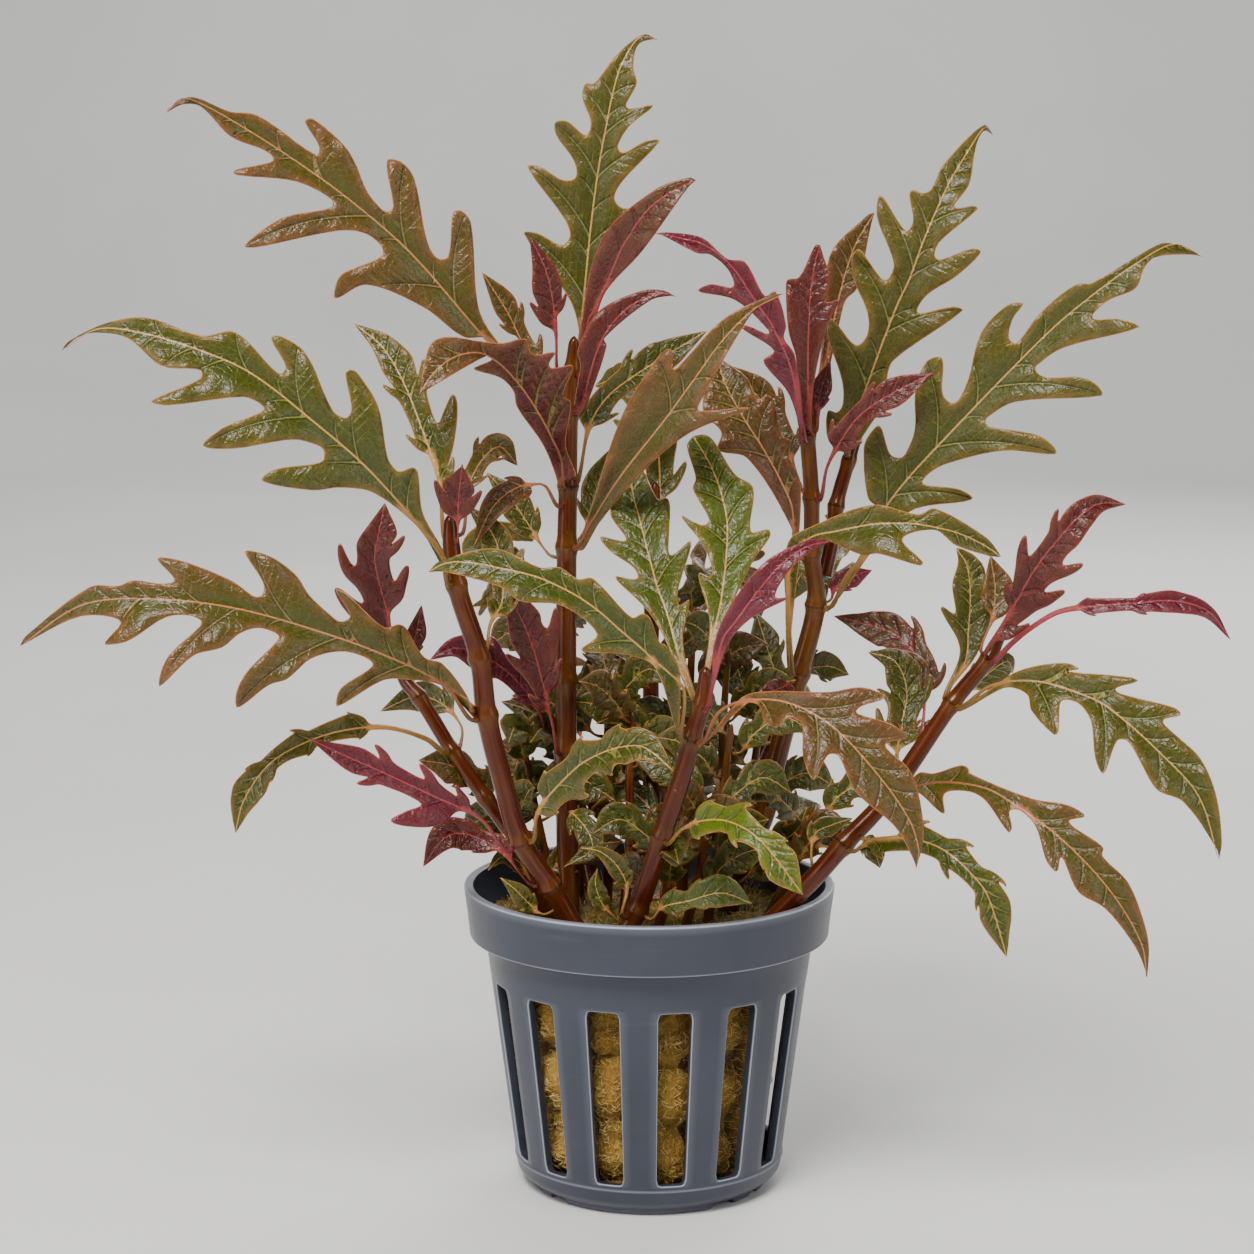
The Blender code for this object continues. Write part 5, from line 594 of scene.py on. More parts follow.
        (11.7, 50.2, 17), (8.3, 53.2, 12), (5.7, 54.4, 8), (2.8, 53.8, 6)],
        [(48, 2.6), (70, 2.4)], [(50, 2.6), (72, 2.4)], 0.6),
    "leaf_inner_low_right": ("stem_back_right", "leaf_green", [
        (12.7, 53.2, 18), (16.4, 57.7, 24), (19.3, 60.8, 28), (23.0, 62.6, 30)],
        [(45, 3.0), (68, 3.0)], [(47, 3.0), (70, 3.0)], 0.55),
}

# Thin shoots inside the bunch: x, z, depth y at the foot, the same at the tip
SHOOTS = [
    (-4.0, 38.0, 0.0, -2.5, 70.0, 6.0), (3.5, 38.0, 2.0, 2.0, 67.0, 9.0),
    (5.0, 37.0, -8.0, 9.5, 58.0, -13.0), (8.5, 38.0, -4.0, 12.0, 68.0, -4.0),
    (-6.5, 38.0, 6.0, -6.0, 76.0, 10.0), (12.0, 38.5, 10.0, 16.5, 70.0, 14.0),
    (-14.5, 39.0, 4.0, -18.5, 66.0, 8.0), (17.0, 38.5, 0.0, 24.0, 56.0, 1.0),
    (1.0, 37.0, -13.0, 3.5, 51.0, -15.0), (-10.0, 38.0, 9.0, -14.0, 82.0, 15.0),
    (4.5, 38.0, 9.0, 6.5, 86.0, 16.0), (9.0, 38.0, 5.0, 11.5, 79.0, 10.0),
    (-16.0, 38.5, -1.0, -21.0, 58.0, 1.0),
]

CAMERA_PITCH = math.radians(8.73)
CAMERA_LENS = 85.5
SENSOR_WIDTH = 36.0


# Shader nodes

class Shader:
    """A small helper for building one material's node tree."""

    def __init__(self, name):
        self.material = bpy.data.materials.new(name)
        self.material.use_nodes = True
        self.tree = self.material.node_tree
        self.tree.nodes.clear()
        self.out = self.node("ShaderNodeOutputMaterial")
        self.bsdf = self.node("ShaderNodeBsdfPrincipled")
        self.link(self.bsdf.outputs[0], self.out.inputs[0])

    def node(self, kind, **settings):
        made = self.tree.nodes.new(kind)
        for key, value in settings.items():
            setattr(made, key, value)
        return made

    def link(self, source, target):
        self.tree.links.new(source, target)

    def put(self, target, value):
        if isinstance(value, bpy.types.NodeSocket):
            self.link(value, target)
        elif isinstance(value, tuple) and len(value) == 3 and target.type == "RGBA":
            target.default_value = (*value, 1.0)
        else:
            target.default_value = value

    def attribute(self, name, output="Fac"):
        return self.node("ShaderNodeAttribute", attribute_name=name).outputs[output]

    def math(self, operation, a, b):
        made = self.node("ShaderNodeMath", operation=operation)
        for socket, value in zip(made.inputs, (a, b)):
            self.put(socket, value)
        return made.outputs[0]

    def ramp(self, value, low, high, start=0.0, end=1.0):
        made = self.node("ShaderNodeMapRange", interpolation_type="SMOOTHSTEP")
        for socket, given in zip(made.inputs, (value, low, high, start, end)):
            self.put(socket, given)
        return made.outputs[0]

    def mix(self, share, a, b):
        made = self.node("ShaderNodeMix", data_type="RGBA", blend_type="MIX")
        self.put(made.inputs[0], share)
        self.put(made.inputs[6], a)
        self.put(made.inputs[7], b)
        return made.outputs[2]

    def stretch(self, vector, scale):
        made = self.node("ShaderNodeMapping")
        self.put(made.inputs["Vector"], vector)
        made.inputs["Scale"].default_value = scale
        return made.outputs[0]

    def noise(self, vector, scale, detail=3.0, rough=0.55, warp=0.0):
        made = self.node("ShaderNodeTexNoise")
        self.put(made.inputs["Vector"], vector)
        made.inputs["Scale"].default_value = scale
        made.inputs["Detail"].default_value = detail
        made.inputs["Roughness"].default_value = rough
        made.inputs["Distortion"].default_value = warp
        return made.outputs["Fac"]

    def cells(self, vector, scale):
        made = self.node("ShaderNodeTexVoronoi", feature="DISTANCE_TO_EDGE")
        self.put(made.inputs["Vector"], vector)
        made.inputs["Scale"].default_value = scale
        made.inputs["Randomness"].default_value = 1.0
        return made.outputs["Distance"]

    def bump(self, height, strength, distance):
        made = self.node("ShaderNodeBump")
        made.inputs["Strength"].default_value = strength
        made.inputs["Distance"].default_value = distance
        self.put(made.inputs["Height"], height)
        self.put(self.bsdf.inputs["Normal"], made.outputs[0])

    def finish(self, colour, roughness, specular=0.5, coat=0.0, coat_roughness=0.03):
        """Sets the colour and the gloss of the surface."""
        self.put(self.bsdf.inputs["Base Color"], colour)
        self.put(self.bsdf.inputs["Roughness"], roughness)
        self.bsdf.inputs["Specular IOR Level"].default_value = specular
        self.bsdf.inputs["Coat Weight"].default_value = coat
        self.bsdf.inputs["Coat Roughness"].default_value = coat_roughness
        return self.material

    def glow_through(self, weight, depths):
        """Lets light through thin wet tissue, with the depth in metres for each colour."""
        self.bsdf.inputs["Subsurface Weight"].default_value = weight
        self.bsdf.inputs["Subsurface Radius"].default_value = depths


# Materials

LEAF_COLOURS = {
    # upper face in the middle, upper face towards the edge, edge line (orange margin with a painted glow),
    # midrib, side veins, underside, stalk
    "leaf_green": ((0.042, 0.056, 0.003), (0.074, 0.062, 0.005), (0.46, 0.22, 0.050), (0.56, 0.27, 0.075),
                   (0.215, 0.200, 0.034), (0.110, 0.064, 0.020), (0.135, 0.072, 0.012)),
    "leaf_bronze": ((0.058, 0.062, 0.004), (0.100, 0.045, 0.010), (0.44, 0.165, 0.050), (0.48, 0.175, 0.070),
                    (0.245, 0.150, 0.042), (0.120, 0.030, 0.023), (0.150, 0.050, 0.016)),
    "leaf_red": ((0.068, 0.008, 0.008), (0.088, 0.016, 0.009), (0.34, 0.085, 0.050), (0.30, 0.045, 0.036),
                 (0.150, 0.024, 0.019), (0.130, 0.012, 0.024), (0.130, 0.020, 0.016)),
    "leaf_magenta": ((0.096, 0.007, 0.019), (0.110, 0.013, 0.020), (0.36, 0.075, 0.060), (0.32, 0.045, 0.050),
                     (0.175, 0.024, 0.032), (0.150, 0.012, 0.038), (0.150, 0.020, 0.026)),
}
AGED = (0.078, 0.050, 0.007)
FRESH = (0.090, 0.140, 0.004)
BLUSHED = (0.096, 0.008, 0.016)
SHADE_BESIDE_VEINS = 0.45

STEM_DARK, STEM_RED = (0.056, 0.008, 0.002), (0.104, 0.021, 0.004)
STEM_AMBER, STEM_SPECK = (0.130, 0.053, 0.004), (0.22, 0.11, 0.03)
NODE_AMBER, NODE_SCAR = (0.135, 0.046, 0.007), (0.030, 0.010, 0.004)
STEM_FOOT = (0.085, 0.033, 0.004)

POT_DARK, POT_PALE = (0.030, 0.035, 0.053), (0.039, 0.045, 0.065)
# The edge colour is a painted highlight along the bevelled edges; the scuff colour is real scuffing
POT_SCUFF, POT_EDGE_HIGHLIGHT = (0.10, 0.112, 0.138), (0.370, 0.400, 0.460)

WOOL_DARK, WOOL_GOLD = (0.21, 0.098, 0.011), (0.36, 0.200, 0.026)
WOOL_THREAD, WOOL_SPECK = (0.56, 0.37, 0.085), (0.88, 0.76, 0.38)
WOOL_CREASE_SHADE, MOSS_ON_WOOL = (0.055, 0.022, 0.004), (0.120, 0.095, 0.008)
FIBRE_DARK, FIBRE_PALE, FIBRE_MOSSY = (0.50, 0.29, 0.055), (0.86, 0.66, 0.27), (0.16, 0.14, 0.02)


def leaf_colour(m, name, at, fine, net):
    """Blotched upper face, veins with painted shade beside them, midrib and edge line over it, the edge line
    partly a painted glow, and the plainer underside.
    """
    middle, outer, edge, rib, vein, under, stalk = LEAF_COLOURS[name]
    to_vein, to_twig, to_rim = m.attribute("vein"), m.attribute("twig"), m.attribute("rim")
    tone = m.attribute("tone")
    mottle_and_vein_shade = tuple(SHADE_BESIDE_VEINS * part for part in middle)

    blotch = m.noise(at, 0.16, 4.0, 0.6)
    share = m.math("ADD", m.math("MULTIPLY", blotch, 0.8), m.attribute("edge_share"))
    colour = m.mix(m.ramp(m.math("ADD", share, m.math("MULTIPLY", tone, 0.7)), 0.55, 1.45), middle, outer)
    colour = m.mix(m.ramp(tone, 0.9, 1.3, 0.0, 0.9), colour, AGED)
    colour = m.mix(m.ramp(tone, -1.0, 0.0, 0.9, 0.0), colour, FRESH)
    colour = m.mix(m.attribute("blush"), colour, BLUSHED)

    colour = m.mix(m.ramp(fine, 0.30, 0.62, 0.28, 0.0), colour, mottle_and_vein_shade)
    colour = m.mix(m.ramp(net, 0.0, 0.05, 0.22, 0.0), colour, vein)
    colour = m.mix(m.ramp(to_twig, 0.02, 0.16, 0.35, 0.0), colour, vein)
    # Painted shade in the grooves beside the side veins
    colour = m.mix(m.ramp(to_vein, 0.16, 0.60, 0.60, 0.0), colour, mottle_and_vein_shade)
    colour = m.mix(m.ramp(to_vein, 0.04, 0.18, 0.85, 0.0), colour, vein)
    cord = m.math("MAXIMUM", m.ramp(m.attribute("mid"), 0.10, 0.20, 1.0, 0.0), m.attribute("petiole"))
    colour = m.mix(cord, colour, m.mix(m.attribute("stalk"), rib, stalk))

    flush = m.math("MULTIPLY", m.ramp(to_rim, 0.1, 1.4, 0.20, 0.0), m.ramp(blotch, 0.3, 0.7, 0.2, 1.0))
    colour = m.mix(flush, colour, edge)
    # Edge line: the margin's own orange, brightened as a painted glow of light through the thin edge
    colour = m.mix(m.ramp(to_rim, 0.07, 0.17, 0.9, 0.0), colour, edge)

    lines = m.ramp(m.math("MINIMUM", to_vein, to_twig), 0.04, 0.24, 0.6, 0.0)
    below = m.mix(lines, m.mix(m.ramp(fine, 0.3, 0.7), under, outer), vein)
    return m.mix(m.attribute("under"), colour, below)


def leaf_material(name):
    m = Shader(name + "_wet")
    at = m.attribute("leaf_at", "Vector")
    fine = m.noise(at, 1.9, 5.0, 0.65)
    net = m.cells(m.stretch(at, (0.75, 1.1, 1.0)), 1.25)
    relief = m.math("MULTIPLY", m.ramp(net, 0.0, 0.20), 0.24)
    relief = m.math("ADD", relief, m.math("MULTIPLY", m.ramp(m.attribute("vein"), 0.0, 0.45), 0.8))
    relief = m.math("ADD", relief, m.math("MULTIPLY", m.ramp(m.attribute("twig"), 0.0, 0.30), 0.40))
    relief = m.math("ADD", relief, m.math("MULTIPLY", fine, 0.16))
    m.bump(relief, 0.60, 0.00024)
    m.glow_through(0.04, (0.0012, 0.0008, 0.0003))
    roughness = m.ramp(m.noise(at, 0.9, 4.0), 0.3, 0.75, 0.25, 0.40)
    return m.finish(leaf_colour(m, name, at, fine, net), roughness, 0.34, 0.03, 0.12)


def stem_material():
    m = Shader("stem_skin")
    at = m.attribute("leaf_at", "Vector")
    streak = m.noise(m.stretch(at, (0.08, 1.7, 1.0)), 1.0, 4.0, 0.55)
    patch = m.noise(m.stretch(at, (0.12, 0.45, 1.0)), 1.0, 3.0)
    speck = m.noise(at, 3.0, 2.0)
    to_node = m.attribute("node")
    colour = m.mix(m.ramp(streak, 0.30, 0.72), STEM_DARK, STEM_RED)
    amber = m.ramp(m.math("ADD", patch, m.attribute("tone")), 0.70, 1.20)
    colour = m.mix(m.math("MULTIPLY", amber, 0.75), colour, STEM_AMBER)
    colour = m.mix(m.ramp(speck, 0.68, 0.76, 0.0, 0.5), colour, STEM_SPECK)
    colour = m.mix(m.ramp(to_node, 0.5, 2.6, 0.45, 0.0), colour, NODE_AMBER)
    colour = m.mix(m.ramp(to_node, 0.10, 0.30, 0.80, 0.0), colour, NODE_SCAR)
    colour = m.mix(m.ramp(m.attribute("rim"), 0.0, 9.0, 0.35, 0.0), colour, STEM_FOOT)
    ridges = m.noise(m.stretch(at, (0.20, 2.2, 1.0)), 1.0, 3.0)
    m.bump(ridges, 0.14, 0.00010)
    m.glow_through(0.05, (0.0015, 0.0008, 0.0004))
    return m.finish(colour, m.ramp(streak, 0.3, 0.7, 0.17, 0.25), 0.26, 0.03, 0.10)


def pot_material():
    m = Shader("pot_moulded_plastic")
    at = m.node("ShaderNodeTexCoord").outputs["Object"]
    cloud = m.noise(at, 55.0, 3.0)
    grain = m.noise(at, 2600.0, 2.0)
    scuff = m.noise(m.stretch(at, (60.0, 60.0, 900.0)), 1.0, 4.0)
    colour = m.mix(m.ramp(cloud, 0.3, 0.7), POT_DARK, POT_PALE)
    colour = m.mix(m.ramp(scuff, 0.62, 0.8, 0.0, 0.25), colour, POT_SCUFF)
    # Painted highlight: pale lines along the rim, the band, the foot and the slot edges
    colour = m.mix(m.attribute("painted_highlight"), colour, POT_EDGE_HIGHLIGHT)
    m.bump(m.math("ADD", m.math("MULTIPLY", grain, 0.6), m.math("MULTIPLY", scuff, 0.6)), 0.28, 0.00008)
    dull = m.math("ADD", cloud, m.math("MULTIPLY", scuff, 0.4))
    return m.finish(colour, m.ramp(dull, 0.4, 1.0, 0.28, 0.42), 0.42)


def wool_material():
    m = Shader("rockwool_damp")
    at = m.node("ShaderNodeTexCoord").outputs["Object"]
    lump = m.noise(at, 170.0, 4.0)
    thread = m.noise(m.stretch(at, (1500.0, 1500.0, 420.0)), 1.0, 5.0, 0.65, 1.2)
    speck = m.noise(at, 2300.0, 2.0)
    colour = m.mix(m.ramp(lump, 0.3, 0.7), WOOL_DARK, WOOL_GOLD)
    colour = m.mix(m.ramp(thread, 0.46, 0.66, 0.0, 0.7), colour, WOOL_THREAD)
    # Painted shade in the gaps between the beads and in the low spots of the top
    colour = m.mix(m.attribute("crease"), colour, WOOL_CREASE_SHADE)
    colour = m.mix(m.ramp(speck, 0.70, 0.78, 0.0, 0.8), colour, WOOL_SPECK)
    colour = m.mix(m.attribute("moss"), colour, MOSS_ON_WOOL)
    m.bump(m.math("ADD", thread, m.math("MULTIPLY", speck, 0.4)), 0.9, 0.0005)
    return m.finish(colour, 0.72, 0.4)


def fibre_material():
    m = Shader("rockwool_fibres")
    shade = m.noise(m.node("ShaderNodeTexCoord").outputs["Object"], 240.0, 3.0)
    colour = m.mix(m.ramp(shade, 0.3, 0.7), FIBRE_DARK, FIBRE_PALE)
    return m.finish(m.mix(m.attribute("moss"), colour, FIBRE_MOSSY), 0.5)


def floor_material():
    m = Shader("studio_floor")
    tint = m.noise(m.node("ShaderNodeTexCoord").outputs["Object"], 6.0, 2.0)
    return m.finish(m.mix(m.ramp(tint, 0.3, 0.7), (0.74, 0.74, 0.73), (0.78, 0.78, 0.77)), 0.9)


# Meshes

def add_mesh(name, points, faces, material, attributes=None, vectors=None):
    """A smooth mesh in metres from points in millimetres, with float and vector attributes."""
    mesh = bpy.data.meshes.new(name)
    points = np.asarray(points, float) * MM
    mesh.vertices.add(len(points))
    mesh.vertices.foreach_set("co", points.ravel())
    sizes = np.array([len(face) for face in faces])
    flat = np.concatenate([np.asarray(face) for face in faces])
    mesh.loops.add(len(flat))
    mesh.loops.foreach_set("vertex_index", flat)
    mesh.polygons.add(len(faces))
    mesh.polygons.foreach_set("loop_start", np.concatenate([[0], np.cumsum(sizes)[:-1]]))
    mesh.polygons.foreach_set("loop_total", sizes)
    mesh.update(calc_edges=True)
    mesh.validate()
    for key, values in (attributes or {}).items():
        layer = mesh.attributes.new(key, "FLOAT", "POINT")
        layer.data.foreach_set("value", np.asarray(values, float))
    for key, values in (vectors or {}).items():
        layer = mesh.attributes.new(key, "FLOAT_VECTOR", "POINT")
        layer.data.foreach_set("vector", np.asarray(values, float).ravel())
    mesh.polygons.foreach_set("use_smooth", [True] * len(mesh.polygons))
    mesh.materials.append(material)
    obj = bpy.data.objects.new(name, mesh)
    bpy.context.scene.collection.objects.link(obj)
    return obj


def seen(x, z, y):
    """The point at depth y that lies behind the outline point (x, z)."""
    return EYE + (Vector((x, 0.0, z)) - EYE) * ((y - EYE.y) / -EYE.y)


def smooth_path(rows, steps):
    """Points on a curve through the rows, with even parameter steps between them."""
    rows = [Vector(row) for row in rows]
    ends = [rows[0] * 2 - rows[1]] + rows + [rows[-1] * 2 - rows[-2]]
    path = []
    for before, start, end, after in zip(ends, ends[1:], ends[2:], ends[3:]):
        reach = (end - start).length
        out = (end - before) * reach / max((end - start).length + (start - before).length, 1e-6)
        into = (after - start) * reach / max((after - end).length + (end - start).length, 1e-6)
        for k in range(steps):
            t = k / steps
            path.append(start * (2 * t**3 - 3 * t**2 + 1) + out * (t**3 - 2 * t**2 + t)
                        + end * (3 * t**2 - 2 * t**3) + into * (t**3 - t**2))
    path.append(rows[-1])
    return path


def even_path(path, step):
    """The same path with points about one step apart."""
    lengths = [0.0]
    for a, b in zip(path, path[1:]):
        lengths.append(lengths[-1] + (b - a).length)
    count = max(int(lengths[-1] / step), 2)
    grid = np.linspace(0.0, lengths[-1], count + 1)
    columns = [np.interp(grid, lengths, [p[k] for p in path]) for k in range(len(path[0]))]
    return np.stack(columns, axis=1), grid


def tube_faces(rings, sides, start=0, closed=True):
    """Quads between rings of points that follow each other, and a face over each end."""
    faces = []
    for ring in range(rings - 1):
        a = start + ring * sides
        for k in range(sides):
            n = (k + 1) % sides
            faces.append((a + k, a + n, a + sides + n, a + sides + k))
    if closed:
        faces.append(tuple(reversed(range(start, start + sides))))
        faces.append(tuple(range(start + (rings - 1) * sides, start + rings * sides)))
    return faces


# Stems

STEM_STEP = 0.55
STEM_SIDES = 18
# A stem that starts below this height has its root this much deeper in the plug
ROOTED_BELOW = 45
ROOT_DEPTH = 3
# The bud that closes a stem: millimetres past its last row, and share of its radius there
BUD = ((0.4, 0.9), (0.8, 0.66), (1.1, 0.36), (1.25, 0.05))
NODE_SWELL, NODE_REACH = 0.20, 0.9
SCAR_RAISE, SCAR_REACH = 0.05, 0.25
RIDGE_RAISE = 0.010


def stem_line(rows):
    """Places and radii along a stem from inside the plug to the end of its bud, and lengths."""
    places = [Vector((*seen(x, z, y), r)) for x, z, y, r in smooth_path([row[:4] for row in rows], 12)]
    if rows[0][1] < ROOTED_BELOW:
        ahead = (places[1] - places[0]).normalized()
        ahead.w = 0.0
        places.insert(0, places[0] - ahead * ROOT_DEPTH)
    points, lengths = even_path(places, STEM_STEP)
    end = points[-1]
    ahead = (end[:3] - points[-2][:3]) / np.linalg.norm(end[:3] - points[-2][:3])
    bud = [np.append(end[:3] + ahead * reach, end[3] * share) for reach, share in BUD]
    lengths = np.append(lengths, [lengths[-1] + reach for reach, share in BUD])
    return np.vstack([points, bud]), lengths


def make_stem(name, rows, tone, material):
    """A round stem, swollen and scarred at each leaf node."""
    nodes = [seen(x, z, y) for x, z, y, r, node in rows if node]
    points, lengths = stem_line(rows)
    coordinates, along, around, node_distance, height = [], [], [], [], []
    for k, point in enumerate(points):
        centre = Vector(point[:3])
        ahead = Vector(points[min(k + 1, len(points) - 1)][:3] - points[max(k - 1, 0)][:3]).normalized()
        side = ahead.cross(Vector((0.0, 1.0, 0.0))).normalized()
        up = ahead.cross(side)
        near = min((centre - node).length for node in nodes)
        radius = point[3] * (1.0 + NODE_SWELL * math.exp(-(near / NODE_REACH) ** 2))
        scar = SCAR_RAISE * math.exp(-(near / SCAR_REACH) ** 2)
        for a in np.linspace(0.0, 2 * math.pi, STEM_SIDES, endpoint=False):
            r = radius * (1.0 + RIDGE_RAISE * math.cos(4 * a + 0.6)) + scar
            coordinates.append(centre + (side * math.cos(a) + up * math.sin(a)) * r)
            along.append(lengths[k])
            around.append(a * radius)
            node_distance.append(near)
            height.append(max(coordinates[-1].z - PLUG_TOP, 0.0))
    seed = 13.7 * tone
    return add_mesh(
        name + "_skin", coordinates, tube_faces(len(points), STEM_SIDES), material,
        {"node": node_distance, "tone": [tone] * len(along), "rim": height},
        {"leaf_at": np.stack([along, around, np.full(len(along), seed)], axis=1)})


# Leaves

def leave_stem(stem_rows, rib):
    """Midrib rows that start inside the stem's bark and come out square to it."""
    path = smooth_path([row[:4] for row in stem_rows], 12)
    places = [seen(x, z, y) for x, z, y, r in path]
    near = seen(*rib[0])
    k = min(range(len(places)), key=lambda i: (places[i] - near).length)
    along = (places[min(k + 1, len(places) - 1)] - places[max(k - 1, 0)]).normalized()
    out = seen(*rib[1]) - places[k]
    out = (out - along * out.dot(along)).normalized()
    radius = path[k][3]
    rows = []
    for reach in (radius * 0.7, radius * 1.2 + 1.3):
        point = places[k] + out * reach + along * 0.25 * (reach - radius)
        scale = -EYE.y / (point.y - EYE.y)
        flat = EYE + (point - EYE) * scale
        rows.append((flat.x, flat.z, point.y))
    return rows + list(rib[1:])


def midrib_frames(rows):
    """Fine midrib: rows, lengths, places, directions out to the left, upper normals, scales."""
    path = smooth_path(rows, 10)
    places = np.array([seen(*p) for p in path])
    steps = np.linalg.norm(np.diff(places, axis=0), axis=1)
    lengths = np.concatenate([[0.0], np.cumsum(steps)])
    ahead = np.gradient(places, axis=0)
    ahead /= np.linalg.norm(ahead, axis=1)[:, None]
    left = np.cross(np.array(FACE), ahead)
    left /= np.linalg.norm(left, axis=1)[:, None]
    scale = np.array([(p.z - EYE.y) / -EYE.y for p in path])
    return np.array(path), lengths, places, left, np.cross(ahead, left), scale


def at_length(frames, s):
    """Midrib place, left, normal and scale at each length in s."""
    path, lengths, places, left, normal, scale = frames
    s = np.clip(s, 0.0, lengths[-1])
    mixed = [np.stack([np.interp(s, lengths, field[:, k]) for k in range(3)], axis=-1)
             for field in (places, left, normal)]
    for k in (1, 2):
        mixed[k] /= np.linalg.norm(mixed[k], axis=-1)[..., None]
    return (*mixed, np.interp(s, lengths, scale))


def nearest(points, line):
    """How far each point is from a line, and where along it as a fractional index."""
    start, ahead = line[:-1], line[1:] - line[:-1]
    size = np.maximum((ahead**2).sum(axis=1), 1e-12)
    from_start = points[:, None, :] - start[None]
    share = np.clip((from_start * ahead[None]).sum(axis=2) / size, 0.0, 1.0)
    away = np.linalg.norm(from_start - share[..., None] * ahead[None], axis=2)
    k = away.argmin(axis=1)
    rows = np.arange(len(points))
    return away[rows, k], k + share[rows, k]


def row_at(values, index):
    """Rows of an array at fractional indices."""
    low = np.clip(index.astype(int), 0, len(values) - 2)
    share = index - low
    if values.ndim > 1:
        share = share[:, None]
    return values[low] * (1.0 - share) + values[low + 1] * share


def inside(points, loop):
    """Which points lie inside a closed outline."""
    a, b = loop, np.roll(loop, -1, axis=0)
    x, y = points[:, 0, None], points[:, 1, None]
    crosses = (a[:, 1] > y) != (b[:, 1] > y)
    with np.errstate(divide="ignore", invalid="ignore"):
        at = (b[:, 0] - a[:, 0]) * (y - a[:, 1]) / (b[:, 1] - a[:, 1]) + a[:, 0]
    return (crosses & (x < at)).sum(axis=1) % 2 == 1


def smooth_line(points, step):
    """A smooth line through flat points, with points about one step apart."""
    return even_path(smooth_path([Vector((x, y, 0.0)) for x, y in points], 6), step)[0][:, :2]


class SeenPlane:
    """Flat coordinates of an outlined leaf: (x, z) as seen from EYE."""

    def __init__(self, frames, left_side, right_side, step):
        self.frames = frames
        path = frames[0]
        self.spine = path[:, :2]
        base, tip = path[0, :2], path[-1, :2]
        ahead = (path[3, :2] - base) / np.linalg.norm(path[3, :2] - base)
        across = np.array((-ahead[1], ahead[0])) * STALK_HALF_WIDTH
        self.sides = []
        for side, sign in ((left_side, 1.0), (right_side, -1.0)):
            points = [p for p in side if math.hypot(p[0] - tip[0], p[1] - tip[1]) > 0.5]
            line = [base + sign * across, base + sign * across + ahead * 1.2] + points + [tip]
            self.sides.append(smooth_line(line, step))

    def measure(self, points):
        """Distance along the midrib and signed distance out from it."""
        path, lengths = self.frames[0], self.frames[1]
        away, index = nearest(points, self.spine)
        foot = row_at(path, index)
        ahead = row_at(np.gradient(self.spine, axis=0), index)
        side = ahead[:, 0] * (points[:, 1] - foot[:, 1]) - ahead[:, 1] * (points[:, 0] - foot[:, 0])
        scale = (foot[:, 2] - EYE.y) / -EYE.y
        return row_at(lengths, index), away * np.where(side < 0, -1.0, 1.0) * scale, foot

    def spread(self, points, s, w, foot):
        """Places on the flat blade and the direction that lifts them."""
        depth = foot[:, 2] + LEAN * (points[:, 1] - foot[:, 1])
        eye = np.array(EYE)
        flat = np.stack([points[:, 0], np.zeros(len(points)), points[:, 1]], axis=1)
        places = eye + (flat - eye) * ((depth - eye[1]) / -eye[1])[:, None]
        towards = eye - places
        return places, towards / np.linalg.norm(towards, axis=1)[:, None]

    def on_midrib(self, s):
        index = np.interp(s, self.frames[1], np.arange(len(self.frames[1])))
        return row_at(self.spine, np.atleast_1d(index))[0]


class RibPlane:
    """Flat coordinates of a leaf without an outline of its own: distance along the midrib and out."""

    def __init__(self, frames, left_lobes, right_lobes, notch, step):
        self.frames = frames
        length = frames[1][-1]
        self.spine = np.stack([np.linspace(0.0, length, 60), np.zeros(60)], axis=1)
        self.sides = []
        for lobes, sign in ((left_lobes, 1.0), (right_lobes, -1.0)):
            line = smooth_line(blade_edge(length, lobes, notch), step)
            line[:, 1] = np.maximum(line[:, 1], 0.03)
            line[-1] = (length, 0.0)
            line[:, 1] *= sign
            self.sides.append(line)

    def measure(self, points):
        return np.clip(points[:, 0], 0.0, self.frames[1][-1]), points[:, 1], None

    def spread(self, points, s, w, foot):
        place, left, normal, scale = at_length(self.frames, s)
        return place + left * (w * scale)[:, None], normal * scale[:, None]

    def on_midrib(self, s):
        return np.array((s, 0.0))


def blade_edge(length, lobes, notch):
    """One side of a lobed outline as (distance along the midrib, distance out)."""
    half = STALK_HALF_WIDTH * min(1.0, 0.42 + length / 90.0)
    first = lobes[0][0] * length / 100 - 1.5 * lobes[0][1] if lobes else 0.3 * length
    edge = [(0.0, half), (max(first, 0.07 * length), half)]
    for k, (percent, reach) in enumerate(lobes):
        tip = percent * length / 100
        beyond = lobes[k + 1][1] if k + 1 < len(lobes) else reach
        depth = max(notch * min(reach, beyond), 1.2)
        start, low = edge[-1]
        span = max(tip - start, 0.5)
        back = min(0.55 * reach, VEIN_SLOPE * (reach - depth))
        edge.append((max(tip - 1.05 * reach, start + 0.16 * span), 0.58 * reach))
        edge.append((max(tip - 0.58 * reach, start + 0.42 * span), 0.84 * reach))
        edge.append((max(tip - 0.20 * reach, start + 0.76 * span), 0.98 * reach))
        edge.append((tip, reach))
        edge.append((tip + 0.04 * reach, 0.93 * reach))
        edge.append((tip - 0.32 * back, depth + 0.52 * (reach - depth)))
        edge.append((max(tip - 0.85 * back, start + 0.45 * span), depth + 0.08 * (reach - depth)))
    start, low = edge[-1]
    wide = max(min(TIP_HALF_WIDTH, low * 1.25), 1.3)
    for share, width in ((0.10, 0.90), (0.25, 1.0), (0.45, 0.84), (0.65, 0.55), (0.85, 0.24)):
        edge.append((start + (length - start) * share, wide * width))
    edge.append((length, 0.03))
    return edge


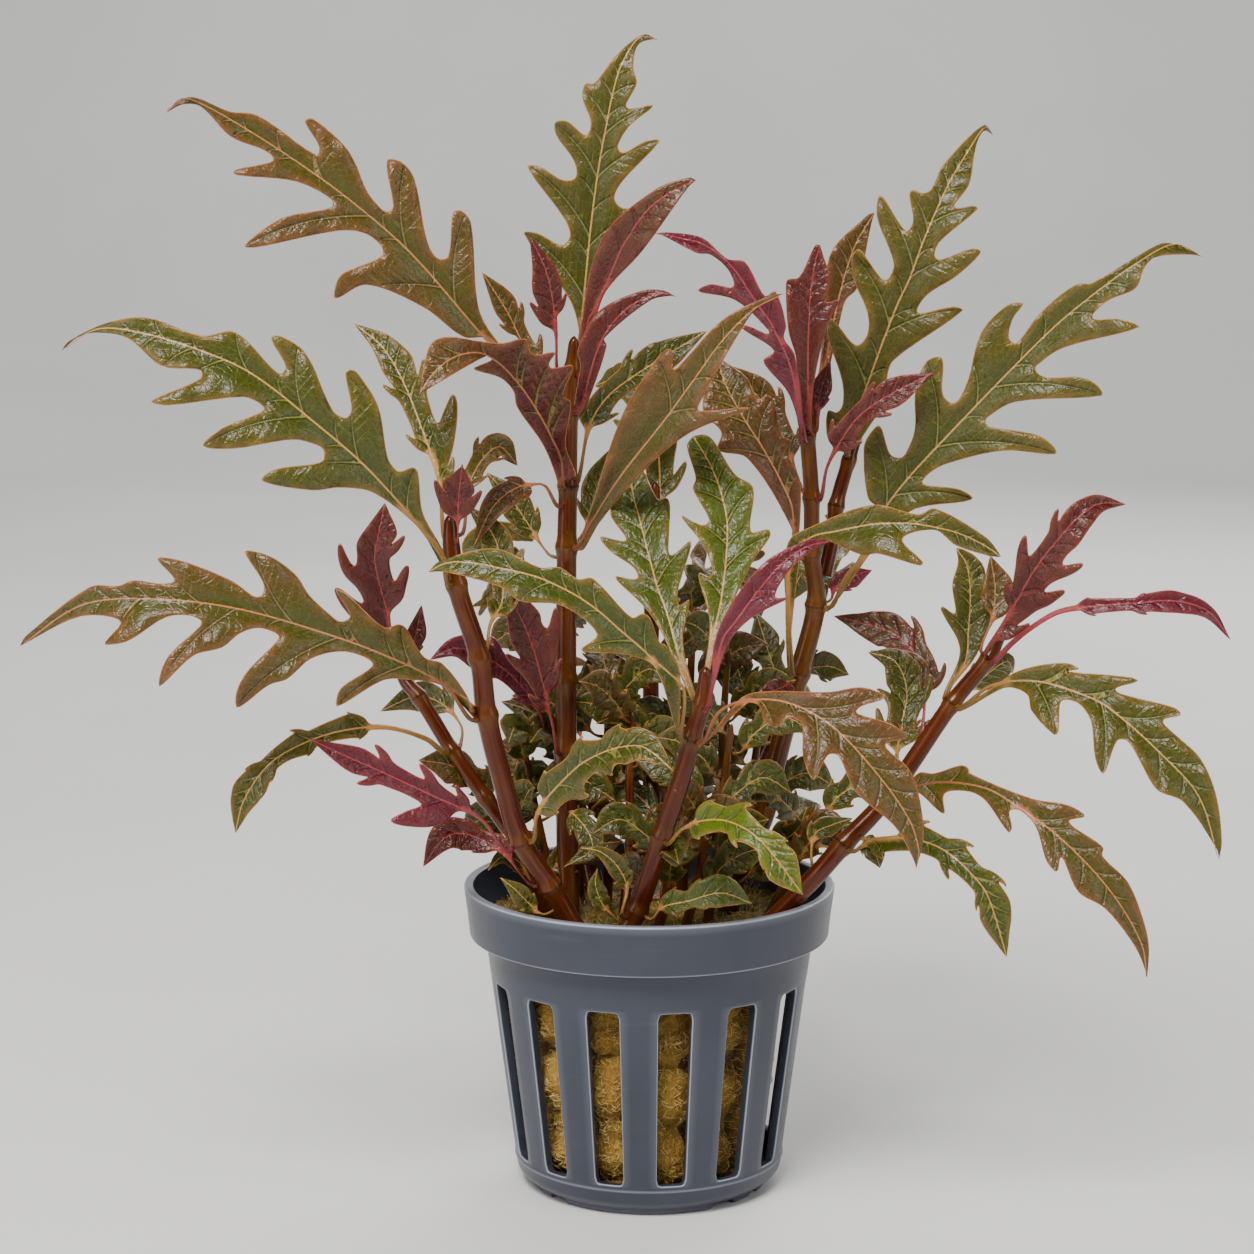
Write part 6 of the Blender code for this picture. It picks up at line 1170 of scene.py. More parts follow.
def lay_veins(plane, loop, length):
    """Side veins into the lobes and toward the notches, and the twigs that leave them."""
    veins, twigs = [], []
    for sign, side in zip((1.0, -1.0), plane.sides):
        s, w, _ = plane.measure(side)
        reach = np.abs(w)
        tips = []
        for k in range(2, len(side) - 2):
            near = reach[max(k - 5, 0):k + 6]
            if reach[k] >= near.max() and reach[k] > 1.1 and near.max() - near.min() > 0.25:
                if not tips or k - tips[-1] > 4:
                    tips.append(k)
        targets = [(s[k] - VEIN_SLOPE * reach[k], side[k], 1.0) for k in tips]
        for k, n in zip(tips, tips[1:]):
            low = k + int(reach[k:n].argmin())
            targets.append((s[low] - 0.95 * VEIN_SLOPE * reach[low] - 0.4, side[low], 0.8))
        last = tips[-1] if tips else len(side) // 2
        for share in (0.25, 0.45, 0.62, 0.78):
            k = int(last + (len(side) - 1 - last) * share)
            targets.append((s[k] - VEIN_SLOPE * reach[k], side[k], 0.9))
        for start, target, part in targets:
            root = plane.on_midrib(min(max(start, 0.03 * length), 0.96 * length))
            line = target - root
            size = np.linalg.norm(line)
            if size < 1.0:
                continue
            bow = np.array((line[1], -line[0])) * 0.07 * sign
            share = np.linspace(0.0, part, max(int(size * part / 0.5), 2) + 1)
            route = root + line * share[:, None] + bow * (share * (1.0 - share) * 4)[:, None]
            veins.append(route)
            heading = line / size
            for j, at in enumerate(np.arange(0.22, 0.93, max(1.5 / size, 0.12))):
                for turn in (0.85, -0.85):
                    at_side = at + 0.04 * turn
                    foot = root + line * at_side + bow * at_side * (1 - at_side) * 4
                    c, d = math.cos(turn), math.sin(turn)
                    out = np.array((heading[0] * c - heading[1] * d, heading[0] * d + heading[1] * c))
                    reach_out = min(0.32 * size, 3.2)
                    steps = np.linspace(0.0, reach_out, max(int(reach_out / 0.7), 1) + 1)
                    bend = 0.10 * steps**2 / max(reach_out, 1)
                    twigs.append(foot + out * steps[:, None] + heading * bend[:, None])
    kept = []
    for lines, floor in ((veins, 0.25), (twigs, 0.35)):
        good = []
        for line in lines:
            fine = inside(line, loop) & (nearest(line, np.vstack([loop, loop[:1]]))[0] > floor)
            fine[0] = True
            stop = len(fine) if fine.all() else int(np.argmin(fine))
            if stop >= 2:
                good.append(line[:stop])
        kept.append(good)
    return kept


def triangulate(loop, lines, spacing, noise):
    """Triangles over an outline, following the given inner lines."""
    closed = np.vstack([loop, loop[:1]])
    fixed = np.vstack([loop] + lines) if lines else loop
    low, high = loop.min(axis=0), loop.max(axis=0)
    rows = np.arange(low[1], high[1], spacing * 0.866)
    grid = np.array([(x + (spacing / 2 if k % 2 else 0.0), y)
                     for k, y in enumerate(rows) for x in np.arange(low[0], high[0], spacing)])
    grid = grid + noise.uniform(-0.12, 0.12, grid.shape) * spacing
    inner = np.roll(loop, -1, axis=0) - np.roll(loop, 1, axis=0)
    inner /= np.maximum(np.linalg.norm(inner, axis=1), 1e-9)[:, None]
    inner = np.stack([-inner[:, 1], inner[:, 0]], axis=1)
    for depth in (0.16, 0.45):
        ring = loop + inner * depth
        ring = ring[inside(ring, loop)]
        ring = ring[nearest(ring, closed)[0] > depth * 0.8]
        fixed = np.vstack([fixed, ring])
    grid = grid[inside(grid, loop)]
    if len(grid):
        grid = grid[nearest(grid, closed)[0] > 0.42]
    if len(grid):
        away = np.array([((fixed - g)**2).sum(axis=1).min() for g in grid])
        grid = grid[away > (0.45 * spacing)**2]
    everything = np.vstack([fixed, grid])
    edges = []
    start = len(loop)
    for line in lines:
        edges += [(start + k, start + k + 1) for k in range(len(line) - 1)]
        start += len(line)
    flat, _, faces, _, _, _ = delaunay_2d_cdt([Vector(p) for p in everything], edges,
                                              [tuple(range(len(loop)))], 1, 0.004)
    return np.array([tuple(p) for p in flat]), np.array([f for f in faces if len(f) == 3])


def line_distance(points, lines, taper):
    """Millimetres to the nearest of the lines, which count as thinner towards their ends."""
    best = np.full(len(points), 9.0)
    for line in lines:
        low, high = line.min(axis=0) - 2.0, line.max(axis=0) + 2.0
        near = np.all((points > low) & (points < high), axis=1)
        if near.any():
            away, index = nearest(points[near], line)
            best[near] = np.minimum(best[near], away + taper * index / (len(line) - 1))
    return best


# How the flat blade is lifted, in millimetres: it rises from the midrib and falls back towards
# the edge, its skin is raised between veins and twigs, and its edge is waved and rolled down
BLADE_RISE, BLADE_FALL = math.tan(math.radians(13.0)), 0.020
CUSHION, CUSHION_REACH = 0.42, 0.9
TWIG_CUSHION, TWIG_REACH = 0.05, 0.45
WAVE, WAVE_REACH = 0.28, 1.6
ROLL, ROLL_REACH = 0.30, 0.45
THICK_MIDDLE, THIN_BY = 0.30, 0.14


def blade_lift(s, w, rim, vein, twig, length, seed):
    """How high each point of a blade lies over its flat form."""
    out = np.abs(w)
    half = np.maximum(out - STALK_HALF_WIDTH, 0.0)
    open_blade = np.minimum(half / 1.5, 1.0)
    size = min(1.0, 0.35 + length / 85.0)
    lift = BLADE_RISE * out - BLADE_FALL * half**2
    lift += CUSHION * size * (1.0 - np.exp(-(vein / CUSHION_REACH) ** 2)) * open_blade
    lift += TWIG_CUSHION * size * (1.0 - np.exp(-(twig / TWIG_REACH) ** 2)) * open_blade
    wave = np.sin(2 * math.pi * s / 8.5 + seed)
    wave += 0.6 * np.sin(2 * math.pi * s / 3.7 + 2.1 * seed + 0.3 * w)
    lift += WAVE * size * wave * np.exp(-rim / WAVE_REACH) * np.minimum(out / 3.0, 1.2)
    return lift - ROLL * np.exp(-(rim / ROLL_REACH) ** 2) * np.minimum(out / 3.0, 1.0)


def make_blade(plane, length, seed, step, spacing, noise):
    """Points, attributes, flat coordinates and faces of one blade, upper skin then lower skin."""
    left, right = plane.sides
    loop = np.vstack([left, right[::-1][1:]])
    after = np.roll(loop, -1, axis=0)
    if (loop[:, 0] * after[:, 1] - loop[:, 1] * after[:, 0]).sum() < 0:
        loop = loop[::-1]
    veins, twigs = lay_veins(plane, loop, length)
    spine = plane.spine[inside(plane.spine, loop)]
    spine = even_path([Vector((x, y, 0.0)) for x, y in spine], 0.7)[0][:, :2]
    flat, faces = triangulate(loop, [spine] + veins + twigs, spacing, noise)

    s, w, foot = plane.measure(flat)
    places, towards = plane.spread(flat, s, w, foot)
    rim = nearest(flat, np.vstack([loop, loop[:1]]))[0]
    vein = line_distance(flat, veins, 0.10)
    twig = line_distance(flat, twigs, 0.10)
    out = np.abs(w)
    lift = blade_lift(s, w, rim, vein, twig, length, seed)

    pairs = np.sort(np.concatenate([faces[:, [0, 1]], faces[:, [1, 2]], faces[:, [2, 0]]]), axis=1)
    edge, count = np.unique(pairs, axis=0, return_counts=True)
    border = np.zeros(len(flat), bool)
    border[edge[count == 1].ravel()] = True
    thick = np.where(border, 0.0, THICK_MIDDLE - THIN_BY * np.minimum(out / 4.0, 1.0))
    upper = places + towards * (lift + thick / 2)[:, None]
    lower = places + towards * (lift - thick / 2)[:, None]
    keep = np.unique(faces[~border[faces]])
    under_index = np.arange(len(flat))
    under_index[keep] = len(flat) + np.arange(len(keep))
    lower_faces = under_index[faces[:, ::-1]]

    def both(field):
        return np.concatenate([field, field[keep]])

    share = np.minimum(out / (out + rim + 0.01), 1.0)
    fine = max(1.0, 36.0 / length)
    attributes = {
        "vein": both(vein * fine**0.6),
        "twig": both(twig * fine**0.6),
        "mid": both(out * fine**0.5 + 0.08 * s / length),
        "rim": both(rim * fine + 0.6 * (out < 0.75)),
        "edge_share": both(0.55 * share + 0.25 * s / length),
        "under": np.concatenate([np.zeros(len(flat)), np.ones(len(keep))]),
        "petiole": both(np.clip((0.95 - out - rim) / 0.3, 0.0, 1.0) * (s < 0.5 * length)),
    }
    points = np.concatenate([upper, lower[keep]])
    return points, attributes, (both(s), both(w)), [tuple(f) for f in np.concatenate([faces, lower_faces])]


CORD_SIDES = 8
# What the blade's measures are on the cord, where it has none of its own
CORD_VALUES = {
    "vein": 3.0, "twig": 3.0, "mid": 0.0, "rim": 3.0, "edge_share": 0.4, "under": 0.0, "petiole": 1.0,
}


def midrib(frames):
    """The raised cord along the midrib, which is also the leaf stalk."""
    length = frames[1][-1]
    s = np.linspace(0.0, length * 0.985, max(int(length / 0.8), 10))
    place, left, normal, scale = at_length(frames, s)
    half = 0.07 + 0.15 * np.exp(-s / (0.15 * length + 1.0)) + 0.14 * (1.0 - s / length)
    half *= min(1.0, 0.36 + length / 75.0)
    ring = []
    for a in np.linspace(0.0, 2 * math.pi, CORD_SIDES, endpoint=False):
        up = math.sin(a)
        tall = 0.60 * half + 0.05 if up > 0 else 1.15 * half
        ring.append(place + left * (half * math.cos(a))[:, None] + normal * (tall * up)[:, None])
    points = np.stack(ring, axis=1).reshape(-1, 3)
    return points, np.repeat(s, CORD_SIDES), tube_faces(len(s), CORD_SIDES)


def leaf_parts(name, stem_rows, rib, shape, seed, tone, step, spacing, noise):
    """Everything of one leaf as points, attributes, vectors and faces."""
    frames = midrib_frames(leave_stem(stem_rows, rib))
    length = frames[1][-1]
    if name in OUTLINES:
        plane = SeenPlane(frames, *OUTLINES[name], step)
    else:
        plane = RibPlane(frames, *shape, step)
    points, attributes, (s, w), faces = make_blade(plane, length, seed, step, spacing, noise)
    cord, along, cord_faces = midrib(frames)
    faces = faces + [tuple(i + len(points) for i in face) for face in cord_faces]
    points = np.concatenate([points, cord])
    s = np.concatenate([s, along])
    w = np.concatenate([w, np.zeros(len(cord))])
    for key, value in CORD_VALUES.items():
        attributes[key] = np.concatenate([attributes[key], np.full(len(cord), value)])
    attributes["stalk"] = np.clip(1.15 - s / (0.28 * length), 0.0, 1.0)
    attributes["tone"] = np.full(len(points), tone)
    attributes["blush"] = LEAF_BLUSH.get(name, 0.0) * np.clip((0.85 - s / length) / 0.4, 0.0, 1.0)
    return points, attributes, np.stack([s, w, np.full(len(points), 11.3 * seed)], axis=1), faces


def join_parts(parts):
    """Several leaves as one set of points, attributes, vectors and faces."""
    shift, faces = 0, []
    for points, attributes, vector, part_faces in parts:
        faces += [tuple(i + shift for i in face) for face in part_faces]
        shift += len(points)
    attributes = {key: np.concatenate([part[1][key] for part in parts]) for key in parts[0][1]}
    return (np.concatenate([part[0] for part in parts]), attributes,
            np.concatenate([part[2] for part in parts]), faces)


# Pot

# Between these heights the wall is made of panels, one round each slot
PANEL_LOW, PANEL_HIGH = SLOT_LOW - 0.55, SLOT_HIGH + 0.9
# Points along the lower and upper side of a panel, and along its left and right side
PANEL_STEPS = (12, 26)
# A slot's width in degrees is taken at this radius
SLOT_RADIUS = 22.0
SLOT_CORNER = 0.75
SLOT_BEVEL = 0.18

# Middle and width in degrees of the notches in half of the foot; the other half repeats them
NOTCHES = [(-78.0, 5.0), (-48.5, 11.0), (38.0, 12.0), (60.0, 5.0)]
NOTCH_HEIGHT = 0.85
WELD_METRES = 0.00002


def body_radius(z):
    return BODY_LOW_RADIUS + (BODY_HIGH_RADIUS - BODY_LOW_RADIUS) * (z - 2.5) / (BAND_LOW - 2.5)


def arc(centre, radius, start, end, steps):
    """Points of a round corner in (radius, height)."""
    turns = [math.radians(start + (end - start) * k / steps) for k in range(steps + 1)]
    return [(centre[0] + radius * math.cos(a), centre[1] + radius * math.sin(a)) for a in turns]


def in_notch(angle):
    degrees = math.degrees(angle)
    for middle, width in NOTCHES:
        for turn in (0.0, 180.0):
            if abs((degrees - middle - turn + 180.0) % 360.0 - 180.0) < width / 2:
                return True
    return False


def pot_profiles():
    """Foot with the low wall, high wall with rim and ledge, and floor, each with how much painted highlight
    lies on it.
    """
    foot = [(12.0, 0.0), (15.6, 0.0), (16.2, 0.0)]
    foot += arc((FOOT_RADIUS - 0.5, 0.5), 0.5, -90, -10, 4)
    foot += [(FOOT_RADIUS + 0.25, 0.9), (FOOT_RADIUS + 0.9, 1.4), (FOOT_RADIUS + 1.55, 1.95),
             (BODY_LOW_RADIUS - 0.12, 2.4), (body_radius(3.0), 3.0), (body_radius(4.0) + 0.02, 4.0),
             (body_radius(4.3) + 0.16, 4.28), (body_radius(PANEL_LOW), PANEL_LOW)]
    foot_highlight = [0.0] * 3 + [0.15] * 5 + [0.0] * 6 + [0.4, 0.0]

    rim = [(body_radius(PANEL_HIGH), PANEL_HIGH), (body_radius(35.0), 35.0),
           (BODY_HIGH_RADIUS - 0.02, BAND_LOW - 0.5), (BODY_HIGH_RADIUS + 0.15, BAND_LOW - 0.12),
           (BODY_HIGH_RADIUS + 0.6, BAND_LOW)]
    rim += arc((BAND_RADIUS - 0.32, BAND_LOW + 0.32), 0.32, -90, 0, 5)
    rim += [(BAND_RADIUS + 0.3, BAND_LOW + 3.2), (RIM_RADIUS - 0.12, POT_HEIGHT - 1.4)]
    rim += arc((RIM_RADIUS - 0.34, POT_HEIGHT - 0.34), 0.34, 0, 90, 5)
    rim += arc((RIM_RADIUS - WALL + 0.3, POT_HEIGHT - 0.3), 0.3, 90, 180, 4)
    rim += [(BAND_RADIUS - WALL + 0.1, LEDGE_HEIGHT + 0.3), (BAND_RADIUS - WALL - 0.3, LEDGE_HEIGHT),
            (BODY_HIGH_RADIUS - WALL + 0.3, LEDGE_HEIGHT), (BODY_HIGH_RADIUS - WALL, LEDGE_HEIGHT - 0.3),
            (body_radius(PANEL_HIGH) - WALL, PANEL_HIGH)]
    rim_highlight = [0.0] * 5 + [0.1, 0.5, 0.9, 0.6, 0.2, 0.0] + [0.0] * 2 + [0.15, 0.55, 0.95, 0.9, 0.6, 0.45]
    rim_highlight += [0.5, 0.5, 0.4, 0.1, 0.0, 0.0, 0.1, 0.1, 0.0, 0.0]

    floor = [(body_radius(PANEL_LOW) - WALL, PANEL_LOW), (BODY_LOW_RADIUS - WALL - 0.1, 2.2),
             (BODY_LOW_RADIUS - WALL - 0.9, WALL), (8.0, WALL)]
    return (foot, foot_highlight), (rim, rim_highlight), (floor, [0.0] * len(floor))


def walk_round(left, right, low, high):
    """Points round a rectangle with the steps of a panel."""
    spots = []
    for side in range(4):
        steps = PANEL_STEPS[side % 2]
        for k in range(steps):
            across, up = (right - left) * k / steps, (high - low) * k / steps
            corners = ((left + across, low), (right, low + up), (right - across, high), (left, high - up))
            spots.append(corners[side])
    return spots


def slot_line(grow):
    """A slot's rounded outline grown by a margin, as (angle from the slot's middle, height)."""
    half = SLOT_WIDTH / 2 * SLOT_RADIUS + grow
    low, high = SLOT_LOW - grow, SLOT_HIGH + grow
    corner = SLOT_CORNER + grow
    spots = []
    for u, v in walk_round(-half, half, low, high):
        near_u = min(max(u, -half + corner), half - corner)
        near_v = min(max(v, low + corner), high - corner)
        share = corner / max(math.hypot(u - near_u, v - near_v), corner)
        spots.append(((near_u + (u - near_u) * share) / SLOT_RADIUS, near_v + (v - near_v) * share))
    return spots


def panel_layers():
    """Rings from a panel's border over the slot's edges to the border inside: line, depth, painted highlight.
    """
    half_pitch = math.pi / POT_COLUMNS
    border = walk_round(-half_pitch, half_pitch, PANEL_LOW, PANEL_HIGH)
    wide, edge, slot = slot_line(SLOT_BEVEL), slot_line(SLOT_BEVEL * 0.45), slot_line(0.0)
    middle = [((a + c) / 2, (b + d) / 2) for (a, b), (c, d) in zip(border, wide)]
    return [
        (border, 0.0, 0.0), (middle, 0.0, 0.0), (wide, 0.0, 0.1), (edge, 0.05, 0.9), (slot, 0.18, 0.35),
        (slot, 0.30, 0.0), (slot, WALL - 0.18, 0.0), (edge, WALL - 0.05, 0.0), (wide, WALL, 0.0),
        (border, WALL, 0.0),
    ]


def make_pot(material):
    """Rim, foot and floor turned on the axis, joined to wall panels with round-cornered slots."""
    pitch = 2 * math.pi / POT_COLUMNS
    count = POT_COLUMNS * PANEL_STEPS[0]
    angles = [POT_TURN - pitch / 2 + pitch * k / PANEL_STEPS[0] for k in range(count)]
    points, painted_highlight, faces = [], [], []
    for profile, flags in pot_profiles():
        faces += tube_faces(len(profile), count, len(points), closed=False)
        for (r, z), flag in zip(profile, flags):
            points += [(r * math.sin(a), -r * math.cos(a), z) for a in angles]
            painted_highlight += [flag] * count
    for ring in range(2, 9):
        for k, a in enumerate(angles):
            if in_notch(a):
                x, y, z = points[ring * count + k]
                points[ring * count + k] = (x, y, max(z, NOTCH_HEIGHT))
    for start, flip in ((0, True), (len(points) - count, False)):
        centre = len(points)
        points.append((0.0, 0.0, points[start][2]))
        painted_highlight.append(0.0)
        for k in range(count):
            n = (k + 1) % count
            faces.append((start + n, start + k, centre) if flip else (start + k, start + n, centre))

    layers = panel_layers()
    for column in range(POT_COLUMNS):
        middle = POT_TURN + column * pitch
        faces += tube_faces(len(layers), len(layers[0][0]), len(points), closed=False)
        for line, sunk, flag in layers:
            for a, z in line:
                r = body_radius(z) - sunk
                points.append((r * math.sin(middle + a), -r * math.cos(middle + a), z))
                painted_highlight.append(flag)
    pot = add_mesh("pot_moulded", points, faces, material, {"painted_highlight": painted_highlight})
    shape = bmesh.new()
    shape.from_mesh(pot.data)
    bmesh.ops.remove_doubles(shape, verts=shape.verts, dist=WELD_METRES)
    bmesh.ops.recalc_face_normals(shape, faces=shape.faces)
    shape.to_mesh(pot.data)
    shape.free()
    return pot


# Rockwool

BEAD_COLUMNS = 12
BEAD_TURN = math.radians(10.0)
BEAD_HEIGHT = 9.6
BEAD_CREASE = 13.0
BEAD_SINK = 1.2
BEAD_BULGE = 3.7
SIDE_BULGE = 1.3
GAP_TO_WALL = 0.3
PLUG_SIDES, PLUG_RINGS, PLUG_TOP_RINGS = 300, 130, 60
FIBRE_COUNT, MOSS_COUNT = 7400, 1500
MOSS_RADIUS = 24.0
THIRDS_OF_TURN = (0.0, 2.094, 4.189)


def plug_surface(angle, z):
    """Radius of the plug's lumpy side and how deep in a crease it is."""
    heights, radii = zip(*PLUG_PROFILE)
    base = np.interp(z, heights, radii) - 0.8 * np.sin(angle)
    turn = np.arcsin(np.sin(BEAD_COLUMNS / 2 * (angle - BEAD_TURN))) / (BEAD_COLUMNS / 2)
    shift = 0.8 * np.sin(angle * 3.0) + 0.6 * np.sin(angle * 8.0)
    row = np.abs(np.sin(math.pi * (z + shift - BEAD_CREASE) / BEAD_HEIGHT))
    half = np.radians(7.5 + 4.0 * np.sqrt(row)) + 0.02 * np.sin(z * 1.3 + 5.0 * angle)
    bulge = np.sqrt(np.clip(1.0 - (turn / half) ** 2, 0.0, 1.0)) * (0.45 + 0.55 * np.sqrt(row))
    crease = np.clip(1.0 - bulge / 0.55, 0.0, 1.0)
    lumps = 0.35 * np.sin(5.1 * angle + 0.9 * z) + 0.28 * np.sin(13.0 * angle - 1.7 * z)
    lumps += 0.16 * np.sin(23.0 * angle + 2.9 * z) + 0.20 * np.sin(31.0 * angle - 4.1 * z)
    radius = base - BEAD_SINK + BEAD_BULGE * bulge + SIDE_BULGE * np.sin(angle) ** 2 + 0.34 * lumps
    return np.minimum(radius, body_radius(z) - WALL - GAP_TO_WALL), crease


def make_rockwool(material, noise):
    """The plug: its beaded side, then rings over its uneven top, mossy in patches, with painted shade in its
    creases and low spots.
    """
    angles = np.linspace(0.0, 2 * math.pi, PLUG_SIDES, endpoint=False)
    none = np.zeros(PLUG_SIDES)
    points, crease, moss = [], [], []

    def add_ring(x, y, z, fold, green):
        points.append(np.stack([x, y, z], axis=1))
        crease.append(fold)
        moss.append(green)

    for z in np.linspace(PLUG_PROFILE[0][0], PLUG_PROFILE[-1][0], PLUG_RINGS):
        radius, fold = plug_surface(angles, none + z)
        radius = radius + noise.normal(0.0, 0.07, PLUG_SIDES)
        add_ring(radius * np.sin(angles), -radius * np.cos(angles), none + z, fold, none)
    for k, radius in enumerate([PLUG_LIP - 0.2, *np.linspace(PLUG_LIP, 1.0, PLUG_TOP_RINGS)]):
        x, y = radius * np.sin(angles), -radius * np.cos(angles)
        lift = 0.30 * np.sin(x * 0.9 + 1.0) * np.sin(y * 1.1) + 0.22 * np.sin(x * 2.3 - y * 1.7)
        lift += noise.normal(0.0, 0.08, PLUG_SIDES)
        patches = 0.55 + 0.8 * np.sin(x * 0.55 + 2.0) * np.sin(y * 0.6 + 1.0)
        if k == 0:
            add_ring(x, y, none + LEDGE_HEIGHT + 0.5, none, none)
        else:
            # Painted shade in the low spots of the top
            fold = np.clip(-lift * 0.9, 0.0, 0.6)
            add_ring(x, y, PLUG_TOP + lift - 0.15, fold, np.clip(patches, 0.15, 0.95))
    faces = tube_faces(len(points), PLUG_SIDES)
    return add_mesh("rockwool_plug", np.concatenate(points), faces, material,
                    {"crease": np.concatenate(crease), "moss": np.concatenate(moss)})


def add_strand(points, faces, moss, route, radius, green):
    """A thin three-sided fibre along a route."""
    start = len(points)
    for k, place in enumerate(route):
        ahead = route[min(k + 1, len(route) - 1)] - route[max(k - 1, 0)]
        ahead = ahead / (np.linalg.norm(ahead) + 1e-9)
        side = np.cross(ahead, (0.31, 0.2, 0.93))
        side /= np.linalg.norm(side) + 1e-9
        up = np.cross(ahead, side)
        thin = radius * (1.0 if 0 < k < len(route) - 1 else 0.35)
        for a in THIRDS_OF_TURN:
            points.append(place + (side * math.cos(a) + up * math.sin(a)) * thin)
            moss.append(green)
    faces += tube_faces(len(route), 3, start)


def make_fibres(material, noise):
    """Loose fibres on the side of the plug and mossy threads on its top."""
    points, faces, moss = [], [], []
    for _ in range(FIBRE_COUNT):
        angle = noise.uniform(0.0, 2 * math.pi)
        z = noise.uniform(2.6, 37.5)
        turn = noise.uniform(-0.055, 0.055)
        rise = noise.normal(0.0, 0.9)
        bow = noise.uniform(0.08, 0.60)
        route = []
        for t in (0.0, 0.33, 0.67, 1.0):
            a = angle + turn * (t - 0.5) * 2
            h = min(max(z + rise * (t - 0.5), 2.2), 38.2)
            r, fold = plug_surface(np.array([a]), np.array([h]))
            r = float(r[0]) + 0.04 + bow * math.sin(math.pi * t) * (1.0 - float(fold[0]))
            route.append(np.array((r * math.sin(a), -r * math.cos(a), h)))
        add_strand(points, faces, moss, route, noise.uniform(0.028, 0.060), 0.0)
    for _ in range(MOSS_COUNT):
        angle = noise.uniform(0.0, 2 * math.pi)
        r = MOSS_RADIUS * math.sqrt(noise.uniform(0.03, 1.0))
        base = np.array((r * math.sin(angle), -r * math.cos(angle), PLUG_TOP - 0.1))
        heading = noise.normal(0.0, 1.0, 3)
        heading[2] = abs(heading[2]) * 0.7 + 0.2
        heading /= np.linalg.norm(heading)
        tall = noise.uniform(0.6, 2.4)
        sag = noise.normal(0.0, 0.35, 3)
        route = [base + heading * tall * t + sag * t * (1 - t) * 2 for t in (0.0, 0.4, 0.75, 1.0)]
        if math.hypot(route[-1][0], route[-1][1]) < MOSS_RADIUS + 0.6:
            add_strand(points, faces, moss, route, noise.uniform(0.05, 0.11), noise.uniform(0.35, 1.0))
    return add_mesh("rockwool_loose_fibres", points, faces, material, {"moss": moss})


# Camera and light

def make_camera():
    data = bpy.data.cameras.new("camera")
    data.lens = CAMERA_LENS
    data.sensor_width = SENSOR_WIDTH
    data.clip_start, data.clip_end = 0.01, 20.0
    camera = bpy.data.objects.new("camera", data)
    camera.location = EYE * MM
    camera.rotation_euler = (math.pi / 2 - CAMERA_PITCH, 0.0, 0.0)
    bpy.context.scene.collection.objects.link(camera)
    bpy.context.scene.camera = camera


CENTRE = (0.0, 0.0, 0.08)
# Each light: name, place, aim, width and height, watts, colour, with all lengths in metres
LIGHTS = [
    ("key_above", (-0.16, -0.46, 0.62), CENTRE, (0.32, 0.24), 7.0, (1.0, 0.98, 0.95)),
    ("fill_left", (-0.70, -0.45, 0.30), CENTRE, (0.35, 0.60), 2.4, (1.0, 0.98, 0.95)),
    ("fill_right", (0.70, -0.40, 0.35), CENTRE, (0.35, 0.60), 2.2, (1.0, 0.99, 0.97)),
    ("fill_back", (0.35, 0.65, 0.50), CENTRE, (0.50, 0.40), 3.0, (1.0, 0.99, 0.97)),
    ("backdrop", (0.0, 0.75, 1.60), (0.0, 1.45, 0.50), (1.20, 0.40), 14.0, (1.0, 1.0, 1.0)),
]
WORLD_COLOUR, WORLD_STRENGTH = (1.0, 0.98, 0.95, 1.0), 0.10
# Floor in metres: front end, where it starts to curve up, radius of the curve, top, half width,
# and how far it lies under the pot
FLOOR_FRONT, FLOOR_BACK, FLOOR_BEND, FLOOR_TOP, FLOOR_HALF_WIDTH = -1.6, 1.0, 0.5, 2.6, 2.4
FLOOR_GAP = 0.00002


def make_light(name, place, aim, size, power, colour):
    data = bpy.data.lights.new(name, "AREA")
    data.shape = "RECTANGLE"
    data.size, data.size_y = size
    data.energy = power
    data.color = colour
    light = bpy.data.objects.new(name, data)
    light.location = place
    light.rotation_euler = (Vector(aim) - Vector(place)).to_track_quat("-Z", "Y").to_euler()
    bpy.context.scene.collection.objects.link(light)


def make_stage():
    """A pale floor that curves up into a backdrop, and soft lights from above, front and sides."""
    turns = np.linspace(0.15, math.pi / 2, 9)
    line = [(FLOOR_FRONT, 0.0), (FLOOR_BACK, 0.0)]
    line += [(FLOOR_BACK + FLOOR_BEND * math.sin(a), FLOOR_BEND - FLOOR_BEND * math.cos(a)) for a in turns]
    line += [(FLOOR_BACK + FLOOR_BEND, FLOOR_TOP)]
    ends = (-FLOOR_HALF_WIDTH, FLOOR_HALF_WIDTH)
    points = [(x / MM, y / MM, (z - FLOOR_GAP) / MM) for y, z in line for x in ends]
    faces = [(2 * k, 2 * k + 1, 2 * k + 3, 2 * k + 2) for k in range(len(line) - 1)]
    add_mesh("studio_floor", points, faces, floor_material())
    world = bpy.data.worlds.new("studio")
    world.use_nodes = True
    background = world.node_tree.nodes["Background"]
    background.inputs[0].default_value = WORLD_COLOUR
    background.inputs[1].default_value = WORLD_STRENGTH
    bpy.context.scene.world = world
    for light in LIGHTS:
        make_light(*light)


# Each row of a shoot: share of the way from foot to tip, bow, radius, and whether leaves grow there
SHOOT_ROWS = ((0.0, 0.0, 0.75, 0), (0.4, 0.5, 0.7, 1), (0.75, 0.0, 0.62, 1), (1.0, 0.0, 0.45, 0))
# Where the leaves of a shoot leave it, counted in rows, and the lobes and notches of each
SHOOT_LEAF_PLACES = (0.9, 1.5, 2.1, 2.6, 2.95)
SHOOT_LEAF_SHAPE = ([(40, 2.6), (62, 2.9)], [(42, 2.6), (65, 2.8)], 0.75)
TURN_BETWEEN_LEAVES = 2.4


def between_rows(a, b, share):
    return [p * (1.0 - share) + q * share for p, q in zip(a, b)]


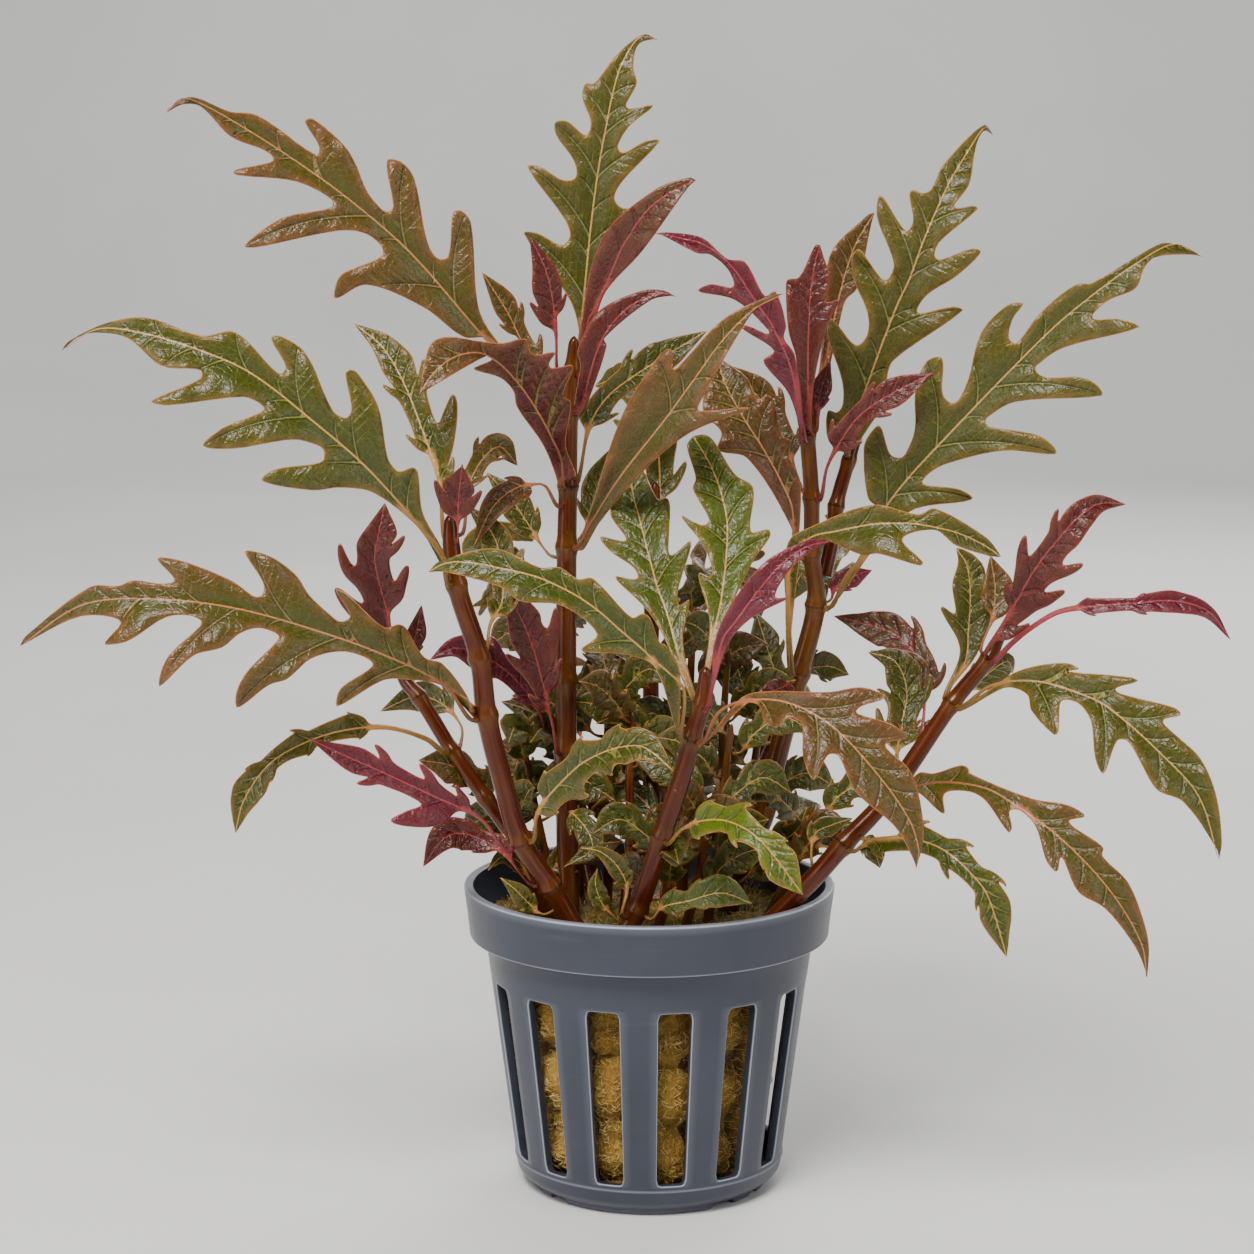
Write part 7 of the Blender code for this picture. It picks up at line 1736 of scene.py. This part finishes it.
def shoot_rows(foot, tip):
    """Rows like those of STEMS for one thin shoot."""
    rows = []
    for share, bow, radius, node in SHOOT_ROWS:
        x, z, y = between_rows(foot, tip, share)
        rows.append((x + bow, z, y, radius, node))
    return rows


def shoot_leaf(rows, k, j, noise):
    """Leaf j of shoot k, which leans out in its own direction."""
    low = min(int(SHOOT_LEAF_PLACES[j]), len(rows) - 2)
    x, z, y = between_rows(rows[low][:3], rows[low + 1][:3], SHOOT_LEAF_PLACES[j] - low)
    angle = TURN_BETWEEN_LEAVES * (5 * k + j) + 0.7
    reach = 10.0 + 4.5 * noise.uniform()
    dx, dy = reach * math.cos(angle), reach * math.sin(angle)
    rib = [(x, z, y), (x + 0.3 * dx, z + 2.6, y + 0.35 * dy), (x + 0.65 * dx, z + 5.2, y + 0.7 * dy),
           (x + dx, z + 6.0 - 3.0 * (j % 2), y + dy)]
    tone = 0.2 + 0.15 * (j % 3)
    return leaf_parts("shoot_leaf", rows, rib, SHOOT_LEAF_SHAPE, 1.3 * j + k, tone, 0.6, 0.9, noise)


def main():
    noise = np.random.default_rng(7)
    materials = {name: leaf_material(name) for name in LEAF_COLOURS}
    stem_skin = stem_material()

    pot = make_pot(pot_material())
    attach(pot, "root")
    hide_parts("pot")

    plug = make_rockwool(wool_material(), noise)
    fibres = make_fibres(fibre_material(), noise)
    for piece in (plug, fibres):
        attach(piece, "root")
    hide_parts("rockwool")

    for name, rows in STEMS.items():
        stem = make_stem(name, rows, STEM_TONES.get(name, 0.2), stem_skin)
        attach(stem, "root")
        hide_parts(name)
    shoots = [shoot_rows(row[:3], row[3:]) for row in SHOOTS]
    for k, rows in enumerate(shoots):
        shoot = make_stem("shoot_%d" % (k + 1), rows, 0.35 + 0.1 * (k % 4), stem_skin)
        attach(shoot, "root")

    for k, (name, (stem, slot, rib, *shape)) in enumerate(LEAVES.items()):
        step, spacing = (0.42, 0.62) if name in OUTLINES else (0.45, 0.70)
        tone = LEAF_TONES.get(name, 0.4)
        points, attributes, vector, faces = leaf_parts(
            name, STEMS[stem], rib, shape, 1.7 * k + 0.4, tone, step, spacing, noise)
        leaf = add_mesh(name + "_blade", points, faces, materials[slot], attributes, {"leaf_at": vector})
        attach(leaf, "root")
        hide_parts(name)

    groups = {}
    for k, (name, (stem, slot, rib, *shape)) in enumerate(SMALL_LEAVES.items()):
        tone = 0.2 + 0.2 * (k % 3)
        parts = leaf_parts(name, STEMS[stem], rib, shape, 0.9 * k + 3.0, tone, 0.55, 0.8, noise)
        groups.setdefault(("small", slot), []).append(parts)
    for k, rows in enumerate(shoots):
        for j in range(len(SHOOT_LEAF_PLACES)):
            slot = "leaf_green" if (j + k) % 4 else "leaf_bronze"
            groups.setdefault(("shoot", slot), []).append(shoot_leaf(rows, k, j, noise))
    for (kind, slot), parts in groups.items():
        points, attributes, vector, faces = join_parts(parts)
        name = kind + slot.replace("leaf_", "_leaves_")
        piece = add_mesh(name, points, faces, materials[slot], attributes, {"leaf_at": vector})
        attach(piece, "root")

    make_stage()
    make_camera()


main()
